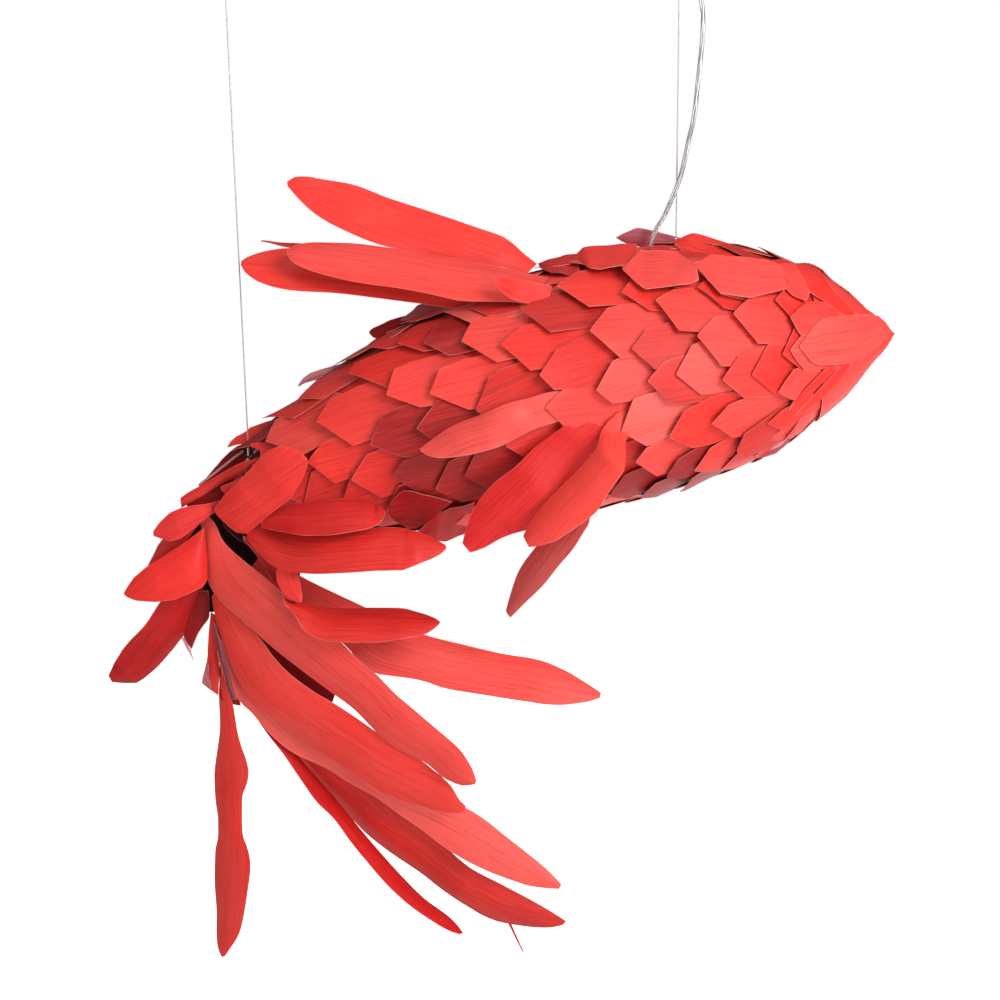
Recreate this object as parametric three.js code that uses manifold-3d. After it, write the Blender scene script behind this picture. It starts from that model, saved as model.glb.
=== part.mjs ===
// Koi-fish pendant lamp of dyed wood veneer, hung level from two steel wires
// and fed by a clear flex. Millimetres, +Z up. The origin is the middle of the
// flat top of the head-end ceiling rose; the ceiling is the plane z = 0, the
// fish hangs below it with its nose towards +X and its near side towards -Y.
import * as THREE from 'three';
import { mergeVertices } from 'three/addons/utils/BufferGeometryUtils.js';
import Module from 'manifold-3d';

// ---- driving dimensions --------------------------------------------------
const VENEER = 1.2;            // wall of a modelled ring of scales
const STRIP_T = 1.0;           // thickness of a fin strip
const SCALE_RISE = 3.0;        // free edge of a ring of scales stands this proud
const WIRE_R = 0.75;           // steel suspension wire
const RING_R = 7.0;            // chain ring and eye, to the middle of the bar
const BAR_R = 1.6;             // bar of hooks, rings and eyes
const LOOP_R = 5.0;            // crimped wire loop
const SLACK = 0.3;             // gap between touching pieces
const FLEX_R = 2.75;           // clear two-core flex
const ROSE_R = 50, ROSE_H = 24;
const CUP_R = 24, CUP_H = 14;
const HOOK_Z = -36;            // middle of both ceiling hook rings
const HEAD = { x: 0, z: -418 };        // loop bottom of the head wire
const TAIL = { x: -517.3, z: -671 };   // loop bottom of the tail wire
const TAIL_HOOK_X = -536.4;
const LAMP_X = -31.5;          // lamp axis under the flex
const FLEX_TOP = { x: 18, z: -27 };
const ROD_R = 2.0;             // frame rods and hoops
const HOOP_IN = 9.0;           // hoop middle inside the body surface
const SPINE_Y = 8.6;           // the spine rod runs beside the eyes
const BULB_R = 30;

// Body centre-line from nose to tail: arc length, x, z, radius.
const BODY = [
  [0.0,263.8,-512.4,3.6],
  [15.8,248.1,-514.3,21.7],
  [33.9,230.0,-516.1,37.4],
  [70.4,193.9,-520.9,72.3],
  [112.9,151.7,-525.7,100.1],
  [143.3,121.5,-529.9,117.1],
  [173.8,91.4,-534.2,129.2],
  [204.3,61.2,-539.0,137.1],
  [234.9,31.0,-543.8,142.0],
  [296.5,-29.4,-555.9,148.3],
  [358.5,-89.9,-569.3,149.2],
  [421.1,-150.5,-585.1,146.4],
  [484.1,-211.2,-602.1,140.0],
  [560.0,-284.2,-622.9,129.4],
  [611.0,-333.0,-637.5,118.7],
  [649.7,-369.7,-649.8,106.6],
  [695.9,-412.6,-667.0,92.1],
  [743.2,-455.6,-686.7,77.6],
  [785.1,-492.6,-706.4,64.2],
  [821.2,-523.5,-724.9,54.4],
  [856.0,-552.1,-744.8,45.9]
];

// Fin strips: both long edges from base to tip, and the height of the curl
// across the strip.
const STRIPS = {
  tail_strip_03: { bulge: 6, rows: [[[-565.5,-36.4,-727],[-573.7,-31.6,-735]], [[-535.3,-56.1,-765.1],[-567.8,-40.8,-780.7]], [[-503.7,-74.1,-787],[-546.8,-47.6,-833.2]], [[-467.8,-84.6,-814.5],[-510.3,-57.2,-863.9]], [[-433.1,-92.8,-842.7],[-473.2,-65.5,-893.6]], [[-397.9,-99,-872.7],[-435.7,-73.4,-920.4]], [[-367,-103.6,-900.8],[-399.1,-80.3,-945.9]], [[-331.7,-108.8,-933.9],[-367,-85.8,-975.1]], [[-299.6,-113.8,-959.9],[-327.1,-91.2,-1006.5]], [[-262.2,-116.7,-992.4],[-289.6,-98.1,-1026.7]], [[-239.1,-113.1,-1035.5],[-240.9,-110.9,-1040.3]]] },
  tail_strip_07: { bulge: 5, rows: [[[-496.8,-14.5,-772.2],[-512.2,-29.5,-791.8]], [[-463.9,-14.2,-801.8],[-486.9,-37.5,-832.7]], [[-425.3,-16.8,-822.1],[-445.5,-42.2,-859.1]], [[-382.8,-19.3,-841.9],[-405.4,-46.6,-881]], [[-340,-18.4,-863.9],[-373.1,-54.1,-913]], [[-306.4,-24.5,-877.5],[-318.6,-54.5,-925.6]], [[-264.4,-27,-888.2],[-276.7,-57.6,-937.2]], [[-220.3,-30.2,-898],[-230,-59.2,-944.9]], [[-174.8,-32.3,-905.1],[-183.9,-61.3,-951.9]], [[-129.3,-37.1,-920.9],[-139.5,-60,-957.3]], [[-88.4,-48.3,-945],[-89.8,-51.7,-950.5]]] },
  tail_strip_06: { bulge: 7, rows: [[[-476.3,-87.1,-810.4],[-464.5,-108.9,-822.9]], [[-442.7,-91.4,-826.1],[-450.4,-112.7,-837.8]], [[-418.8,-82.7,-832],[-427.4,-125.1,-858.5]], [[-396.3,-79.9,-833.9],[-394,-126.5,-865.3]], [[-368.3,-76.2,-833.9],[-365.2,-123.8,-866]], [[-341,-75,-834.4],[-335.7,-119.2,-864.2]], [[-311.3,-77.5,-838.4],[-310.7,-111.7,-861.5]], [[-282.3,-90.9,-848.2],[-282.8,-93.1,-849.6]]] },
  tail_strip_01: { bulge: 6, rows: [[[-493,-62.5,-735],[-503.8,-82.5,-757.7]], [[-459.5,-81.7,-740.7],[-473.9,-113.5,-777.7]], [[-435,-96.5,-741],[-433.6,-129.7,-783]], [[-403.7,-104.2,-737.9],[-397.8,-138.6,-781]], [[-372.3,-108.8,-733.7],[-366.3,-144.3,-778]], [[-337.9,-110.7,-731.5],[-335.2,-146.6,-776.5]], [[-305.3,-116.7,-736.5],[-303.7,-142.5,-768.9]], [[-274,-128.7,-750],[-273,-131.3,-753.2]]] },
  tail_strip_02: { bulge: 4, rows: [[[-485.3,-67.7,-716.4],[-480.5,-95.5,-736.8]], [[-460.8,-75.8,-709.3],[-457.5,-114.8,-737.7]], [[-438.6,-82,-705.9],[-432,-127.8,-739.1]], [[-415.7,-88.5,-702.6],[-408.1,-135.9,-736.7]], [[-392.1,-92.3,-700.6],[-385.9,-137.7,-733.2]], [[-369.6,-95.8,-701.7],[-363.2,-134.2,-729.3]], [[-344.3,-112.6,-712.6],[-344.6,-117.4,-716.1]]] },
  tail_strip_19: { bulge: 6, rows: [[[-552.3,-60,-718.3],[-542.9,-60,-729.6]], [[-535.4,-74,-697],[-501.4,-74,-740.3]], [[-492.3,-85,-652.7],[-497.9,-85,-736.4]], [[-491.3,-92.5,-651.9],[-469.4,-92.5,-710.8]], [[-489.9,-98,-650.6],[-447.6,-98,-688.2]], [[-441.3,-102.5,-645.3],[-446.9,-102.5,-687.3]], [[-439.8,-106,-645.6],[-438.1,-106,-647.4]]] },
  tail_strip_17: { bulge: 5, rows: [[[-564.7,-39.5,-714.3],[-556.4,-62.3,-724.5]], [[-579.2,-38.1,-716.2],[-564.4,-72.4,-730.5]], [[-592.2,-35.9,-718.8],[-572.4,-80.9,-737.3]], [[-605.2,-35.1,-723.4],[-580.2,-86.7,-743.3]], [[-612.5,-36.8,-728],[-593.3,-88.1,-750.4]], [[-622.5,-49.5,-739.4],[-610.2,-77.7,-751]], [[-625.3,-60,-745.2],[-622.7,-68,-748.7]]] },
  tail_strip_14: { bulge: 9, rows: [[[-579.2,-48.8,-751.8],[-563.6,-48.8,-784]], [[-620,-54.5,-779.3],[-563,-54.5,-797.1]], [[-624,-58.9,-781.2],[-577.3,-58.9,-817.1]], [[-623.3,-62.6,-780.5],[-597.6,-62.6,-825.8]], [[-635.9,-64,-788.4],[-622.3,-64,-829.4]], [[-645.4,-64,-796.1],[-645.1,-64,-827.9]], [[-661.5,-64,-819.3],[-658.4,-64,-822.8]]] },
  tail_strip_15: { bulge: 5, rows: [[[-592.5,-29.7,-799.1],[-574,1.7,-829.9]], [[-613.7,-37.4,-820.3],[-582.9,3.5,-851.6]], [[-627.8,-41.6,-841.3],[-597.2,1.6,-877.5]], [[-642.2,-44.1,-862.2],[-615,-2.3,-900.4]], [[-658.3,-47,-879.6],[-634.4,-5,-921.9]], [[-671.3,-46.6,-896.3],[-660.8,-9.8,-941.4]], [[-689.6,-34.2,-926.6],[-687.3,-25.8,-936.9]]] },
  tail_strip_12: { bulge: 4, rows: [[[-556.7,-6.5,-888.6],[-552.5,-9.5,-887.9]], [[-556.6,-3.6,-929.6],[-551.6,-7.2,-928.7]], [[-561.1,4.7,-973.5],[-542.8,-8.6,-967.4]], [[-563.3,13.5,-1016.2],[-536.9,-5.4,-1009.4]], [[-571.6,24.7,-1061.2],[-525.2,-8.7,-1049]], [[-570.7,19,-1100.2],[-533.2,-7.8,-1090.9]], [[-567.1,14,-1137.9],[-533.7,-9.9,-1129.1]], [[-572.5,15.9,-1181.2],[-523.3,-19.3,-1166.6]], [[-572.9,12.4,-1220.2],[-527.1,-20.4,-1209.6]], [[-572.1,11.1,-1260.3],[-536,-14.9,-1255.2]], [[-565,5.6,-1303.1],[-560.6,2.4,-1300.5]]] },
  tail_strip_08: { bulge: 6, rows: [[[-556.2,-24.5,-822.4],[-563.3,-19.5,-832]], [[-526.8,-38.7,-854.5],[-555,-24.6,-872.5]], [[-495.9,-51.6,-883.3],[-541.3,-28.9,-912.2]], [[-472.4,-60.9,-910.1],[-518.9,-34.5,-953.2]], [[-445.8,-67.1,-930.9],[-480.8,-41.2,-982.9]], [[-411.2,-74,-950.9],[-446.5,-46.3,-1008.3]], [[-379,-79.5,-971.6],[-413,-52.4,-1027.7]], [[-345.5,-85.2,-994.8],[-379.3,-58,-1051.5]], [[-312.8,-89,-1013],[-339,-62.8,-1071.5]], [[-278.8,-89.1,-1040],[-300,-69.8,-1082]], [[-252.2,-83.8,-1075.9],[-254.3,-80.2,-1084.6]]] },
  tail_strip_09: { bulge: 5, rows: [[[-551.8,-14,-886.9],[-559.5,-14,-902]], [[-522,-17.8,-934.2],[-542.4,-17.8,-948.7]], [[-487.5,-21.9,-971.3],[-506.8,-21.9,-989.7]], [[-448.9,-26.4,-1000.3],[-464.4,-26.4,-1027.3]], [[-401.6,-31.4,-1024.1],[-417.1,-31.4,-1049.4]], [[-358.6,-36.1,-1054.4],[-371.5,-36.1,-1075.6]], [[-314.8,-40.1,-1074.7],[-329.9,-40.1,-1104.4]], [[-262,-44.1,-1086.3],[-287.1,-44.1,-1135.9]], [[-215.5,-47.7,-1115.8],[-244.3,-47.7,-1161.9]], [[-175.6,-51,-1148],[-193,-51,-1182.1]], [[-135.5,-54,-1185.3],[-138.5,-54,-1190.9]]] },
  tail_strip_10: { bulge: 8, rows: [[[-506.9,-3.2,-973],[-515.3,3.2,-982.3]], [[-475.6,-3,-1009],[-483.5,3,-1017.9]], [[-437.9,-6,-1037.5],[-452.9,6,-1056.3]], [[-397.2,-10.8,-1060.9],[-421.3,9.9,-1095.5]], [[-357.4,-16.5,-1087.8],[-389.8,10.5,-1131.9]], [[-320.7,-20.4,-1114],[-351.2,8.3,-1164.1]], [[-285.7,-22.3,-1142.6],[-314.2,4.1,-1188.3]], [[-250.5,-25,-1172.8],[-275.3,0.1,-1218]], [[-211.3,-28.7,-1193.4],[-231.8,-1.9,-1245.4]], [[-171.9,-27.8,-1215.3],[-181.9,-7.9,-1256.2]], [[-128.5,-22.1,-1244.6],[-133.3,-17.9,-1251.4]]] },
  tail_strip_11: { bulge: 3, rows: [[[-506.6,-7.2,-987.3],[-509.1,-16.8,-989.8]], [[-474.9,-5.2,-1022.4],[-481.4,-22.8,-1025.1]], [[-445.1,-3.6,-1059.2],[-455.4,-29.2,-1062.1]], [[-414.8,-3.5,-1093.9],[-426.6,-34.4,-1098.3]], [[-385.2,-6.3,-1131.1],[-398.6,-37.3,-1133.5]], [[-357.3,-9.1,-1164.7],[-370.5,-40.6,-1167.7]], [[-326.3,-12.7,-1198.5],[-338.8,-43.8,-1202.1]], [[-292.6,-19,-1227.1],[-301.2,-45,-1231.8]], [[-257.4,-32.8,-1256.1],[-261,-39.2,-1255.5]]] },
  dorsal_strip_01: { bulge: 5, rows: [[[-180.7,-7.6,-418],[-194.6,-20.4,-436.4]], [[-215.8,-3.5,-393.1],[-225.5,-24.5,-429.1]], [[-251,-1.4,-381.2],[-262.4,-26.6,-424.3]], [[-286.6,-0.5,-369.3],[-298,-27.8,-416.3]], [[-320.1,0.3,-358.3],[-332.2,-30,-410.7]], [[-351.7,-0,-347.5],[-370.9,-31.5,-399.8]], [[-386.9,-1.8,-334.5],[-403.4,-31.9,-385.2]], [[-421.4,-7.6,-329],[-436.6,-29.1,-363.7]], [[-463.5,-18.7,-332.1],[-462.6,-21.3,-336.8]]] },
  dorsal_strip_02: { bulge: 5, rows: [[[-203.7,-44.6,-433.5],[-208.6,-79.6,-471.2]], [[-235.7,-39.6,-427.2],[-240.1,-79.6,-470.5]], [[-265.1,-36.8,-421.7],[-273.7,-78.6,-466.4]], [[-299.5,-35.7,-415.6],[-305.9,-76.5,-459.7]], [[-332.1,-34.5,-410.6],[-336.4,-75.2,-454.8]], [[-364,-33.6,-406.3],[-368,-74.2,-450.5]], [[-396.3,-34.2,-403.4],[-399,-72,-444.7]], [[-427.7,-37.1,-402.7],[-430.8,-67.8,-436.1]], [[-460.5,-49.9,-411.8],[-460.9,-54.1,-416.4]]] },
  dorsal_strip_03: { bulge: 4, rows: [[[-273,-6.5,-435.3],[-278.1,-43.2,-479.2]], [[-308.1,-7,-429.5],[-313.8,-44.2,-473.9]], [[-342,-7.3,-423.6],[-347.1,-45.4,-469.1]], [[-378,-8.1,-418.3],[-381.8,-46.6,-464.5]], [[-412.7,-8,-413.3],[-414.5,-47.9,-461.3]], [[-449.6,-7.9,-410.8],[-449,-48.1,-459.3]], [[-483.3,-10.9,-412.1],[-483,-45.1,-453.3]], [[-518.2,-26,-424.8],[-518.5,-30,-429.4]]] },
  dorsal_strip_04: { bulge: 2, rows: [[[-332,11.8,-419.1],[-331.4,0.2,-426.2]], [[-359.1,13.3,-415.8],[-359.2,0.1,-423.9]], [[-387.7,14,-412.5],[-387.7,0.6,-420.7]], [[-416.1,13.7,-409.2],[-416.2,2.3,-416.2]], [[-443.6,13.8,-405.7],[-443.4,3.5,-412.1]], [[-471.1,13.3,-403.3],[-470.9,5.4,-408.2]], [[-499.4,10.9,-400.6],[-499.2,9.1,-401.6]]] },
  pectoral_near_01: { bulge: 5, rows: [[[-133.7,-150.5,-568.7],[-126,-186.2,-604.4]], [[-160.3,-150,-572],[-148.6,-190.5,-611.8]], [[-184,-151.1,-579.2],[-173.2,-190.9,-618.6]], [[-210.8,-151,-587.2],[-197.1,-190.2,-625.1]], [[-234.3,-151.4,-596.9],[-221.4,-187.7,-631.9]], [[-257.8,-151.1,-605.6],[-246.2,-184.9,-638.5]], [[-280.5,-152.5,-619],[-271.5,-176.8,-642.5]], [[-301.7,-158.6,-634.5],[-300.4,-161.4,-637]]] },
  pectoral_near_02: { bulge: 5, rows: [[[-126.5,-157,-602.9],[-84.6,-157,-615.3]], [[-143.5,-157.8,-615],[-100.4,-157.8,-650.9]], [[-164.1,-158,-629.9],[-117.9,-158,-676.6]], [[-185.3,-157.5,-647.7],[-138.5,-157.5,-699.8]], [[-202.5,-155.6,-661.7],[-167.4,-155.6,-722.2]], [[-227.6,-153.1,-684.1],[-197,-153.1,-732.4]], [[-246,-150,-715.6],[-212.7,-150,-739.7]], [[-254.2,-146,-744.3],[-245.6,-146,-755.3]]] },
  pectoral_near_03: { bulge: 6, rows: [[[-73.4,-156.8,-595],[-46.5,-189.2,-612.1]], [[-93.8,-161.8,-616.6],[-57,-202.2,-631.9]], [[-103.8,-170,-635],[-74.8,-205.8,-654.3]], [[-120.6,-171.2,-654.6],[-90.1,-209.4,-675.8]], [[-137.2,-170.3,-671.9],[-106.3,-213.1,-699.4]], [[-154.8,-172.1,-689],[-128.3,-211.9,-716.8]], [[-171.3,-174.4,-707.3],[-149.7,-208.5,-732]], [[-184.8,-183.6,-730.1],[-178.7,-196.4,-740.7]]] },
  pectoral_near_04: { bulge: 4, rows: [[[-108.8,-99.7,-691.8],[-91.4,-134.4,-698.2]], [[-124.7,-93.5,-708.2],[-105.8,-135.9,-719.5]], [[-142.6,-86,-726.2],[-118.5,-138.2,-739.3]], [[-158.9,-81.1,-746.5],[-133,-136.7,-760.2]], [[-173.4,-79.8,-767.3],[-148.3,-131.3,-778.8]], [[-188,-77.9,-788.6],[-162.5,-127.5,-798]], [[-197.9,-83.4,-813.2],[-179.7,-116.9,-818.1]], [[-203.8,-90.9,-834.9],[-198.8,-105.1,-839.8]]] },
  pectoral_far_01: { bulge: 5, rows: [[[-104.9,185.1,-598.8],[-101.4,141.2,-632.5]], [[-135.9,189.7,-603.8],[-128.8,142.4,-639.6]], [[-164.9,192.7,-609.8],[-155.5,143.1,-647]], [[-194.2,193.8,-617.2],[-184.5,144.3,-654.1]], [[-222,192.9,-625.3],[-212.4,146.8,-659.7]], [[-250.3,190,-634.7],[-242.6,149.9,-664.7]], [[-277.3,183.3,-644.8],[-271.9,155.4,-665.7]], [[-305.8,171.4,-656.9],[-302.9,164.6,-661.4]]] },
  pectoral_far_02: { bulge: 5, rows: [[[-80.2,167.6,-639.4],[-53.5,132.4,-663.1]], [[-99.7,170.1,-650.5],[-76.1,129.9,-683.7]], [[-122.8,171.8,-663.3],[-99.3,128.2,-700.6]], [[-146.4,170.4,-677],[-123.2,126.7,-714.6]], [[-168.3,166.1,-691.1],[-147.7,125.9,-726.1]], [[-189.5,158.9,-707],[-173.5,127.7,-734.1]], [[-208.6,143.7,-730],[-203.4,136.3,-735.5]]] },
};

// Flex from the back of the fish up to the ceiling.
const FLEX = [[-31.8,-3,-411.9], [-25.7,-4.6,-390.5], [-14.1,-6.1,-369.3], [-5,-7.4,-348.1], [2.9,-8.5,-327], [8.5,-9.4,-303.7], [12.8,-9.9,-281.5], [17.3,-10,-261.8], [20,-9.8,-243.2], [22.1,-9.1,-218.9], [24.7,-8,-194.5], [26.7,-6.8,-172.5], [27.9,-5.2,-149.4], [27.2,-3.9,-132], [24.7,-3,-115.9]];

// ---- solids ----------------------------------------------------------------
const wasm = await Module();
wasm.setup();

const wood = (hex) => new THREE.MeshStandardMaterial({ color: hex, roughness: 0.62, metalness: 0 });
const steel = () => new THREE.MeshStandardMaterial({ color: 0xc9ccd0, roughness: 0.28, metalness: 1 });
const RED = 0xd8302c, BRIGHT = 0xe3382f, PALE = 0xe25a54, DEEP = 0xb0161c;
const TONE = {
  tail_strip_01: BRIGHT, tail_strip_07: PALE, tail_strip_09: PALE, tail_strip_10: DEEP, tail_strip_14: BRIGHT,
  tail_strip_15: DEEP, dorsal_strip_02: PALE, dorsal_strip_04: DEEP, pectoral_near_01: PALE,
  pectoral_near_03: BRIGHT, pectoral_near_04: DEEP,
};

const lamp = new THREE.Group();
lamp.name = 'koi_pendant_lamp';

function add(name, geometry, material) {
  const mesh = new THREE.Mesh(geometry, material);
  mesh.name = name;
  lamp.add(mesh);
  return mesh;
}

function clean(geometry) {
  const g = geometry.clone();
  g.deleteAttribute('normal');
  if (g.attributes.uv) g.deleteAttribute('uv');
  const m = mergeVertices(g, 1e-4), p = m.attributes.position, ix = m.index.array;
  const v = [0, 1, 2].map(() => new THREE.Vector3());
  let volume = 0;
  for (let i = 0; i < ix.length; i += 3) {
    v.forEach((q, k) => q.fromBufferAttribute(p, ix[i + k]));
    volume += v[0].dot(v[1].clone().cross(v[2]));
  }
  if (volume < 0) {
    for (let i = 0; i < ix.length; i += 3) [ix[i + 1], ix[i + 2]] = [ix[i + 2], ix[i + 1]];
  }
  m.computeVertexNormals();
  return m;
}

function solid(geometry) {
  const g = clean(geometry);
  return new wasm.Manifold(new wasm.Mesh({
    numProp: 3,
    vertProperties: new Float32Array(g.attributes.position.array),
    triVerts: new Uint32Array(g.index.array),
  }));
}

function geometryOf(manifold) {
  const m = manifold.getMesh();
  const n = m.numProp;
  const pos = new Float32Array((m.vertProperties.length / n) * 3);
  for (let i = 0; i < pos.length / 3; i++) {
    for (let k = 0; k < 3; k++) pos[3 * i + k] = m.vertProperties[n * i + k];
  }
  const g = new THREE.BufferGeometry();
  g.setAttribute('position', new THREE.BufferAttribute(pos, 3));
  g.setIndex(Array.from(m.triVerts));
  g.computeVertexNormals();
  return g;
}

// A closed mesh from points and triangles, turned inside in if need be.
function closed(points, tris) {
  let v = 0;
  const a = new THREE.Vector3(), b = new THREE.Vector3();
  for (const [i, j, k] of tris) {
    v += a.copy(points[i]).dot(b.copy(points[j]).cross(points[k]));
  }
  const idx = [];
  for (const [i, j, k] of tris) v > 0 ? idx.push(i, j, k) : idx.push(i, k, j);
  const pos = new Float32Array(points.length * 3);
  points.forEach((p, i) => { pos[3 * i] = p.x; pos[3 * i + 1] = p.y; pos[3 * i + 2] = p.z; });
  const g = new THREE.BufferGeometry();
  g.setAttribute('position', new THREE.BufferAttribute(pos, 3));
  g.setIndex(idx);
  g.computeVertexNormals();
  return g;
}

// ---- body surface ------------------------------------------------------------
function body(s) {
  const n = BODY.length;
  let i = 0;
  while (i < n - 2 && s > BODY[i + 1][0]) i++;
  const p0 = BODY[Math.max(0, i - 1)], p1 = BODY[i], p2 = BODY[i + 1], p3 = BODY[Math.min(n - 1, i + 2)];
  const h = p2[0] - p1[0], t = (s - p1[0]) / h;
  const out = [];
  for (let k = 1; k < 4; k++) {
    const m1 = i > 0 ? (p2[k] - p0[k]) / (p2[0] - p0[0]) : (p2[k] - p1[k]) / h;
    const m2 = i < n - 2 ? (p3[k] - p1[k]) / (p3[0] - p1[0]) : (p2[k] - p1[k]) / h;
    const t2 = t * t, t3 = t2 * t;
    out.push((2 * t3 - 3 * t2 + 1) * p1[k] + (t3 - 2 * t2 + t) * h * m1 + (3 * t2 - 2 * t3) * p2[k] + (t3 - t2) * h * m2);
  }
  return out;                                   // x, z, radius
}

function frameAt(s) {
  const a = body(s - 1), b = body(s + 1), c = body(s);
  const tx = b[0] - a[0], tz = b[1] - a[1], l = Math.hypot(tx, tz);
  return { x: c[0], z: c[1], r: c[2], tx: tx / l, tz: tz / l, nx: tz / l, nz: -tx / l };
}

// Point on the body at arc length s and angle phi from the top towards -Y.
function onBody(s, phi, lift) {
  const f = frameAt(s), r = f.r + lift;
  return new THREE.Vector3(f.x + f.nx * r * Math.cos(phi), -r * Math.sin(phi), f.z + f.nz * r * Math.cos(phi));
}

// A ring of overlapping scales: a shell whose rear edge is a row of points.
function scaleBand(s0, s1, depth, points, phase, rows, lift0, lift1, wall) {
  const cols = points * 2, P = [], T = [];
  for (const inner of [0, 1]) {
    for (let i = 0; i <= rows; i++) {
      for (let j = 0; j < cols; j++) {
        const end = j % 2 ? s1 - depth : s1;
        const s = s0 + ((end - s0) * i) / rows;
        const lift = lift0 + ((lift1 - lift0) * (s - s0)) / (s1 - s0) - inner * wall;
        P.push(onBody(s, ((j + phase) * Math.PI * 2) / cols, lift));
      }
    }
  }
  const half = (rows + 1) * cols;
  const id = (k, i, j) => k * half + i * cols + (j % cols);
  for (let i = 0; i < rows; i++) {
    for (let j = 0; j < cols; j++) {
      // the diagonal runs along the ridge of each point
      if (j % 2) {
        T.push([id(0, i, j), id(0, i + 1, j), id(0, i, j + 1)], [id(0, i + 1, j), id(0, i + 1, j + 1), id(0, i, j + 1)]);
        T.push([id(1, i, j), id(1, i, j + 1), id(1, i + 1, j)], [id(1, i + 1, j), id(1, i, j + 1), id(1, i + 1, j + 1)]);
      } else {
        T.push([id(0, i, j), id(0, i + 1, j), id(0, i + 1, j + 1)], [id(0, i, j), id(0, i + 1, j + 1), id(0, i, j + 1)]);
        T.push([id(1, i, j), id(1, i + 1, j + 1), id(1, i + 1, j)], [id(1, i, j), id(1, i, j + 1), id(1, i + 1, j + 1)]);
      }
    }
  }
  for (let j = 0; j < cols; j++) {
    T.push([id(0, 0, j), id(0, 0, j + 1), id(1, 0, j)], [id(1, 0, j), id(0, 0, j + 1), id(1, 0, j + 1)]);
    T.push([id(0, rows, j), id(1, rows, j), id(0, rows, j + 1)], [id(1, rows, j), id(1, rows, j + 1), id(0, rows, j + 1)]);
  }
  return closed(P, T);
}

// The folded nose piece: a hollow cone closed at the tip.
function noseWrap(s1, depth, points, rowsS, lift, wall) {
  const cols = points * 2, P = [], T = [];
  const rows = rowsS.length;
  const tipOut = body(0), dir = frameAt(10);
  for (const inner of [0, 1]) {
    for (let i = 0; i < rows; i++) {
      for (let j = 0; j < cols; j++) {
        const last = i === rows - 1;
        const s = last ? (j % 2 ? s1 - depth : s1) : rowsS[i];
        P.push(onBody(s + (inner ? 1.2 : 0), (j * Math.PI * 2) / cols, lift - inner * wall));
      }
    }
  }
  const half = rows * cols;
  const poleOut = P.length;
  P.push(new THREE.Vector3(tipOut[0] - dir.tx * 2.5, 0, tipOut[1] - dir.tz * 2.5));
  P.push(new THREE.Vector3(tipOut[0] + dir.tx * 2.0, 0, tipOut[1] + dir.tz * 2.0));
  const id = (k, i, j) => k * half + i * cols + (j % cols);
  for (let j = 0; j < cols; j++) {
    T.push([poleOut, id(0, 0, j), id(0, 0, j + 1)], [poleOut + 1, id(1, 0, j + 1), id(1, 0, j)]);
    for (let i = 0; i < rows - 1; i++) {
      T.push([id(0, i, j), id(0, i + 1, j), id(0, i, j + 1)], [id(0, i + 1, j), id(0, i + 1, j + 1), id(0, i, j + 1)]);
      T.push([id(1, i, j), id(1, i, j + 1), id(1, i + 1, j)], [id(1, i + 1, j), id(1, i, j + 1), id(1, i + 1, j + 1)]);
    }
    const e = rows - 1;
    T.push([id(0, e, j), id(1, e, j), id(0, e, j + 1)], [id(1, e, j), id(1, e, j + 1), id(0, e, j + 1)]);
  }
  return closed(P, T);
}

// A curved strip of veneer between two edges.
function strip({ rows, bulge }) {
  const P = [], T = [], n = rows.length;
  const A = rows.map((r) => new THREE.Vector3(...r[0])), B = rows.map((r) => new THREE.Vector3(...r[1]));
  const M = A.map((a, i) => a.clone().add(B[i]).multiplyScalar(0.5));
  const widest = Math.max(...A.map((a, i) => a.distanceTo(B[i])));
  for (let i = 0; i < n; i++) {
    const t = M[Math.min(n - 1, i + 1)].clone().sub(M[Math.max(0, i - 1)]);
    const w = B[i].clone().sub(A[i]);
    const nrm = new THREE.Vector3().crossVectors(t, w).normalize();
    if (nrm.y > 0) nrm.negate();
    const up = nrm.clone().multiplyScalar((bulge * w.length()) / widest);
    for (const side of [0.5, -0.5]) {
      const o = nrm.clone().multiplyScalar(side * STRIP_T);
      P.push(A[i].clone().add(o), M[i].clone().add(up).add(o), B[i].clone().add(o));
    }
  }
  const id = (i, k, c) => i * 6 + k * 3 + c;
  for (let i = 0; i < n - 1; i++) {
    for (let c = 0; c < 2; c++) {
      T.push([id(i, 0, c), id(i + 1, 0, c), id(i, 0, c + 1)], [id(i + 1, 0, c), id(i + 1, 0, c + 1), id(i, 0, c + 1)]);
      T.push([id(i, 1, c), id(i, 1, c + 1), id(i + 1, 1, c)], [id(i + 1, 1, c), id(i, 1, c + 1), id(i + 1, 1, c + 1)]);
    }
    T.push([id(i, 0, 0), id(i, 1, 0), id(i + 1, 0, 0)], [id(i, 1, 0), id(i + 1, 1, 0), id(i + 1, 0, 0)]);
    T.push([id(i, 0, 2), id(i + 1, 0, 2), id(i, 1, 2)], [id(i, 1, 2), id(i + 1, 0, 2), id(i + 1, 1, 2)]);
  }
  for (const [i, flip] of [[0, false], [n - 1, true]]) {
    for (let c = 0; c < 2; c++) {
      const q = [[id(i, 0, c), id(i, 0, c + 1), id(i, 1, c)], [id(i, 1, c), id(i, 0, c + 1), id(i, 1, c + 1)]];
      for (const [x, y, z] of q) T.push(flip ? [x, z, y] : [x, y, z]);
    }
  }
  return closed(P, T);
}

// Round bar along a list of points.
function bar(points, radius, sides, steps) {
  const shape = new THREE.Shape();
  for (let i = 0; i < sides; i++) {
    const a = (i * 2 * Math.PI) / sides;
    i ? shape.lineTo(radius * Math.cos(a), radius * Math.sin(a)) : shape.moveTo(radius, 0);
  }
  const path = points.length === 2 ? new THREE.LineCurve3(points[0], points[1]) : new THREE.CatmullRomCurve3(points, false, 'centripetal');
  return clean(new THREE.ExtrudeGeometry(shape, { steps, bevelEnabled: false, extrudePath: path }));
}

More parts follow.
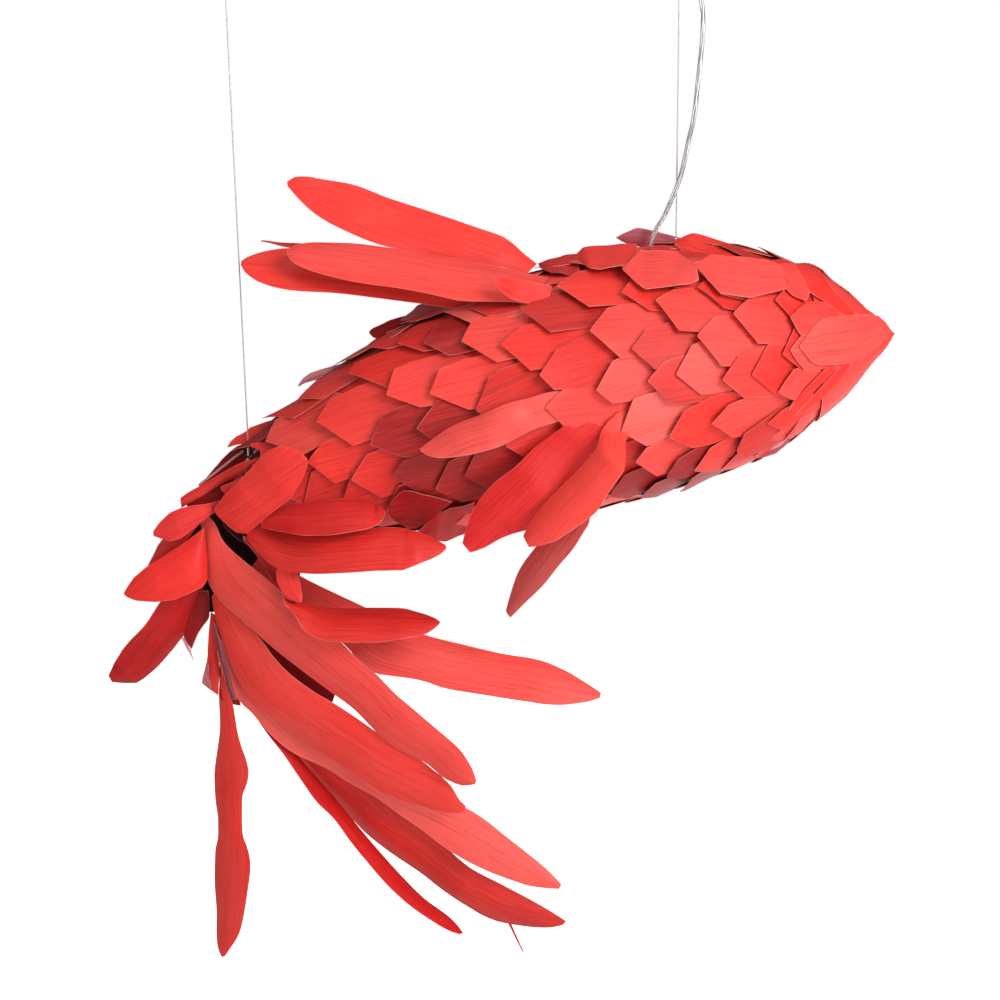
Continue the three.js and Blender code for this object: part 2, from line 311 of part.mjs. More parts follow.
// axis 'x': the ring stands in the YZ plane; axis 'y': in the XZ plane.
function ring(radius, barRadius, axis, x, z, seg = 14) {
  const g = new THREE.TorusGeometry(radius, barRadius, 6, seg);
  axis === 'x' ? g.rotateY(Math.PI / 2) : g.rotateX(Math.PI / 2);
  g.translate(x, 0, z);
  return g;
}

function turned(profile, seg, x = 0) {
  const g = new THREE.LatheGeometry(profile.map(([r, z]) => new THREE.Vector2(r, z)), seg);
  g.rotateX(Math.PI / 2);
  g.translate(x, 0, 0);
  return clean(g);
}

const rod = (r, seg, x, y, z0, z1) => {
  const g = new THREE.CylinderGeometry(r, r, z1 - z0, seg);
  g.rotateX(Math.PI / 2);
  g.translate(x, y, (z0 + z1) / 2);
  return g;
};
const box = (x0, x1, y0, y1, z0, z1) => {
  const g = new THREE.BoxGeometry(x1 - x0, y1 - y0, z1 - z0);
  g.translate((x0 + x1) / 2, (y0 + y1) / 2, (z0 + z1) / 2);
  return g;
};

// ---- ceiling fittings --------------------------------------------------------
add('head_ceiling_rose', turned([[0, 0], [ROSE_R, 0], [ROSE_R, -5], [ROSE_R - 8, -17], [ROSE_R - 22, -ROSE_H], [0, -ROSE_H]], 28),
  new THREE.MeshStandardMaterial({ color: 0xf2f2f0, roughness: 0.4, metalness: 0 }));
add('tail_ceiling_cup', turned([[0, 0], [CUP_R, 0], [CUP_R, -4], [CUP_R - 8, -CUP_H], [0, -CUP_H]], 22, TAIL_HOOK_X),
  new THREE.MeshStandardMaterial({ color: 0xf2f2f0, roughness: 0.4, metalness: 0 }));
for (const [name, x, h] of [['head_ceiling_hook', 0, ROSE_H], ['tail_ceiling_hook', TAIL_HOOK_X, CUP_H]]) {
  const eye = solid(ring(RING_R, BAR_R, 'x', x, HOOK_Z));
  const shank = solid(rod(BAR_R, 8, x, 0, HOOK_Z + RING_R, -h - SLACK));
  add(name, geometryOf(eye.add(shank)), steel());
}
add('flex_ceiling_grip', turned([[6.2, -ROSE_H - SLACK], [10, -ROSE_H - SLACK], [9, -36], [6.2, -36], [6.2, -ROSE_H - SLACK]], 16, FLEX_TOP.x),
  new THREE.MeshStandardMaterial({ color: 0xf2f2f0, roughness: 0.4, metalness: 0 }));

// ---- chain rings, wires and ferrules ----------------------------------------
const SWING_Z = HOOK_Z - RING_R + 2 * BAR_R + SLACK;                 // fore-aft swing axis
const SWAY_Z = SWING_Z - 2 * RING_R + BAR_R + SLACK + WIRE_R;        // sideways sway axis
add('head_hanger_ring', clean(ring(RING_R, BAR_R, 'y', 0, SWING_Z - RING_R)), steel());
add('tail_hanger_ring', clean(ring(RING_R, BAR_R, 'y', TAIL_HOOK_X, SWING_Z - RING_R)), steel());

function wireSet(prefix, top, bottom) {
  const dx = bottom.x - top.x, dz = bottom.z - top.z, L = Math.hypot(dx, dz), a = Math.atan2(dx, -dz);
  const place = (g) => { g.rotateY(-a); g.translate(top.x, 0, top.z); return g; };
  const parts = [ring(LOOP_R, WIRE_R, 'x', 0, -LOOP_R, 12), rod(WIRE_R, 8, 0, 0, -(L - 2 * LOOP_R), -2 * LOOP_R), ring(LOOP_R, WIRE_R, 'x', 0, -(L - LOOP_R), 12)];
  const [u, w, l] = parts.map((g) => solid(place(g)));
  add(`${prefix}_wire`, geometryOf(u.add(w).add(l)), steel());
  const sleeve = (z1, z0) => place(turned([[WIRE_R + SLACK, z0], [2.3, z0], [2.3, z1], [WIRE_R + SLACK, z1], [WIRE_R + SLACK, z0]], 10));
  const z = 2 * LOOP_R + WIRE_R + SLACK;
  add(`${prefix}_wire_upper_ferrule`, sleeve(-z, -z - 9), steel());
  add(`${prefix}_wire_lower_ferrule`, sleeve(-(L - z - 9), -(L - z)), steel());
}
wireSet('head', { x: 0, z: SWAY_Z }, HEAD);
wireSet('tail', { x: TAIL_HOOK_X, z: SWAY_Z }, TAIL);

// Eyes on the frame: a ring hung in the wire loop, with a tab under the spine rod.
for (const [name, at, slack] of [['head_anchor_eye', HEAD, SLACK], ['tail_anchor_eye', TAIL, 1.0]]) {
  const top = at.z + WIRE_R + BAR_R + slack;
  const eye = solid(ring(RING_R, BAR_R, 'y', at.x, top - RING_R));
  const tab = solid(box(at.x - 4, at.x + 4, -1.2, SPINE_Y + 2, top - 2 * RING_R - 1.4, top - 2 * RING_R + 1.2));
  add(name, geometryOf(eye.add(tab)), steel());
}

// ---- flex --------------------------------------------------------------------
const flexPoints = [new THREE.Vector3(LAMP_X, 0, -428), new THREE.Vector3(LAMP_X, -0.5, -420), ...FLEX.map((p) => new THREE.Vector3(...p)),
  new THREE.Vector3(21.5, -1.5, -88), new THREE.Vector3(FLEX_TOP.x + 0.6, -0.3, -56), new THREE.Vector3(FLEX_TOP.x, 0, -40), new THREE.Vector3(FLEX_TOP.x, 0, FLEX_TOP.z)];
add('power_flex', bar(flexPoints, FLEX_R, 8, 40),
  new THREE.MeshStandardMaterial({ color: 0xd8d4d2, roughness: 0.15, metalness: 0 }));

// ---- lamp --------------------------------------------------------------------
add('lamp_cord_grip', turned([[0, -432], [4.2, -432], [7.5, -466], [0, -466]], 12, LAMP_X),
  new THREE.MeshStandardMaterial({ color: 0x1b1b1c, roughness: 0.5, metalness: 0 }));
add('lamp_holder', turned([[0, -466.4], [12, -466.4], [20, -474], [20, -520], [16.4, -520], [16.4, -480], [0, -480]], 20, LAMP_X),
  new THREE.MeshStandardMaterial({ color: 0x1b1b1c, roughness: 0.5, metalness: 0 }));
add('lamp_cap', turned([[0, -481], [5, -481], [13.2, -485], [13.2, -507], [0, -507]], 18, LAMP_X),
  new THREE.MeshStandardMaterial({ color: 0xc8c9c4, roughness: 0.3, metalness: 1 }));
add('lamp_bulb', turned([[0, -601], [BULB_R - 12, -596], [BULB_R - 2.5, -583], [BULB_R, -566], [BULB_R - 6, -548], [14.6, -520], [13.6, -507.3], [12, -507.3], [13, -520.4], [BULB_R - 7.6, -548.4], [BULB_R - 1.6, -566], [BULB_R - 4, -582.4], [BULB_R - 12.6, -594.8], [0, -599.6]], 16, LAMP_X),
  new THREE.MeshStandardMaterial({ color: 0xf6f2ea, roughness: 0.25, metalness: 0 }));

// ---- inner frame -------------------------------------------------------------
const railPoints = (phi, y) => {
  const pts = [];
  for (let i = 0; i <= 14; i++) {
    const s = 40 + (846 - 40) * (i / 14), f = frameAt(s), c = Math.cos(phi), r = f.r - HOOP_IN - 2 * ROD_R - SLACK - 0.3;
    const k = Math.sqrt(Math.max(0, r * r - y * y)) * c;
    pts.push(new THREE.Vector3(f.x + f.nx * k, y, f.z + f.nz * k));
  }
  return pts;
};
add('spine_rod', bar(railPoints(0, SPINE_Y), ROD_R, 5, 18), steel());
add('keel_rod', bar(railPoints(Math.PI, 0), ROD_R, 5, 18), steel());
const HOOPS = [200, 430, 690];
HOOPS.forEach((s, i) => {
  const f = frameAt(s), g = new THREE.TorusGeometry(f.r - HOOP_IN, ROD_R, 5, 22);
  g.rotateY(Math.PI / 2);
  g.rotateY(Math.atan2(-f.tz, f.tx));
  g.translate(f.x, 0, f.z);
  add(`frame_hoop_${i + 1}`, clean(g), steel());
});
{
  // a plate beside the spine rod, standing on the lamp holder's grip
  const plate = new THREE.Shape();
  plate.moveTo(-7, -425.6); plate.lineTo(-9, -452); plate.lineTo(-9, -466); plate.lineTo(9, -466); plate.lineTo(9, -452); plate.lineTo(7, -425.6);
  const g = new THREE.ExtrudeGeometry(plate, { depth: 2.5, bevelEnabled: false });
  g.rotateX(Math.PI / 2);
  g.translate(LAMP_X, SPINE_Y + 3.5, 0);
  add('holder_bracket', clean(g), steel());
}

// ---- skin of scales ----------------------------------------------------------
const BANDS = [
  // rear edge, points round the ring
  [182, 13], [266, 14], [350, 15], [434, 15], [518, 14], [602, 13], [687, 11], [771, 9], [852, 8],
];
const cut = (g, holes) => {
  let m = solid(g);
  for (const h of holes) m = m.subtract(solid(h));
  return geometryOf(m);
};
const service = [rod(9, 12, HEAD.x, 0, -470, -380), rod(9, 12, LAMP_X, -1.5, -470, -380), rod(9, 12, TAIL.x, 0, -700, -630)];
add('nose_wrap', noseWrap(96, 30, 8, [3, 16, 36, 56, 0], 4.6, 1.8), wood(RED));
BANDS.forEach(([end, points], i) => {
  const start = (i ? BANDS[i - 1][0] : 96) - (i ? 54 : 50);
  const g = scaleBand(start, end, 30, points, i % 2, i < 2 ? 3 : 2, -SCALE_RISE, SCALE_RISE, VENEER);
  const mid = frameAt((start + end) / 2);
  const holes = [0, 1, 2].filter((k) => {
    const x = [HEAD.x, LAMP_X, TAIL.x][k];
    return onBody(start, 0, 0).x > x - 12 && onBody(end, 0, 0).x < x + 12 && mid.r > 0;
  }).map((k) => service[k]);
  add(`scale_band_${String(i + 1).padStart(2, '0')}`, holes.length ? cut(g, holes) : g, wood(i % 3 === 1 ? PALE : RED));
});

// ---- fins --------------------------------------------------------------------
for (const [name, data] of Object.entries(STRIPS)) add(name, strip(data), wood(TONE[name] ?? RED));

export default lamp;
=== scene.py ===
"""Looks of the hanging veneer fish lamp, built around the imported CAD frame.

Lengths in the tables are millimetres in the CAD frame; every mesh is made in metres.
"""
import bpy
import math
import random
import numpy as np
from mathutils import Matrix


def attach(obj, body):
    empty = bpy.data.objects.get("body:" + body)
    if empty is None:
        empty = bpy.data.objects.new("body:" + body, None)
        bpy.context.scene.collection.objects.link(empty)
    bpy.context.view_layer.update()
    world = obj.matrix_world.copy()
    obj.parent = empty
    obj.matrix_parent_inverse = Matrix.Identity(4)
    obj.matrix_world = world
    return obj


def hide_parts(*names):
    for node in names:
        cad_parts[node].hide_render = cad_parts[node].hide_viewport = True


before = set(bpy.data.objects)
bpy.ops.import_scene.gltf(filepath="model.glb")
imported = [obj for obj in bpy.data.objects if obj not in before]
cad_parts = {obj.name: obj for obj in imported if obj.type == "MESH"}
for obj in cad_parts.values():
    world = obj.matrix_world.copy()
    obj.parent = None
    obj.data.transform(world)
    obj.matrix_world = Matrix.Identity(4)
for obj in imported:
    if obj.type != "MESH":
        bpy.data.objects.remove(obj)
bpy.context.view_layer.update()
scene = bpy.context.scene
MM = 0.001

# ---- camera -------------------------------------------------------------------
cam_data = bpy.data.cameras.new("camera")
cam = bpy.data.objects.new("camera", cam_data)
scene.collection.objects.link(cam)
cam.location = (-0.21118, -2.18933, -0.40735)
cam.rotation_euler = (math.radians(82.0), 0.0, 0.0)
cam_data.sensor_width = 36.0
cam_data.lens = 65.016
cam_data.clip_start, cam_data.clip_end = 0.05, 60.0
scene.camera = cam
scene.view_settings.view_transform = "Standard"
scene.view_settings.look = "None"

# ---- tables (mm) ----------------------------------------------------------------
# body centre-line from nose to tail: arc length, x, z, radius
BODY = [[0.0,263.8,-512.4,3.6],[15.8,248.1,-514.3,21.7],[33.9,230.0,-516.1,37.4],[70.4,193.9,-520.9,72.3],[112.9,151.7,-525.7,100.1],[143.3,121.5,-529.9,117.1],[173.8,91.4,-534.2,129.2],[204.3,61.2,-539.0,137.1],[234.9,31.0,-543.8,142.0],[296.5,-29.4,-555.9,148.3],[358.5,-89.9,-569.3,149.2],[421.1,-150.5,-585.1,146.4],[484.1,-211.2,-602.1,140.0],[560.0,-284.2,-622.9,129.4],[611.0,-333.0,-637.5,118.7],[649.7,-369.7,-649.8,106.6],[695.9,-412.6,-667.0,92.1],[743.2,-455.6,-686.7,77.6],[785.1,-492.6,-706.4,64.2],[821.2,-523.5,-724.9,54.4],[856.0,-552.1,-744.8,45.9]]
# the flex, from the fish up to the ceiling grip
FLEX_ROUTE = [[-31.5,0,-428],[-31.5,-0.5,-420],[-31.8,-3,-411.9],[-25.7,-4.6,-390.5],[-14.1,-6.1,-369.3],[-5,-7.4,-348.1],[2.9,-8.5,-327],[8.5,-9.4,-303.7],[12.8,-9.9,-281.5],[17.3,-10,-261.8],[20,-9.8,-243.2],[22.1,-9.1,-218.9],[24.7,-8,-194.5],[26.7,-6.8,-172.5],[27.9,-5.2,-149.4],[27.2,-3.9,-132],[24.7,-3,-115.9],[21.5,-1.5,-88],[18.6,-0.3,-56],[18,0,-40],[18,0,-27]]
# scales of the near side: name, tip arc length, tip angle, both shoulders (back from the tip, across), tone (the
# piece's own shade of red, partly painted light and shade: pieces under the body darkened where shade falls, pieces
# facing the lamp made paler for sheen), lift of the tip
SCALES = [
    ["B",363.0,-0.0123,20.0,0.3,24.3,73.7,0.85,1.5],
    ["C",310.1,0.5637,28.6,-37.6,24.3,44.4,0.3,2],
    ["D",383.0,0.6124,27.2,-34.1,27.2,47.5,-0.12,2],
    ["E",283.0,0.9704,22.9,-17.5,17.1,37.3,0.22,2.5],
    ["F",427.3,0.7665,28.6,-26.5,24.3,35.5,-0.64,2.5],
    ["G",361.5,1.1046,24.3,-27.2,25.7,35.9,0.29,3],
    ["H",321.5,1.3096,21.4,-21.0,20.0,25.6,-0.5,2],
    ["I",460.2,1.0044,28.6,-21.5,24.3,35.8,0.01,2.5],
    ["J",427.3,1.332,25.7,-21.9,11.4,18.3,-0.31,3],
    ["K",370.1,1.5439,24.3,-25.3,14.3,19.6,0.34,3.5],
    ["L",430.1,1.5759,25.7,-19.1,21.4,37.3,0.1,3],
    ["M",311.5,1.5631,22.9,-19.3,18.6,28.3,-0.5,3],
    ["N",353.0,1.8819,21.4,-30.9,25.7,29.4,0.99,5],
    ["O",343.0,2.1794,15.7,-15.6,22.9,35.0,0.33,3],
    ["P",503.0,0.846,17.1,-27.5,32.9,35.8,0.28,2.5],
    ["Q",507.3,1.4484,24.3,-29.1,7.1,4.3,-0.51,2.5],
    ["R",515.9,0.3676,68.6,-0.5,30.0,39.4,0.99,1.5],
    ["t1",750.3,0.019,20.0,3.6,38.6,58.4,-0.09,6],
    ["t2",750.3,0.7684,17.1,-32.0,34.3,44.0,0.38,4],
    ["t3",685.9,0.9832,21.4,-23.4,30.0,41.5,0.09,4],
    ["t4",713.1,1.3802,24.3,-17.5,18.6,32.0,-0.1,3],
    ["t5",637.4,0.6121,1.4,-11.4,40.0,42.2,-0.23,2],
    ["t6",601.6,1.0768,15.7,-29.0,32.9,27.0,0.26,3],
    ["t7",553.0,1.2089,17.1,-25.4,37.2,28.6,0.24,4],
    ["t8",635.9,1.4679,22.9,-27.1,32.9,26.9,-0.99,3],
    ["t9",578.8,1.4576,30.0,-24.7,24,29,-0.99,2],
    ["t10",673.1,1.7606,28.6,-23.9,24.3,31.1,-0.34,3],
    ["t11",623.1,1.827,17.1,-16.1,27.2,32.6,-0.99,2.5],
    ["t12",578.8,2.0419,24,-29,24,29,-0.99,2],
    ["t13",645.9,2.2117,24,-29,24,29,-1.0,2],
    ["t14",541.6,1.97,24,-29,24,29,-0.94,2],
    ["t15",545.9,0.6979,24,-29,24,29,-1.0,1.5],
    ["t16",738.8,1.8472,24,-29,24,29,-0.58,2.5],
    ["t17",691.7,1.9624,24,-29,24,29,-0.52,2.5],
    ["t18",751.7,1.7264,24,-29,24,29,-0.55,2.5],
    ["t19",620.2,2.7364,24,-29,24,29,-0.99,2],
    ["n1",247.2,1.3076,22.9,-22.3,21.4,34.4,0.08,3],
    ["n2",227.2,1.6691,22.9,-23.1,22.9,26.6,0.08,3.5],
    ["n3",232.9,0.6511,22.9,-23.4,20.0,42.7,0.92,2.5],
    ["n4",202.9,1.1686,25.7,-24.6,22.9,32.9,0.19,3.5],
    ["n5",298.7,2.0253,21.4,-25.0,25.7,26.7,-0.17,3],
    ["n6",247.2,2.0101,24.3,-17.8,25.7,27.5,0.4,3],
    ["n7",308.7,2.4317,15.7,-22.4,21.4,22.7,-0.98,2.5],
    ["n8",217.2,2.3572,10.0,-18.6,10.0,18.4,-0.38,2.5],
    ["n9",344.4,2.6973,21.4,-26.7,24.3,43.0,-0.99,2],
    ["n10",384.4,2.5337,24,-29,24,29,-0.99,2],
    ["n11",293.0,2.8111,15.7,-31.1,12.9,25.5,-0.99,2],
    ["t20",797.4,0.0624,15.7,-0.4,25.7,23.9,-0.99,4],
]
# pieces laid on the nose: grids of points from tip to base
PATCHES = {
    "n12": {"g":[[[121.3,-112.7,-486.9],[121.3,-112.7,-487.0],[121.3,-112.7,-487.1],[121.3,-112.7,-487.2],[121.3,-112.8,-487.3],[121.3,-112.8,-487.4],[121.3,-112.8,-487.5]],[[126.7,-107.1,-482.9],[126.2,-108.8,-484.5],[125.8,-109.6,-486.2],[125.5,-109.8,-487.9],[124.9,-111.5,-489.6],[124.6,-111.8,-491.3],[124.1,-113.0,-492.9]],[[132.2,-101.4,-478.7],[131.3,-103.9,-482.0],[130.4,-105.9,-485.3],[129.4,-108.4,-488.5],[128.7,-109.8,-491.8],[127.9,-111.3,-495.1],[127.1,-112.8,-498.3]],[[138.1,-95.9,-475.0],[136.7,-99.1,-479.8],[135.3,-102.3,-484.6],[133.9,-105.5,-489.4],[132.6,-108.2,-494.1],[131.3,-110.3,-498.9],[130.0,-113.0,-503.7]],[[144.4,-88.8,-471.6],[142.4,-94.2,-477.7],[140.5,-98.6,-483.8],[138.6,-103.0,-490.0],[137.0,-105.9,-496.1],[135.4,-108.8,-502.3],[133.8,-111.7,-508.4]],[[151.1,-84.1,-470.4],[149.0,-90.1,-477.0],[147.0,-95.1,-483.6],[145.3,-98.5,-490.3],[143.6,-102.5,-496.8],[141.9,-105.4,-503.5],[140.4,-107.9,-510.1]],[[158.5,-79.1,-470.9],[156.2,-85.1,-477.7],[154.1,-90.6,-484.5],[152.1,-95.1,-491.3],[150.2,-99.1,-498.1],[148.6,-101.6,-504.9],[147.0,-104.1,-511.8]],[[165.7,-74.6,-471.3],[163.4,-80.6,-477.9],[161.2,-85.6,-484.5],[159.2,-90.0,-491.1],[157.2,-94.0,-497.6],[155.3,-97.5,-504.2],[153.7,-99.4,-510.9]],[[171.9,-72.0,-474.0],[169.7,-77.4,-479.9],[167.6,-82.2,-485.8],[165.6,-86.6,-491.7],[163.8,-89.5,-497.6],[162.0,-92.8,-503.5],[160.3,-95.7,-509.4]],[[177.8,-69.5,-477.7],[175.7,-74.7,-482.7],[173.8,-79.0,-487.7],[172.0,-82.2,-492.8],[170.3,-85.4,-497.8],[168.6,-88.7,-502.9],[167.0,-90.9,-507.9]],[[183.6,-67.0,-481.6],[181.7,-71.6,-485.8],[179.9,-75.8,-489.9],[178.4,-78.4,-494.1],[176.7,-82.0,-498.3],[175.3,-83.6,-502.5],[173.9,-85.7,-506.7]],[[188.8,-66.1,-485.8],[187.4,-68.6,-489.1],[186.1,-71.0,-492.4],[184.6,-74.5,-495.6],[183.3,-76.5,-498.9],[182.1,-78.5,-502.2],[180.9,-80.5,-505.4]],[[194.5,-62.7,-490.2],[193.3,-65.0,-492.5],[192.2,-67.4,-494.8],[191.1,-69.2,-497.2],[190.0,-71.0,-499.5],[189.0,-72.9,-501.9],[187.9,-74.7,-504.2]]],"tone":0.15},
    "wrap": {"g":[[[132.0,-117.4,-520.4],[132.0,-117.4,-520.6],[132.0,-117.5,-520.8],[132.0,-117.5,-521.0],[132.0,-117.5,-521.1],[132.0,-117.5,-521.3],[132.0,-117.6,-521.5]],[[139.1,-111.2,-512.2],[139.1,-112.1,-515.1],[139.1,-112.5,-518.1],[139.1,-113.0,-521.1],[139.0,-113.9,-524.0],[139.1,-113.8,-527.0],[139.2,-113.7,-530.0]],[[146.4,-105.0,-504.0],[146.4,-105.8,-509.7],[146.3,-107.6,-515.4],[146.5,-107.9,-521.2],[146.5,-108.7,-526.9],[146.7,-108.5,-532.7],[146.8,-109.3,-538.4]],[[154.5,-97.4,-496.3],[154.6,-99.5,-504.1],[154.7,-101.6,-511.9],[155.0,-102.2,-519.8],[155.3,-103.3,-527.7],[155.9,-102.9,-535.6],[156.6,-101.5,-543.6]],[[163.8,-88.9,-490.4],[164.3,-91.7,-499.2],[164.7,-94.5,-508.1],[165.4,-95.7,-517.0],[166.3,-96.0,-526.0],[167.3,-95.2,-535.0],[168.5,-94.0,-544.1]],[[176.1,-79.1,-488.6],[176.3,-83.4,-497.8],[176.8,-85.7,-507.1],[177.5,-87.0,-516.4],[178.2,-88.4,-525.7],[179.5,-86.2,-535.2],[180.8,-84.5,-544.7]],[[188.7,-68.9,-488.0],[188.7,-73.7,-497.1],[189.2,-76.0,-506.3],[189.6,-78.3,-515.5],[190.5,-78.6,-524.8],[191.5,-77.9,-534.2],[192.9,-75.7,-543.6]],[[202.2,-54.8,-487.8],[201.6,-62.1,-496.6],[202.0,-64.8,-505.6],[202.3,-67.6,-514.6],[203.2,-67.4,-523.7],[204.3,-66.1,-532.8],[205.6,-63.9,-542.1]],[[216.0,-40.1,-487.9],[215.4,-46.9,-496.5],[215.4,-51.1,-505.1],[215.5,-54.4,-513.7],[216.3,-54.1,-522.6],[217.4,-52.8,-531.5],[218.8,-49.5,-540.5]],[[230.0,-25.0,-488.1],[228.8,-32.6,-495.7],[228.1,-37.8,-503.4],[227.8,-40.9,-511.1],[227.8,-42.5,-518.9],[228.4,-41.0,-526.8],[229.4,-38.1,-534.9]],[[243.5,-10.2,-490.5],[240.9,-22.1,-496.4],[239.7,-27.0,-502.6],[238.9,-30.4,-508.8],[238.4,-32.3,-515.0],[238.4,-31.7,-521.4],[238.4,-31.1,-527.8]],[[252.7,-6.7,-497.9],[251.0,-13.8,-501.6],[249.9,-18.3,-505.3],[249.1,-20.9,-509.2],[248.5,-23.0,-513.0],[248.3,-23.0,-517.0],[247.9,-23.6,-520.9]],[[259.0,-8.0,-507.0],[258.9,-8.6,-508.2],[258.8,-9.3,-509.4],[258.4,-11.5,-510.6],[258.4,-11.7,-511.8],[258.4,-11.8,-513.0],[258.5,-11.5,-514.3]]],"tone":0.6},
    "chev": {"g":[[[120.7,-121.5,-524.4],[120.7,-121.5,-524.5],[120.7,-121.5,-524.6],[120.7,-121.5,-524.7],[120.7,-121.6,-524.8],[120.7,-121.6,-525.0],[120.7,-121.6,-525.1]],[[124.5,-118.3,-519.9],[124.3,-119.6,-521.5],[124.3,-119.3,-523.3],[124.3,-119.6,-525.0],[124.2,-119.8,-526.8],[124.3,-119.6,-528.5],[124.1,-120.3,-530.2]],[[128.2,-115.7,-515.3],[128.0,-116.6,-518.6],[128.0,-116.6,-522.0],[127.9,-117.1,-525.4],[127.8,-117.6,-528.7],[127.8,-117.5,-532.1],[127.7,-118.5,-535.4]],[[132.4,-112.0,-511.0],[132.1,-113.7,-515.9],[132.1,-113.9,-520.8],[131.9,-115.1,-525.7],[131.9,-114.8,-530.6],[131.8,-115.5,-535.5],[131.8,-115.2,-540.5]],[[137.1,-108.0,-507.1],[136.8,-109.9,-513.4],[136.5,-111.2,-519.7],[136.3,-112.1,-526.1],[136.3,-112.0,-532.5],[136.2,-112.4,-538.9],[136.1,-112.8,-545.3]],[[141.7,-104.4,-503.2],[141.3,-106.5,-510.9],[141.0,-108.1,-518.7],[140.7,-109.7,-526.5],[140.5,-110.3,-534.3],[140.6,-109.4,-542.3],[140.6,-109.0,-550.2]],[[147.3,-99.9,-500.2],[146.9,-102.6,-508.6],[146.6,-104.3,-517.0],[146.4,-105.5,-525.4],[146.4,-105.7,-533.9],[146.5,-105.3,-542.4],[146.6,-104.5,-551.0]],[[153.2,-95.5,-497.8],[152.9,-98.3,-506.4],[152.8,-99.5,-515.0],[152.6,-101.2,-523.7],[152.6,-101.9,-532.3],[152.8,-101.6,-541.1],[153.3,-99.8,-549.9]],[[159.4,-90.2,-495.4],[159.0,-93.4,-504.2],[158.9,-95.7,-513.0],[158.8,-97.4,-521.8],[159.1,-97.1,-530.8],[159.4,-96.9,-539.8],[159.9,-95.1,-548.8]],[[165.7,-85.9,-494.1],[165.4,-89.2,-502.8],[165.1,-91.9,-511.6],[165.3,-92.7,-520.5],[165.4,-93.4,-529.4],[165.8,-92.7,-538.3],[166.4,-90.9,-547.4]],[[172.4,-80.8,-493.6],[172.0,-84.5,-502.2],[171.8,-87.3,-510.8],[171.7,-89.0,-519.4],[172.0,-88.7,-528.1],[172.2,-88.9,-536.9],[172.8,-87.1,-545.7]],[[179.2,-75.7,-493.2],[178.8,-79.4,-501.6],[178.5,-82.1,-510.0],[178.4,-83.8,-518.4],[178.7,-84.0,-526.9],[178.9,-83.7,-535.5],[179.4,-82.4,-544.1]],[[186.1,-70.1,-492.8],[185.7,-73.8,-501.0],[185.4,-76.4,-509.2],[185.2,-78.6,-517.4],[185.2,-79.8,-525.7],[185.6,-78.9,-534.1],[186.1,-77.1,-542.5]]],"tone":0.5},
    "g1": {"g":[[[104.1,-76.8,-432.6],[104.0,-77.3,-432.8],[104.0,-77.3,-432.9],[104.0,-77.4,-433.1],[103.9,-77.9,-433.2],[103.9,-77.9,-433.4],[103.9,-77.9,-433.6]],[[110.2,-68.9,-430.4],[109.4,-71.6,-431.6],[108.5,-74.3,-432.8],[107.8,-76.5,-434.0],[107.1,-78.2,-435.2],[106.3,-80.4,-436.4],[105.6,-82.5,-437.6]],[[116.4,-61.0,-428.2],[114.7,-65.9,-430.5],[113.3,-69.7,-432.7],[111.6,-75.1,-435.0],[110.2,-78.4,-437.2],[108.9,-81.8,-439.5],[107.3,-86.1,-441.7]],[[123.0,-51.2,-426.6],[120.4,-59.7,-429.7],[118.1,-66.7,-432.9],[115.9,-73.2,-436.0],[113.8,-78.7,-439.1],[111.9,-83.2,-442.3],[110.0,-87.7,-445.4]],[[129.2,-46.8,-427.4],[125.8,-57.9,-431.0],[122.9,-66.0,-434.6],[120.2,-73.0,-438.2],[117.6,-79.1,-441.8],[115.1,-84.6,-445.4],[112.7,-89.7,-449.0]],[[135.5,-41.8,-428.3],[131.4,-54.5,-432.4],[127.8,-64.7,-436.4],[124.5,-72.3,-440.5],[121.3,-80.0,-444.5],[118.4,-85.6,-448.5],[115.5,-91.7,-452.5]],[[137.2,-51.0,-432.6],[133.7,-60.2,-436.5],[130.3,-68.8,-440.4],[127.2,-75.4,-444.4],[124.2,-81.5,-448.3],[121.2,-88.1,-452.1],[118.5,-92.7,-456.0]],[[139.1,-57.2,-437.3],[135.9,-64.8,-441.0],[132.9,-71.4,-444.6],[129.9,-78.5,-448.3],[127.1,-84.0,-451.9],[124.4,-89.1,-455.6],[121.8,-93.7,-459.2]],[[141.1,-62.4,-442.0],[138.2,-69.0,-445.4],[135.4,-75.0,-448.8],[132.7,-80.6,-452.2],[130.2,-85.1,-455.7],[127.7,-89.6,-459.1],[125.2,-94.1,-462.5]],[[143.2,-67.1,-446.6],[140.7,-72.6,-449.7],[138.2,-77.6,-452.7],[136.0,-81.6,-455.8],[133.7,-86.0,-458.8],[131.4,-90.0,-461.8],[129.2,-93.9,-464.9]],[[145.0,-71.4,-451.5],[143.0,-75.8,-454.0],[141.1,-79.1,-456.5],[139.2,-83.0,-459.1],[137.5,-85.9,-461.6],[135.7,-88.8,-464.1],[133.9,-92.2,-466.6]],[[146.7,-76.1,-456.3],[145.4,-78.4,-458.3],[143.9,-81.2,-460.4],[142.5,-84.0,-462.3],[141.2,-86.3,-464.4],[139.9,-88.6,-466.4],[138.5,-90.9,-468.4]],[[148.7,-78.8,-461.2],[147.9,-80.0,-462.7],[146.9,-82.2,-464.2],[146.0,-84.0,-465.7],[145.0,-86.2,-467.1],[144.3,-86.9,-468.7],[143.3,-89.1,-470.1]]],"tone":0.2},
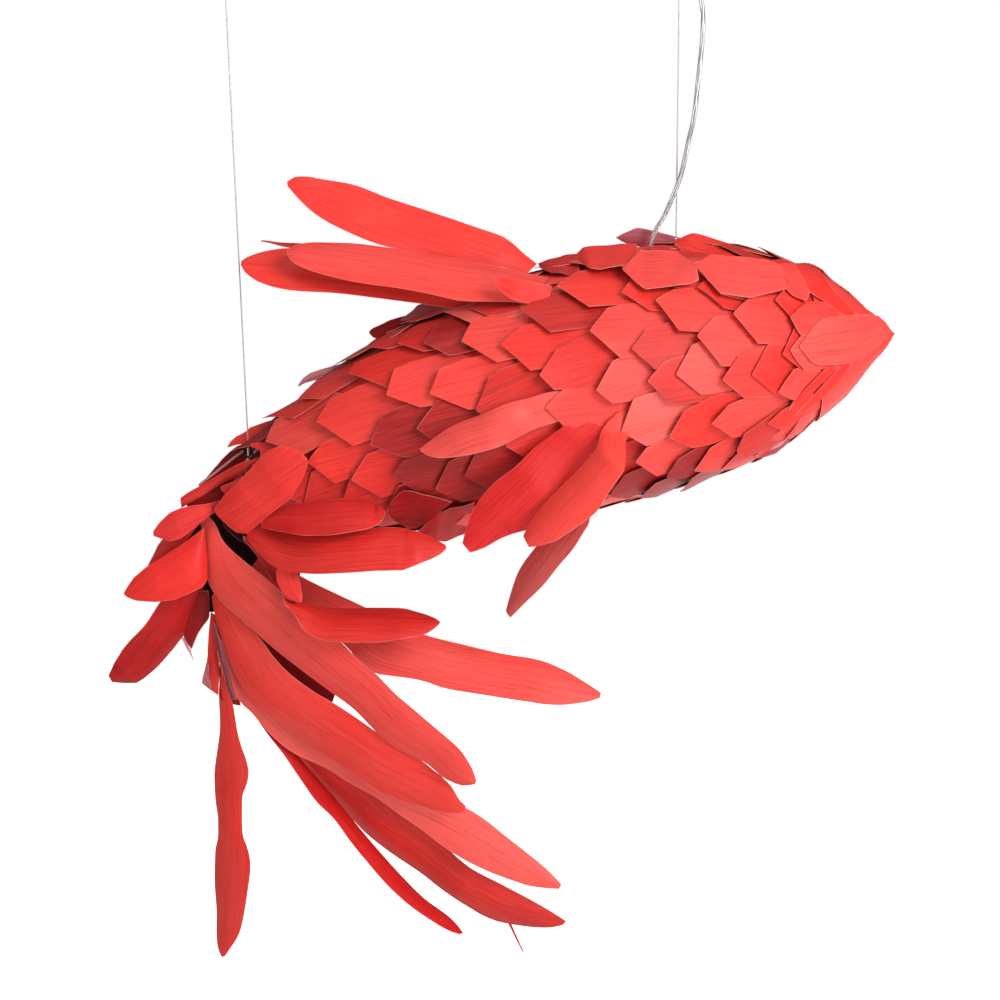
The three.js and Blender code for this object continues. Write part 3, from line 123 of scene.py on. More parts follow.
    "g2": {"g":[[[136.8,-40.9,-428.7],[136.7,-41.4,-428.8],[136.6,-41.4,-428.9],[136.5,-41.4,-429.0],[136.3,-42.0,-429.1],[136.3,-42.0,-429.2],[136.2,-42.0,-429.3]],[[148.1,-23.6,-428.1],[146.2,-30.4,-429.3],[144.5,-35.6,-430.5],[142.8,-40.3,-431.7],[141.3,-44.5,-432.9],[139.8,-48.7,-434.1],[138.3,-52.4,-435.3]],[[158.9,-10.4,-427.4],[157.6,-8.2,-429.8],[152.4,-29.2,-432.1],[148.8,-41.2,-434.3],[145.9,-49.1,-436.7],[143.5,-54.0,-439.0],[140.9,-60.3,-441.3]],[[166.5,-7.9,-431.3],[162.3,-19.4,-434.0],[157.4,-35.4,-436.6],[153.5,-45.9,-439.3],[149.8,-54.9,-441.9],[146.7,-60.8,-444.6],[143.6,-66.7,-447.3]],[[172.6,-10.7,-436.8],[166.6,-29.8,-439.5],[161.4,-43.8,-442.3],[157.2,-52.8,-445.1],[153.3,-60.3,-447.9],[149.6,-66.2,-450.7],[145.9,-72.2,-453.6]],[[174.3,-28.9,-443.6],[168.9,-42.9,-446.3],[164.4,-51.3,-449.0],[159.9,-60.3,-451.7],[156.2,-65.2,-454.4],[152.2,-71.1,-457.1],[148.3,-77.1,-459.8]],[[176.9,-41.4,-450.5],[172.6,-49.8,-452.7],[168.6,-56.7,-455.0],[164.7,-62.6,-457.2],[161.1,-67.4,-459.5],[157.5,-72.3,-461.7],[153.9,-77.2,-464.0]],[[180.9,-46.9,-457.3],[177.2,-53.2,-459.0],[173.6,-59.0,-460.7],[170.2,-63.3,-462.4],[166.8,-68.1,-464.1],[163.6,-71.9,-465.8],[160.5,-75.1,-467.5]],[[186.3,-49.8,-463.3],[183.1,-54.0,-464.6],[179.6,-59.3,-465.9],[176.4,-63.0,-467.2],[173.1,-67.2,-468.5],[170.0,-70.4,-469.9],[167.0,-73.6,-471.2]],[[192.3,-50.1,-469.4],[189.1,-53.8,-470.4],[185.6,-59.0,-471.4],[182.2,-63.7,-472.4],[179.2,-66.4,-473.4],[176.1,-69.5,-474.4],[173.1,-72.2,-475.5]],[[198.5,-49.0,-475.6],[195.2,-53.1,-476.3],[191.7,-57.8,-476.9],[188.6,-60.9,-477.6],[185.3,-65.0,-478.3],[182.2,-68.2,-479.0],[179.1,-70.8,-479.7]],[[204.8,-47.3,-481.8],[201.5,-50.9,-482.2],[198.0,-56.0,-482.5],[194.8,-59.1,-483.0],[191.3,-63.7,-483.3],[188.3,-66.3,-483.8],[185.2,-68.9,-484.2]],[[211.2,-45.2,-488.0],[207.6,-50.2,-488.1],[204.4,-53.3,-488.2],[201.2,-56.3,-488.3],[197.7,-60.9,-488.4],[194.6,-63.4,-488.6],[191.4,-66.5,-488.7]]],"tone":-0.15},
    "g3": {"g":[[[161.9,-11.6,-428.4],[161.9,-11.6,-428.6],[161.9,-11.6,-428.7],[161.9,-11.6,-428.8],[161.9,-11.6,-428.9],[162.0,-11.2,-429.0],[162.0,-11.2,-429.2]],[[169.4,-9.5,-432.0],[169.4,-8.1,-432.2],[169.4,-6.6,-432.4],[169.4,-5.1,-432.6],[168.0,-11.7,-432.8],[168.1,-9.7,-433.0],[168.1,-8.2,-433.2]],[[176.7,-5.6,-436.2],[175.3,-10.7,-436.4],[175.3,-8.2,-436.6],[175.4,-5.2,-436.9],[174.0,-10.3,-437.0],[174.0,-7.8,-437.3],[174.0,-5.3,-437.5]],[[181.3,-9.5,-442.1],[181.3,-5.4,-442.4],[180.0,-9.0,-442.5],[180.0,-5.0,-442.7],[177.4,-16.1,-442.7],[176.0,-20.2,-442.8],[174.7,-23.7,-442.9]],[[187.0,-9.2,-447.6],[185.5,-12.3,-447.8],[182.9,-20.9,-447.8],[181.3,-24.4,-448.0],[179.3,-30.0,-448.1],[177.9,-32.5,-448.2],[176.5,-35.1,-448.4]],[[194.0,-6.8,-452.1],[191.3,-13.9,-452.4],[188.3,-22.5,-452.6],[185.7,-29.1,-452.9],[183.3,-34.2,-453.2],[181.1,-38.8,-453.5],[179.2,-41.4,-453.9]],[[200.3,-9.0,-456.5],[198.9,-6.5,-457.2],[194.1,-22.7,-457.3],[190.6,-31.8,-457.7],[187.9,-37.0,-458.1],[185.3,-41.6,-458.6],[182.8,-45.7,-459.0]],[[206.8,-9.1,-461.1],[205.4,-5.7,-461.8],[200.3,-21.3,-462.0],[196.4,-31.0,-462.4],[193.4,-36.1,-462.9],[190.0,-43.2,-463.4],[187.3,-46.9,-463.9]],[[213.7,-3.8,-466.7],[209.1,-16.0,-466.9],[205.3,-23.6,-467.3],[201.5,-32.2,-467.6],[198.3,-37.3,-468.0],[194.8,-43.9,-468.4],[191.9,-47.5,-468.8]],[[219.1,-6.1,-472.1],[214.1,-19.2,-472.2],[210.5,-25.3,-472.5],[206.6,-32.9,-472.7],[203.3,-37.5,-473.1],[199.8,-43.6,-473.4],[196.6,-47.7,-473.7]],[[223.8,-11.9,-477.4],[219.3,-21.5,-477.5],[215.7,-26.6,-477.7],[211.8,-33.2,-477.9],[208.5,-37.2,-478.2],[204.8,-43.3,-478.4],[201.5,-46.9,-478.6]],[[228.1,-18.7,-482.7],[224.6,-22.7,-482.8],[221.1,-27.3,-482.9],[217.3,-32.9,-483.0],[213.8,-36.9,-483.1],[210.5,-40.5,-483.3],[206.8,-45.5,-483.3]],[[233.8,-19.0,-488.2],[230.0,-24.0,-488.1],[226.5,-27.5,-488.1],[223.1,-30.6,-488.1],[219.4,-35.6,-488.1],[215.9,-39.1,-488.1],[212.5,-42.2,-488.1]]],"tone":0.1},
    "s1": {"g":[[[107.9,-123.7,-572.7],[107.9,-123.8,-572.8],[107.9,-123.8,-573.0],[107.9,-123.8,-573.1],[107.9,-123.8,-573.2],[108.0,-123.3,-573.3],[108.0,-123.3,-573.5]],[[110.6,-123.6,-568.3],[111.2,-122.3,-569.7],[111.6,-122.0,-571.1],[112.1,-121.2,-572.5],[112.5,-120.9,-573.8],[112.9,-120.6,-575.2],[113.5,-119.2,-576.6]],[[113.4,-122.5,-563.9],[114.3,-121.9,-566.5],[115.3,-120.2,-569.1],[116.2,-119.1,-571.8],[117.1,-118.4,-574.4],[118.1,-116.8,-577.0],[119.0,-115.6,-579.7]],[[116.2,-121.9,-559.4],[117.6,-120.4,-563.2],[119.0,-118.9,-567.0],[120.4,-116.9,-570.9],[121.9,-114.9,-574.7],[123.3,-113.5,-578.6],[124.9,-111.0,-582.5]],[[119.5,-120.3,-555.4],[121.1,-118.9,-559.9],[122.7,-117.5,-564.4],[124.5,-115.1,-569.0],[126.2,-112.8,-573.7],[127.9,-110.9,-578.3],[129.8,-108.0,-583.0]],[[122.8,-119.7,-551.2],[124.4,-117.8,-555.7],[125.9,-116.4,-560.1],[127.5,-115.0,-564.6],[129.2,-112.6,-569.1],[130.9,-110.2,-573.6],[132.7,-107.3,-578.2]],[[126.1,-118.1,-547.2],[127.7,-116.2,-551.5],[129.1,-115.3,-555.8],[130.7,-113.4,-560.2],[132.3,-111.5,-564.6],[133.8,-110.1,-569.0],[135.6,-107.2,-573.4]],[[130.5,-115.4,-545.8],[131.8,-114.4,-549.6],[133.1,-113.5,-553.4],[134.5,-111.5,-557.3],[135.8,-110.5,-561.1],[137.3,-108.5,-565.0],[138.8,-106.0,-568.9]],[[136.2,-111.7,-547.9],[137.2,-111.1,-550.7],[138.4,-109.9,-553.6],[139.6,-108.3,-556.5],[140.7,-107.2,-559.4],[142.0,-105.6,-562.3],[143.1,-104.5,-565.2]],[[141.8,-107.9,-549.7],[142.7,-107.2,-551.7],[143.7,-105.9,-553.7],[144.6,-105.7,-555.6],[145.7,-103.9,-557.6],[146.6,-103.2,-559.6],[147.6,-102.0,-561.6]],[[147.7,-104.3,-549.2],[148.3,-104.0,-550.6],[149.1,-102.7,-552.1],[149.8,-102.4,-553.5],[150.5,-101.6,-555.0],[151.4,-100.3,-556.5],[152.0,-100.0,-557.9]],[[153.6,-100.2,-548.7],[154.0,-100.3,-549.6],[154.6,-98.9,-550.6],[155.1,-98.5,-551.5],[155.5,-98.7,-552.4],[156.1,-97.3,-553.4],[156.6,-96.9,-554.3]],[[159.7,-95.6,-548.3],[159.9,-95.6,-548.7],[160.1,-95.7,-549.1],[160.3,-95.2,-549.5],[160.5,-95.3,-549.9],[160.7,-95.3,-550.2],[161.0,-94.9,-550.7]]],"tone":0.25},
    "s2": {"g":[[[122.5,-105.8,-596.0],[122.5,-105.8,-596.1],[122.6,-105.3,-596.2],[122.6,-105.4,-596.3],[122.6,-105.4,-596.5],[122.6,-105.4,-596.6],[122.6,-105.4,-596.7]],[[126.4,-106.1,-590.8],[126.6,-105.6,-591.1],[126.8,-105.7,-591.4],[127.1,-104.7,-591.7],[127.3,-104.2,-592.0],[127.5,-104.3,-592.2],[127.7,-103.8,-592.5]],[[130.4,-105.9,-585.7],[130.8,-104.9,-586.2],[131.2,-104.5,-586.6],[131.5,-104.5,-587.0],[131.9,-104.1,-587.4],[132.3,-103.7,-587.9],[132.8,-102.7,-588.3]],[[134.5,-104.7,-580.8],[135.1,-104.3,-581.4],[135.7,-103.8,-582.0],[136.4,-102.9,-582.7],[137.0,-102.5,-583.3],[137.6,-102.1,-584.0],[138.4,-100.7,-584.7]],[[138.6,-104.0,-575.8],[139.5,-103.6,-576.6],[140.4,-102.2,-577.5],[141.4,-100.8,-578.4],[142.2,-100.4,-579.3],[143.2,-99.0,-580.2],[144.1,-98.2,-581.1]],[[142.7,-103.3,-570.8],[143.9,-101.9,-571.8],[145.1,-100.5,-572.9],[146.2,-99.7,-574.0],[147.3,-98.3,-575.1],[148.6,-96.5,-576.2],[149.8,-95.1,-577.3]],[[147.1,-101.1,-565.9],[148.4,-99.7,-567.1],[149.5,-99.4,-568.2],[150.9,-97.5,-569.4],[152.2,-96.2,-570.6],[153.6,-94.3,-571.8],[154.9,-93.0,-573.0]],[[151.9,-98.9,-561.3],[153.2,-97.6,-562.5],[154.7,-95.7,-563.8],[155.8,-95.4,-565.0],[157.2,-94.0,-566.2],[158.6,-92.2,-567.5],[160.0,-90.9,-568.7]],[[156.7,-96.3,-556.8],[158.1,-94.9,-558.0],[159.5,-93.6,-559.3],[160.8,-93.2,-560.5],[162.3,-91.4,-561.8],[163.7,-90.1,-563.1],[165.1,-88.7,-564.4]],[[161.5,-94.1,-552.2],[162.9,-92.8,-553.5],[164.3,-91.9,-554.8],[165.8,-90.6,-556.1],[167.3,-89.3,-557.4],[168.8,-87.9,-558.7],[170.4,-86.1,-560.1]],[[166.6,-91.0,-548.0],[167.9,-90.7,-549.2],[169.4,-89.3,-550.5],[171.0,-88.0,-551.8],[172.5,-86.7,-553.1],[174.0,-85.3,-554.4],[175.6,-83.5,-555.8]],[[173.6,-86.7,-546.3],[174.7,-86.3,-547.1],[175.9,-85.4,-547.9],[177.1,-84.0,-548.8],[178.4,-82.6,-549.7],[179.5,-82.3,-550.6],[180.8,-80.9,-551.5]],[[180.6,-81.9,-544.6],[181.4,-82.0,-544.9],[182.5,-80.5,-545.4],[183.2,-80.6,-545.8],[184.2,-79.6,-546.3],[185.3,-78.2,-546.7],[186.1,-78.2,-547.1]]],"tone":0.0},
    "s3": {"g":[[[130.6,-95.1,-602.4],[130.6,-95.1,-602.5],[130.6,-95.1,-602.6],[130.7,-94.6,-602.8],[130.7,-94.7,-602.9],[130.7,-94.7,-603.0],[130.7,-94.7,-603.1]],[[135.8,-94.8,-597.1],[136.1,-94.4,-597.6],[136.5,-94.0,-598.1],[137.1,-92.5,-598.7],[137.4,-92.1,-599.2],[137.8,-91.7,-599.7],[138.2,-91.2,-600.2]],[[141.0,-94.1,-591.8],[141.7,-93.7,-592.6],[142.6,-91.8,-593.6],[143.4,-91.0,-594.5],[144.3,-89.1,-595.5],[145.0,-88.7,-596.3],[145.9,-86.8,-597.3]],[[146.2,-93.4,-586.4],[147.3,-91.5,-587.6],[148.3,-90.6,-588.7],[149.4,-88.8,-589.8],[150.7,-86.4,-591.0],[151.8,-84.6,-592.2],[152.8,-83.7,-593.3]],[[151.6,-91.1,-581.2],[152.7,-90.3,-582.3],[154.0,-88.4,-583.6],[155.4,-86.1,-584.9],[156.7,-84.2,-586.1],[158.1,-81.9,-587.4],[159.4,-80.0,-588.7]],[[156.9,-89.3,-575.9],[158.3,-87.5,-577.2],[159.8,-85.7,-578.5],[161.2,-83.9,-579.9],[162.8,-81.5,-581.3],[164.2,-79.7,-582.6],[165.8,-77.4,-584.0]],[[162.3,-87.1,-570.6],[163.9,-85.3,-572.0],[165.5,-83.4,-573.4],[167.1,-81.1,-574.9],[168.7,-79.3,-576.3],[170.4,-77.0,-577.7],[172.1,-74.7,-579.2]],[[167.7,-85.3,-565.3],[169.3,-83.5,-566.7],[170.9,-81.7,-568.0],[172.5,-79.8,-569.4],[174.1,-78.0,-570.7],[175.7,-76.2,-572.1],[177.4,-73.9,-573.5]],[[173.0,-83.6,-560.0],[174.6,-81.7,-561.3],[176.2,-80.4,-562.6],[177.8,-78.6,-563.9],[179.4,-76.7,-565.2],[181.1,-74.9,-566.5],[182.8,-72.6,-567.9]],[[178.4,-81.3,-554.7],[180.0,-80.0,-555.9],[181.6,-78.1,-557.2],[183.2,-76.8,-558.4],[184.9,-75.0,-559.7],[186.8,-71.6,-561.1],[188.5,-69.8,-562.4]],[[184.0,-78.1,-549.4],[185.3,-77.7,-550.5],[187.2,-74.8,-551.7],[188.5,-74.5,-552.8],[190.2,-72.6,-554.0],[192.0,-69.8,-555.2],[193.6,-67.9,-556.4]],[[189.7,-75.3,-544.3],[191.3,-73.4,-545.4],[192.7,-72.1,-546.4],[194.2,-70.7,-547.4],[195.8,-68.8,-548.4],[197.3,-67.5,-549.5],[198.7,-66.6,-550.4]],[[195.8,-71.6,-539.4],[197.1,-70.2,-540.2],[198.5,-68.8,-541.1],[199.9,-67.4,-542.0],[201.4,-65.5,-542.9],[202.9,-63.6,-543.8],[204.3,-62.2,-544.7]]],"tone":-0.2},
    "s4": {"g":[[[98.9,-107.9,-611.1],[99.0,-107.4,-611.2],[99.0,-107.5,-611.4],[99.0,-107.5,-611.5],[99.0,-107.5,-611.6],[99.0,-107.0,-611.7],[99.0,-107.0,-611.9]],[[102.6,-107.4,-607.4],[103.0,-106.6,-608.6],[103.4,-105.7,-609.7],[103.8,-104.9,-610.9],[104.2,-104.0,-612.1],[104.6,-103.2,-613.3],[105.1,-101.4,-614.6]],[[106.2,-107.9,-603.6],[107.0,-106.2,-605.8],[107.8,-104.5,-608.1],[108.6,-102.3,-610.4],[109.4,-100.6,-612.6],[110.4,-97.9,-615.0],[111.2,-95.7,-617.3]],[[109.8,-107.9,-599.9],[111.0,-105.8,-603.0],[112.2,-102.7,-606.3],[113.4,-100.1,-609.6],[114.7,-96.6,-612.9],[116.1,-93.0,-616.3],[117.4,-89.4,-619.7]],[[113.7,-107.9,-596.4],[115.1,-104.8,-599.8],[116.5,-102.3,-603.2],[117.9,-99.2,-606.6],[119.5,-95.2,-610.1],[121.0,-92.1,-613.6],[122.6,-88.1,-617.2]],[[118.3,-107.0,-593.8],[119.8,-104.0,-597.2],[121.3,-100.9,-600.6],[122.9,-97.4,-604.1],[124.4,-94.3,-607.6],[126.1,-90.3,-611.1],[127.8,-86.2,-614.7]],[[123.1,-105.1,-591.2],[124.7,-102.1,-594.6],[126.2,-99.5,-598.0],[127.8,-96.5,-601.5],[129.5,-92.4,-605.1],[131.3,-88.4,-608.6],[133.1,-83.9,-612.3]],[[127.8,-103.8,-588.6],[129.4,-100.7,-592.0],[131.1,-97.7,-595.5],[132.8,-94.1,-598.9],[134.4,-91.6,-602.4],[136.2,-87.5,-605.9],[138.1,-83.0,-609.5]],[[132.5,-101.9,-586.0],[133.9,-99.8,-589.1],[135.5,-96.7,-592.4],[137.1,-93.6,-595.7],[138.8,-90.1,-599.0],[140.5,-86.0,-602.3],[142.2,-82.9,-605.6]],[[137.2,-100.0,-583.3],[138.6,-97.4,-586.3],[139.9,-95.8,-589.3],[141.5,-92.7,-592.4],[143.1,-89.1,-595.5],[144.7,-85.5,-598.7],[146.4,-81.4,-601.9]],[[141.9,-97.6,-580.6],[143.2,-96.0,-583.4],[144.6,-93.3,-586.3],[146.1,-90.2,-589.2],[147.4,-88.1,-592.0],[149.0,-84.5,-595.0],[150.6,-80.8,-598.0]],[[146.6,-95.7,-577.9],[147.9,-93.5,-580.5],[149.3,-90.9,-583.2],[150.5,-88.7,-585.9],[152.0,-85.6,-588.7],[153.4,-82.5,-591.5],[154.9,-78.8,-594.3]],[[151.4,-93.3,-575.2],[152.7,-90.6,-577.7],[153.9,-88.9,-580.2],[155.2,-86.3,-582.7],[156.5,-83.6,-585.3],[157.8,-80.4,-587.9],[159.1,-78.3,-590.5]]],"tone":-0.1},
}
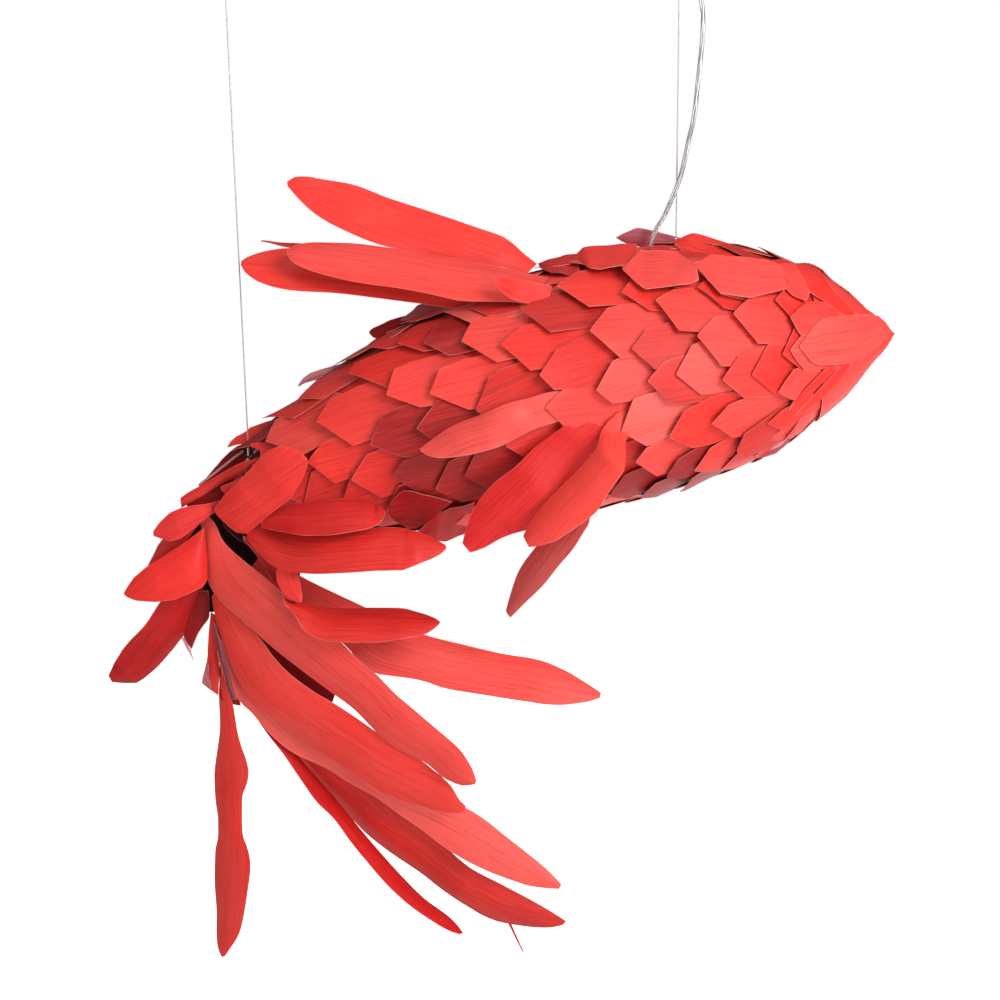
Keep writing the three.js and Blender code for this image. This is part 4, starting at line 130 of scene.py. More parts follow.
# fins: both long edges (x, y, z of each) from base to tip, rise of the curl across, tone (partly the piece's own shade,
# partly painted light and shade)
STRIPS = {
    "tail_strip_03": {"curl":6,"tone":0.37,"rows":[[-565.5,-36.4,-727.0,-573.7,-31.6,-735.0],[-553.7,-43.2,-737.4,-571.3,-34.2,-748.9],[-545.1,-49.7,-754.7,-568.9,-38.6,-764.8],[-535.3,-56.1,-765.1,-567.8,-40.8,-780.7],[-521.2,-64.4,-775.2,-566.0,-42.4,-801.1],[-512.7,-69.8,-780.9,-558.4,-44.7,-819.2],[-501.7,-74.9,-788.4,-544.3,-48.2,-835.6],[-490.9,-78.5,-796.0,-532.2,-51.3,-845.9],[-476.7,-82.3,-807.1,-519.2,-54.9,-856.4],[-465.7,-85.1,-816.3,-508.0,-57.7,-865.8],[-452.8,-88.4,-826.8,-494.2,-61.0,-877.2],[-441.9,-90.9,-835.6,-482.6,-63.5,-886.4],[-428.8,-93.7,-846.3,-468.5,-66.5,-897.2],[-418.0,-95.7,-855.2,-456.5,-69.0,-905.8],[-404.5,-98.0,-866.7,-442.7,-71.9,-915.6],[-393.8,-99.6,-876.8,-431.1,-74.4,-923.6],[-382.0,-101.3,-888.8,-416.4,-77.4,-933.7],[-371.7,-102.9,-897.3,-403.7,-79.5,-942.7],[-357.1,-104.8,-909.0,-390.9,-81.8,-951.9],[-345.8,-106.3,-920.4,-381.2,-83.7,-960.2],[-333.7,-108.4,-932.2,-369.1,-85.6,-972.8],[-323.5,-110.4,-940.4,-358.3,-86.8,-984.2],[-311.5,-112.5,-950.0,-343.6,-88.7,-996.6],[-301.7,-113.6,-958.2,-330.0,-90.7,-1005.1],[-288.8,-114.4,-969.3,-313.7,-93.7,-1012.1],[-277.1,-115.1,-979.4,-301.3,-96.1,-1017.8],[-262.2,-116.7,-992.4,-289.6,-98.1,-1026.7],[-253.1,-117.5,-1003.5,-277.3,-100.2,-1036.7],[-244.0,-116.3,-1019.9,-256.8,-104.9,-1043.8],[-239.1,-113.1,-1035.5,-240.9,-110.9,-1040.3]]},
    "tail_strip_07": {"curl":5,"tone":0.54,"rows":[[-496.8,-14.5,-772.2,-512.2,-29.5,-791.8],[-485.9,-14.0,-784.1,-508.1,-32.4,-804.9],[-473.0,-13.6,-795.4,-499.8,-35.7,-820.3],[-463.9,-14.2,-801.8,-486.9,-37.5,-832.7],[-450.3,-15.3,-809.7,-471.0,-39.1,-843.2],[-438.0,-16.0,-816.0,-458.3,-40.7,-851.4],[-422.8,-16.9,-823.3,-443.0,-42.5,-860.5],[-410.1,-17.7,-829.3,-430.1,-43.9,-867.8],[-394.2,-18.8,-836.6,-414.6,-45.4,-875.7],[-379.8,-19.4,-843.3,-403.4,-46.9,-882.3],[-361.5,-19.2,-852.4,-392.6,-49.6,-892.2],[-347.2,-18.7,-860.0,-383.9,-52.2,-902.1],[-338.6,-18.7,-864.5,-364.5,-54.6,-917.9],[-329.8,-20.8,-868.4,-345.4,-54.6,-922.1],[-314.4,-23.4,-874.7,-327.3,-54.5,-924.4],[-300.7,-25.1,-879.2,-312.9,-54.7,-926.5],[-282.6,-26.3,-884.0,-297.3,-55.8,-930.4],[-269.2,-26.7,-887.1,-283.1,-57.2,-935.6],[-253.7,-27.7,-890.6,-264.6,-58.2,-939.5],[-240.0,-28.8,-893.7,-250.1,-58.6,-941.8],[-223.1,-30.0,-897.4,-232.9,-59.1,-944.4],[-209.1,-30.8,-900.1,-218.3,-59.7,-946.8],[-192.6,-31.6,-902.7,-200.6,-60.5,-949.5],[-177.9,-32.2,-904.6,-186.5,-61.2,-951.6],[-158.8,-33.2,-908.8,-171.6,-61.6,-953.8],[-144.8,-34.6,-914.0,-157.8,-61.3,-956.1],[-129.3,-37.1,-920.9,-139.5,-60.0,-957.3],[-116.1,-40.1,-928.2,-124.0,-58.0,-956.6],[-100.6,-44.3,-937.4,-104.8,-54.9,-954.4],[-88.4,-48.3,-945.0,-89.8,-51.7,-950.5]]},
    "tail_strip_06": {"curl":7,"tone":-0.35,"rows":[[-476.3,-87.1,-810.4,-464.5,-108.9,-822.9],[-468.8,-91.6,-816.9,-462.0,-106.5,-826.0],[-459.1,-95.0,-821.4,-460.1,-105.5,-828.3],[-451.8,-94.0,-823.4,-456.2,-108.1,-831.6],[-444.0,-91.9,-825.7,-451.1,-112.0,-836.8],[-436.5,-89.6,-828.1,-448.0,-115.5,-840.7],[-430.2,-86.5,-830.0,-442.7,-119.8,-847.9],[-426.5,-84.5,-830.9,-436.1,-122.5,-853.7],[-419.6,-82.9,-831.9,-428.9,-124.8,-857.7],[-415.4,-81.9,-832.5,-421.3,-126.1,-861.0],[-410.4,-81.2,-833.0,-411.8,-126.8,-863.4],[-405.2,-80.8,-833.4,-404.7,-126.8,-864.3],[-398.5,-80.1,-833.8,-396.7,-126.6,-865.1],[-393.0,-79.5,-834.0,-389.8,-126.2,-865.5],[-386.1,-78.6,-834.0,-381.9,-125.6,-865.7],[-379.9,-77.7,-833.8,-375.8,-125.1,-865.8],[-372.2,-76.7,-833.8,-368.7,-124.3,-865.9],[-365.8,-76.0,-834.0,-362.8,-123.5,-866.1],[-358.9,-75.2,-834.2,-354.9,-122.6,-866.2],[-353.4,-74.9,-834.3,-348.0,-121.6,-865.8],[-346.1,-74.9,-834.3,-340.5,-120.2,-864.9],[-339.7,-75.0,-834.4,-334.6,-119.0,-864.1],[-331.3,-75.1,-834.5,-328.0,-117.5,-863.3],[-323.9,-75.4,-835.3,-323.1,-116.0,-862.8],[-316.1,-76.6,-837.1,-316.0,-113.6,-862.1],[-310.2,-77.8,-838.7,-309.4,-111.2,-861.3],[-303.5,-79.5,-840.4,-301.3,-108.1,-859.8],[-297.1,-81.9,-842.1,-294.6,-104.6,-857.4],[-288.3,-86.4,-845.0,-287.5,-98.7,-853.3],[-282.3,-90.9,-848.2,-282.8,-93.1,-849.6]]},
    "tail_strip_01": {"curl":6,"tone":-0.32,"rows":[[-507.7,-54.3,-731.6,-511.9,-69.7,-750.9],[-498.5,-59.5,-733.7,-507.0,-77.7,-755.2],[-487.5,-65.4,-736.2,-500.6,-87.2,-760.1],[-479.0,-70.1,-738.0,-494.7,-94.7,-764.5],[-469.5,-75.3,-739.5,-487.0,-103.3,-769.8],[-462.6,-79.2,-740.5,-479.6,-110.0,-774.8],[-456.8,-84.3,-740.8,-467.7,-116.6,-779.6],[-451.4,-88.4,-741.2,-457.5,-121.0,-781.6],[-444.1,-92.8,-741.4,-446.2,-125.5,-782.5],[-437.6,-95.6,-741.2,-437.1,-128.6,-782.9],[-429.7,-98.0,-740.6,-426.6,-131.6,-783.0],[-422.8,-99.9,-739.9,-418.3,-133.7,-782.6],[-413.9,-102.0,-739.0,-408.8,-136.1,-781.9],[-406.6,-103.6,-738.2,-401.0,-137.9,-781.2],[-397.9,-105.3,-737.1,-391.6,-139.9,-780.4],[-390.5,-106.5,-736.1,-383.9,-141.5,-779.8],[-381.7,-107.8,-734.8,-374.8,-143.1,-778.9],[-373.9,-108.7,-733.8,-367.6,-144.1,-778.2],[-364.4,-109.6,-733.0,-359.3,-145.1,-777.5],[-356.6,-110.0,-732.4,-352.3,-145.7,-777.0],[-347.2,-110.4,-731.9,-343.7,-146.2,-776.8],[-339.5,-110.6,-731.6,-336.6,-146.5,-776.6],[-329.7,-111.0,-731.5,-328.6,-146.8,-776.3],[-320.8,-111.9,-732.9,-322.8,-146.4,-776.1],[-318.5,-114.1,-733.1,-306.5,-144.7,-770.0],[-305.3,-116.7,-736.5,-303.7,-142.5,-768.9],[-297.2,-119.0,-739.4,-297.0,-140.6,-766.3],[-290.0,-121.5,-742.3,-288.7,-138.3,-763.2],[-280.8,-125.1,-746.5,-279.3,-134.8,-758.5],[-274.0,-128.7,-750.0,-273.0,-131.3,-753.2]]},
    "tail_strip_02": {"curl":4,"tone":-0.99,"rows":[[-494.2,-64.2,-720.4,-491.7,-85.8,-736.3],[-489.8,-66.0,-718.4,-486.1,-90.7,-736.5],[-484.4,-68.1,-716.0,-479.4,-96.4,-736.8],[-479.6,-69.8,-714.2,-474.2,-100.9,-737.0],[-473.5,-71.8,-712.2,-468.4,-106.0,-737.2],[-468.4,-73.5,-710.8,-463.7,-109.8,-737.3],[-461.9,-75.5,-709.5,-458.4,-114.1,-737.7],[-456.7,-76.9,-708.6,-454.0,-117.4,-738.1],[-450.8,-78.5,-707.7,-448.3,-121.0,-738.7],[-446.3,-79.6,-707.1,-443.2,-123.7,-739.1],[-441.7,-81.0,-706.4,-436.5,-126.3,-739.3],[-437.7,-82.3,-705.8,-431.0,-128.2,-739.0],[-432.3,-83.9,-704.9,-425.1,-130.4,-738.5],[-427.7,-85.3,-704.2,-420.3,-132.1,-738.0],[-422.0,-86.9,-703.5,-414.7,-134.0,-737.4],[-417.5,-88.1,-702.8,-410.0,-135.4,-736.9],[-412.2,-89.3,-702.1,-404.1,-136.8,-736.3],[-407.9,-90.2,-701.5,-399.2,-137.7,-735.5],[-402.2,-91.2,-700.9,-393.9,-138.2,-734.6],[-397.1,-91.8,-700.6,-389.9,-138.1,-733.9],[-391.1,-92.4,-700.6,-385.1,-137.6,-733.1],[-386.2,-93.0,-700.7,-380.9,-137.0,-732.5],[-380.4,-93.7,-700.9,-375.8,-136.3,-731.7],[-375.6,-94.3,-701.2,-371.6,-135.7,-731.1],[-371.1,-95.3,-701.5,-365.3,-134.7,-729.8],[-365.3,-96.8,-702.8,-361.8,-133.2,-729.0],[-355.5,-99.0,-707.1,-361.1,-131.0,-729.1],[-354.4,-102.8,-706.9,-350.8,-127.2,-724.5],[-349.6,-107.5,-709.1,-346.7,-122.5,-719.9],[-344.3,-112.6,-712.6,-344.6,-117.4,-716.1]]},
    "tail_strip_19": {"curl":6,"tone":-0.18,"rows":[[-551.7,-60.0,-719.0,-540.7,-60.0,-731.6],[-550.8,-61.3,-716.3,-525.9,-61.3,-745.0],[-549.0,-62.8,-714.0,-521.7,-62.8,-745.4],[-546.9,-64.6,-711.4,-516.9,-64.6,-745.9],[-544.6,-66.6,-708.4,-511.8,-66.6,-746.1],[-541.9,-68.8,-705.0,-508.7,-68.8,-743.3],[-539.1,-71.2,-701.4,-505.3,-71.2,-740.3],[-535.9,-73.8,-697.7,-501.6,-73.8,-737.0],[-532.1,-76.6,-694.2,-497.7,-76.6,-733.6],[-528.0,-79.5,-690.4,-493.6,-79.5,-729.9],[-523.9,-82.6,-686.5,-489.3,-82.6,-726.1],[-519.6,-85.4,-682.6,-485.0,-85.4,-722.3],[-515.4,-87.1,-678.7,-480.4,-87.1,-718.7],[-511.4,-88.9,-674.4,-475.9,-88.9,-715.1],[-507.4,-90.6,-669.9,-471.2,-90.6,-711.4],[-503.5,-92.4,-665.5,-466.6,-92.4,-707.7],[-499.6,-94.1,-661.0,-461.9,-94.1,-704.1],[-495.7,-95.9,-656.7,-457.4,-95.9,-700.4],[-491.6,-97.6,-652.7,-453.6,-97.6,-696.1],[-487.6,-98.8,-649.1,-450.6,-98.8,-691.3],[-483.7,-99.8,-645.6,-447.7,-99.8,-686.7],[-480.1,-100.7,-642.3,-445.0,-100.7,-682.3],[-475.4,-101.6,-640.5,-442.4,-101.6,-678.1],[-471.0,-102.4,-638.8,-440.0,-102.4,-674.1],[-467.0,-103.2,-637.3,-438.4,-103.2,-669.8],[-461.7,-103.9,-637.7,-437.0,-103.9,-665.8],[-456.8,-104.5,-638.1,-435.6,-104.5,-662.3],[-451.3,-105.1,-640.0,-434.5,-105.1,-659.1],[-446.1,-105.6,-642.0,-434.5,-105.6,-655.2],[-440.3,-106.0,-645.4,-435.2,-106.0,-651.1]]},
    "tail_strip_17": {"curl":5,"tone":0.09,"rows":[[-544.7,-45.0,-709.1,-544.8,-45.0,-708.8],[-545.5,-45.6,-710.8,-546.3,-45.6,-709.1],[-546.6,-46.2,-712.9,-548.0,-46.2,-709.5],[-547.7,-47.0,-715.3,-550.0,-47.0,-709.9],[-549.1,-47.9,-718.0,-552.3,-47.9,-710.4],[-550.5,-48.9,-721.0,-554.8,-48.9,-710.9],[-552.6,-49.9,-723.3,-557.5,-49.9,-711.5],[-555.2,-51.1,-724.7,-560.5,-51.1,-712.1],[-558.0,-52.3,-726.1,-563.7,-52.3,-712.6],[-560.8,-53.6,-728.0,-567.2,-53.6,-712.9],[-563.7,-54.9,-730.3,-570.9,-54.9,-713.2],[-566.6,-56.2,-732.8,-574.7,-56.2,-713.4],[-569.7,-57.0,-735.3,-578.7,-57.0,-713.9],[-572.9,-57.8,-737.9,-582.7,-57.8,-714.6],[-576.1,-58.6,-740.5,-586.7,-58.6,-715.4],[-579.3,-59.4,-743.1,-590.7,-59.4,-716.1],[-582.5,-60.2,-745.7,-594.4,-60.2,-717.5],[-585.8,-61.0,-748.1,-598.0,-61.0,-719.0],[-589.1,-61.8,-750.2,-601.6,-61.8,-720.5],[-592.4,-62.2,-752.2,-604.9,-62.2,-722.4],[-595.9,-62.4,-753.6,-607.8,-62.4,-725.1],[-599.4,-62.7,-754.4,-610.6,-62.7,-727.6],[-602.7,-62.9,-755.3,-613.2,-62.9,-730.1],[-606.0,-63.1,-755.4,-615.7,-63.1,-732.4],[-609.7,-63.3,-754.2,-617.8,-63.3,-734.8],[-613.0,-63.5,-753.2,-619.6,-63.5,-737.4],[-616.1,-63.6,-752.1,-621.2,-63.6,-739.7],[-618.8,-63.8,-751.1,-622.7,-63.8,-741.8],[-621.1,-63.9,-750.2,-623.9,-63.9,-743.6],[-623.1,-64.0,-749.5,-623.9,-64.0,-747.7]]},
    "tail_strip_14": {"curl":9,"tone":-0.84,"rows":[[-566.6,-46.0,-743.5,-566.9,-46.0,-742.7],[-566.1,-46.6,-749.7,-568.6,-46.6,-743.9],[-565.4,-47.3,-757.1,-570.5,-47.3,-745.3],[-564.7,-48.2,-765.7,-572.7,-48.2,-746.9],[-563.8,-49.1,-775.3,-575.1,-49.1,-748.7],[-563.4,-50.2,-784.9,-577.9,-50.2,-750.8],[-563.5,-51.4,-794.0,-580.9,-51.4,-753.0],[-563.6,-52.6,-803.8,-584.2,-52.6,-755.4],[-566.0,-54.0,-808.9,-587.6,-54.0,-757.9],[-569.2,-55.4,-812.9,-591.3,-55.4,-760.6],[-573.4,-56.8,-814.8,-595.2,-56.8,-763.3],[-577.7,-58.2,-816.9,-599.3,-58.2,-765.9],[-582.4,-59.0,-819.1,-603.6,-59.0,-768.7],[-587.1,-59.8,-821.2,-608.0,-59.8,-771.6],[-592.0,-60.6,-823.1,-612.5,-60.6,-774.5],[-596.9,-61.4,-825.1,-617.1,-61.4,-777.2],[-601.8,-62.2,-827.0,-621.7,-62.2,-779.8],[-607.2,-63.0,-827.6,-626.2,-63.0,-782.4],[-612.5,-63.8,-828.1,-630.6,-63.8,-784.9],[-617.8,-64.0,-828.7,-634.9,-64.0,-787.9],[-622.9,-64.0,-829.3,-638.8,-64.0,-791.3],[-628.1,-64.0,-829.1,-642.6,-64.0,-794.5],[-633.2,-64.0,-828.7,-646.2,-64.0,-797.5],[-637.9,-64.0,-828.3,-649.5,-64.0,-800.6],[-642.3,-64.0,-828.0,-652.1,-64.0,-804.3],[-646.3,-64.0,-827.6,-654.6,-64.0,-807.8],[-650.2,-64.0,-826.5,-656.7,-64.0,-810.9],[-654.0,-64.0,-824.8,-658.6,-64.0,-813.8],[-657.3,-64.0,-823.4,-660.1,-64.0,-816.6],[-660.9,-64.0,-820.0,-661.3,-64.0,-819.0]]},
    "tail_strip_15": {"curl":5,"tone":-1.0,"rows":[[-592.5,-29.7,-799.1,-574.0,1.7,-829.9],[-596.9,-31.5,-802.6,-575.6,2.4,-834.4],[-602.3,-33.5,-807.4,-577.6,3.0,-839.3],[-606.8,-34.9,-811.8,-579.1,3.3,-843.0],[-611.0,-36.5,-816.7,-581.4,3.5,-848.3],[-614.4,-37.6,-821.2,-583.3,3.4,-852.5],[-617.9,-38.7,-826.3,-585.9,3.2,-857.9],[-620.5,-39.6,-830.3,-588.3,2.9,-862.7],[-623.4,-40.5,-834.7,-591.6,2.5,-868.7],[-625.9,-41.2,-838.4,-594.5,2.1,-873.6],[-628.7,-41.8,-842.8,-598.5,1.3,-879.3],[-631.3,-42.1,-846.7,-601.8,0.5,-883.5],[-634.6,-42.6,-851.8,-605.7,-0.5,-888.3],[-637.3,-43.0,-855.8,-608.9,-1.2,-892.4],[-640.6,-43.7,-860.2,-612.9,-2.0,-897.7],[-643.3,-44.4,-863.5,-616.5,-2.5,-902.3],[-646.8,-45.2,-867.4,-620.9,-3.1,-907.7],[-649.7,-45.8,-870.5,-624.7,-3.6,-912.0],[-653.5,-46.4,-874.5,-629.3,-4.2,-916.9],[-656.9,-46.8,-878.1,-632.9,-4.8,-920.5],[-660.9,-47.1,-882.7,-637.4,-5.6,-924.6],[-664.1,-47.1,-886.7,-641.3,-6.5,-927.9],[-667.8,-46.9,-891.4,-646.4,-7.7,-931.8],[-669.6,-46.8,-893.9,-652.0,-8.6,-936.2],[-671.3,-46.6,-896.3,-660.8,-9.8,-941.4],[-679.0,-44.8,-907.8,-660.6,-12.3,-940.9],[-681.6,-41.0,-911.9,-672.8,-17.0,-940.0],[-682.5,-39.4,-913.2,-679.7,-19.3,-939.2],[-686.7,-36.9,-921.0,-682.0,-22.5,-938.3],[-689.6,-34.2,-926.6,-687.3,-25.8,-936.9]]},
    "tail_strip_12": {"curl":4,"tone":-0.0,"rows":[[-556.7,-6.5,-888.6,-552.5,-9.5,-887.9],[-555.7,-6.2,-901.3,-552.7,-8.4,-901.1],[-555.5,-5.2,-916.6,-552.4,-7.5,-916.2],[-556.6,-3.6,-929.6,-551.6,-7.2,-928.7],[-559.2,-1.0,-945.7,-550.2,-7.4,-943.8],[-560.8,2.0,-959.9,-546.8,-8.2,-955.3],[-561.0,5.2,-976.1,-542.2,-8.6,-969.9],[-560.9,7.4,-989.0,-540.4,-7.5,-983.2],[-561.6,10.6,-1005.0,-538.7,-5.9,-999.1],[-563.7,14.3,-1019.1,-536.4,-5.4,-1011.9],[-567.1,19.1,-1036.4,-532.4,-5.9,-1026.7],[-569.9,22.9,-1050.9,-527.9,-7.4,-1038.4],[-572.1,25.1,-1065.7,-524.2,-9.3,-1054.8],[-572.2,24.0,-1074.9,-526.7,-9.1,-1071.0],[-571.3,20.3,-1091.0,-532.4,-7.7,-1085.0],[-569.9,18.2,-1105.8,-533.4,-7.9,-1095.4],[-567.5,15.7,-1120.3,-533.9,-8.4,-1111.2],[-567.1,14.4,-1132.7,-533.9,-9.4,-1124.1],[-567.5,13.7,-1148.5,-532.7,-11.2,-1138.7],[-571.1,15.5,-1163.3,-528.0,-15.4,-1149.1],[-572.3,16.0,-1178.9,-523.8,-18.8,-1163.7],[-572.9,15.3,-1189.6,-523.0,-20.4,-1178.3],[-573.2,13.7,-1204.2,-524.9,-20.9,-1194.4],[-573.0,12.6,-1217.6,-526.7,-20.5,-1207.0],[-572.1,11.5,-1232.9,-529.3,-19.1,-1223.3],[-571.8,11.1,-1245.4,-532.0,-17.4,-1237.6],[-572.1,11.1,-1260.3,-536.0,-14.9,-1255.2],[-572.3,10.7,-1272.9,-541.8,-11.5,-1270.1],[-570.6,8.5,-1290.9,-551.6,-5.0,-1286.4],[-565.0,5.6,-1303.1,-560.6,2.4,-1300.5]]},
    "tail_strip_08": {"curl":6,"tone":0.08,"rows":[[-556.2,-24.5,-822.4,-563.3,-19.5,-832.0],[-547.4,-28.9,-833.0,-561.4,-21.3,-844.4],[-536.1,-34.2,-845.4,-558.4,-23.2,-859.3],[-526.8,-38.7,-854.5,-555.0,-24.6,-872.5],[-515.2,-43.9,-864.2,-549.8,-26.1,-888.6],[-505.2,-48.0,-872.9,-545.5,-27.3,-901.0],[-494.3,-52.2,-885.5,-540.4,-29.3,-914.5],[-487.3,-55.2,-895.0,-534.6,-31.1,-927.3],[-478.5,-58.7,-904.4,-525.7,-33.2,-943.2],[-471.0,-61.4,-911.5,-516.9,-34.8,-955.8],[-463.0,-64.1,-918.1,-502.3,-37.2,-970.2],[-454.5,-65.6,-924.8,-489.4,-39.6,-977.6],[-441.3,-67.9,-933.8,-476.8,-41.9,-985.8],[-430.6,-70.1,-940.4,-466.2,-43.5,-994.0],[-417.9,-72.7,-947.3,-453.0,-45.4,-1003.7],[-406.7,-74.9,-953.4,-442.2,-47.0,-1011.2],[-393.9,-77.2,-961.4,-428.8,-49.3,-1019.4],[-383.3,-78.8,-968.6,-417.5,-51.5,-1025.4],[-369.9,-80.8,-977.9,-404.7,-54.1,-1032.5],[-358.6,-82.6,-986.0,-395.2,-55.9,-1039.3],[-347.2,-84.9,-993.7,-381.9,-57.7,-1049.9],[-338.1,-86.4,-999.1,-369.0,-59.2,-1057.6],[-325.8,-88.0,-1005.7,-353.8,-60.9,-1065.4],[-315.0,-88.9,-1011.7,-341.5,-62.5,-1070.6],[-301.6,-89.5,-1020.6,-327.2,-64.7,-1075.3],[-291.5,-89.4,-1029.1,-314.6,-67.0,-1078.6],[-278.8,-89.1,-1040.0,-300.0,-69.8,-1082.0],[-268.7,-88.3,-1051.1,-287.6,-72.4,-1084.9],[-260.9,-85.9,-1066.1,-268.9,-76.7,-1087.2],[-252.2,-83.8,-1075.9,-254.3,-80.2,-1084.6]]},
    "tail_strip_09": {"curl":5,"tone":0.8,"rows":[[-551.8,-14.0,-886.9,-559.5,-14.0,-902.0],[-542.9,-15.1,-903.2,-556.3,-15.1,-916.5],[-531.4,-16.6,-921.3,-550.4,-16.6,-933.7],[-522.0,-17.8,-934.2,-542.4,-17.8,-948.7],[-510.5,-19.3,-948.1,-529.5,-19.3,-965.8],[-499.4,-20.6,-959.8,-517.1,-20.6,-977.2],[-485.2,-22.2,-973.5,-504.7,-22.2,-992.4],[-473.4,-23.5,-983.5,-492.8,-23.5,-1005.3],[-458.8,-25.2,-994.3,-476.6,-25.2,-1019.4],[-446.3,-26.7,-1001.7,-461.1,-26.7,-1029.0],[-429.5,-28.5,-1010.0,-442.1,-28.5,-1037.2],[-414.1,-30.1,-1017.3,-427.5,-30.1,-1043.5],[-395.7,-32.0,-1027.8,-411.9,-32.0,-1052.7],[-382.2,-33.5,-1037.3,-398.1,-33.5,-1061.4],[-366.7,-35.3,-1048.8,-380.3,-35.3,-1071.0],[-353.1,-36.7,-1057.9,-365.8,-36.7,-1079.0],[-335.8,-38.3,-1066.6,-349.4,-38.3,-1090.2],[-320.9,-39.6,-1072.6,-335.6,-39.6,-1100.4],[-302.8,-41.2,-1078.2,-318.5,-41.2,-1112.3],[-286.6,-42.4,-1081.0,-304.4,-42.4,-1122.3],[-265.6,-43.9,-1085.1,-289.4,-43.9,-1134.2],[-248.7,-45.0,-1092.6,-277.7,-45.0,-1142.4],[-231.2,-46.4,-1103.6,-261.6,-46.4,-1152.6],[-218.0,-47.5,-1113.8,-247.3,-47.5,-1160.3],[-203.5,-48.8,-1125.8,-228.3,-48.8,-1169.2],[-190.9,-49.8,-1135.8,-212.4,-49.8,-1175.5],[-175.6,-51.0,-1148.0,-193.0,-51.0,-1182.1],[-162.6,-52.0,-1158.2,-176.5,-52.0,-1187.3],[-147.1,-53.1,-1172.5,-155.5,-53.1,-1190.1],[-135.5,-54.0,-1185.3,-138.5,-54.0,-1190.9]]},
    "tail_strip_10": {"curl":8,"tone":-0.48,"rows":[[-506.9,-3.2,-973.0,-515.3,3.2,-982.3],[-497.8,-2.8,-985.0,-505.2,2.8,-993.3],[-486.0,-2.7,-998.6,-493.3,2.7,-1006.6],[-475.6,-3.0,-1009.0,-483.5,3.0,-1017.9],[-462.3,-3.7,-1020.5,-471.8,3.7,-1031.9],[-450.3,-4.7,-1029.3,-462.1,4.7,-1043.9],[-435.4,-6.2,-1039.1,-451.1,6.2,-1058.8],[-422.7,-7.8,-1046.4,-441.7,7.8,-1071.8],[-407.5,-9.7,-1054.8,-429.5,9.4,-1086.6],[-394.6,-11.1,-1062.6,-419.3,10.0,-1097.6],[-379.2,-13.0,-1072.8,-407.6,10.3,-1110.6],[-366.8,-14.9,-1081.3,-397.9,10.5,-1122.3],[-352.8,-17.2,-1090.9,-385.3,10.5,-1136.7],[-341.7,-18.7,-1098.7,-373.3,9.9,-1147.6],[-327.8,-19.9,-1108.7,-358.5,8.8,-1158.9],[-316.1,-20.7,-1117.6,-346.3,7.9,-1167.6],[-302.1,-21.5,-1128.7,-331.3,6.3,-1177.4],[-290.5,-22.0,-1138.5,-319.0,4.7,-1185.2],[-276.1,-22.9,-1150.9,-305.0,3.0,-1194.9],[-265.1,-23.7,-1161.0,-293.6,1.7,-1204.2],[-252.7,-24.8,-1171.2,-278.0,0.3,-1216.0],[-241.4,-25.9,-1178.4,-264.2,-0.6,-1225.5],[-226.5,-27.3,-1186.0,-248.2,-1.3,-1235.5],[-213.6,-28.5,-1192.2,-234.7,-1.8,-1243.8],[-200.1,-29.0,-1199.3,-215.9,-3.2,-1251.4],[-187.6,-28.7,-1206.3,-200.2,-5.1,-1254.4],[-171.9,-27.8,-1215.3,-181.9,-7.9,-1256.2],[-158.4,-26.6,-1223.7,-166.6,-10.4,-1257.0],[-142.0,-24.5,-1234.7,-148.0,-14.2,-1255.8],[-128.5,-22.1,-1244.6,-133.3,-17.9,-1251.4]]},
    "tail_strip_11": {"curl":3,"tone":-0.11,"rows":[[-506.6,-7.2,-987.3,-509.1,-16.8,-989.8],[-498.8,-6.6,-996.3,-502.6,-18.4,-998.8],[-489.3,-5.9,-1007.1,-494.4,-20.2,-1009.5],[-481.4,-5.6,-1015.5,-487.1,-21.6,-1018.3],[-471.6,-5.0,-1026.0,-478.7,-23.5,-1028.6],[-464.0,-4.7,-1035.4,-472.2,-25.0,-1037.5],[-455.5,-4.5,-1046.6,-464.6,-26.6,-1048.9],[-448.1,-3.9,-1055.6,-458.0,-28.3,-1058.4],[-438.9,-2.7,-1066.4,-450.3,-31.0,-1069.5],[-431.2,-1.8,-1075.3,-443.8,-33.2,-1078.8],[-422.3,-2.0,-1085.5,-434.9,-34.5,-1090.0],[-414.8,-3.5,-1093.9,-426.6,-34.4,-1098.3],[-405.6,-5.2,-1104.8,-417.4,-34.3,-1108.0],[-398.0,-5.8,-1114.4,-410.6,-35.1,-1116.8],[-389.4,-6.2,-1125.6,-402.7,-36.6,-1127.9],[-382.3,-6.5,-1134.7,-395.7,-37.7,-1137.3],[-373.6,-7.3,-1145.4,-387.0,-38.8,-1148.2],[-366.2,-8.1,-1154.3,-379.5,-39.6,-1157.1],[-357.3,-9.1,-1164.7,-370.5,-40.6,-1167.7],[-349.6,-9.8,-1173.5,-363.0,-41.5,-1176.4],[-340.4,-10.7,-1183.7,-353.7,-42.7,-1186.9],[-332.6,-11.6,-1192.0,-345.6,-43.5,-1195.5],[-323.1,-13.3,-1201.7,-335.3,-43.9,-1205.4],[-315.2,-14.9,-1209.4,-326.4,-44.1,-1213.3],[-305.3,-16.9,-1218.0,-315.0,-44.3,-1222.4],[-296.4,-18.4,-1224.6,-305.1,-44.8,-1229.2],[-285.1,-20.2,-1232.3,-293.4,-45.3,-1236.8],[-275.6,-22.2,-1239.2,-283.8,-45.3,-1242.9],[-265.0,-26.9,-1248.3,-271.6,-43.0,-1250.1],[-257.4,-32.8,-1256.1,-261.0,-39.2,-1255.5]]},
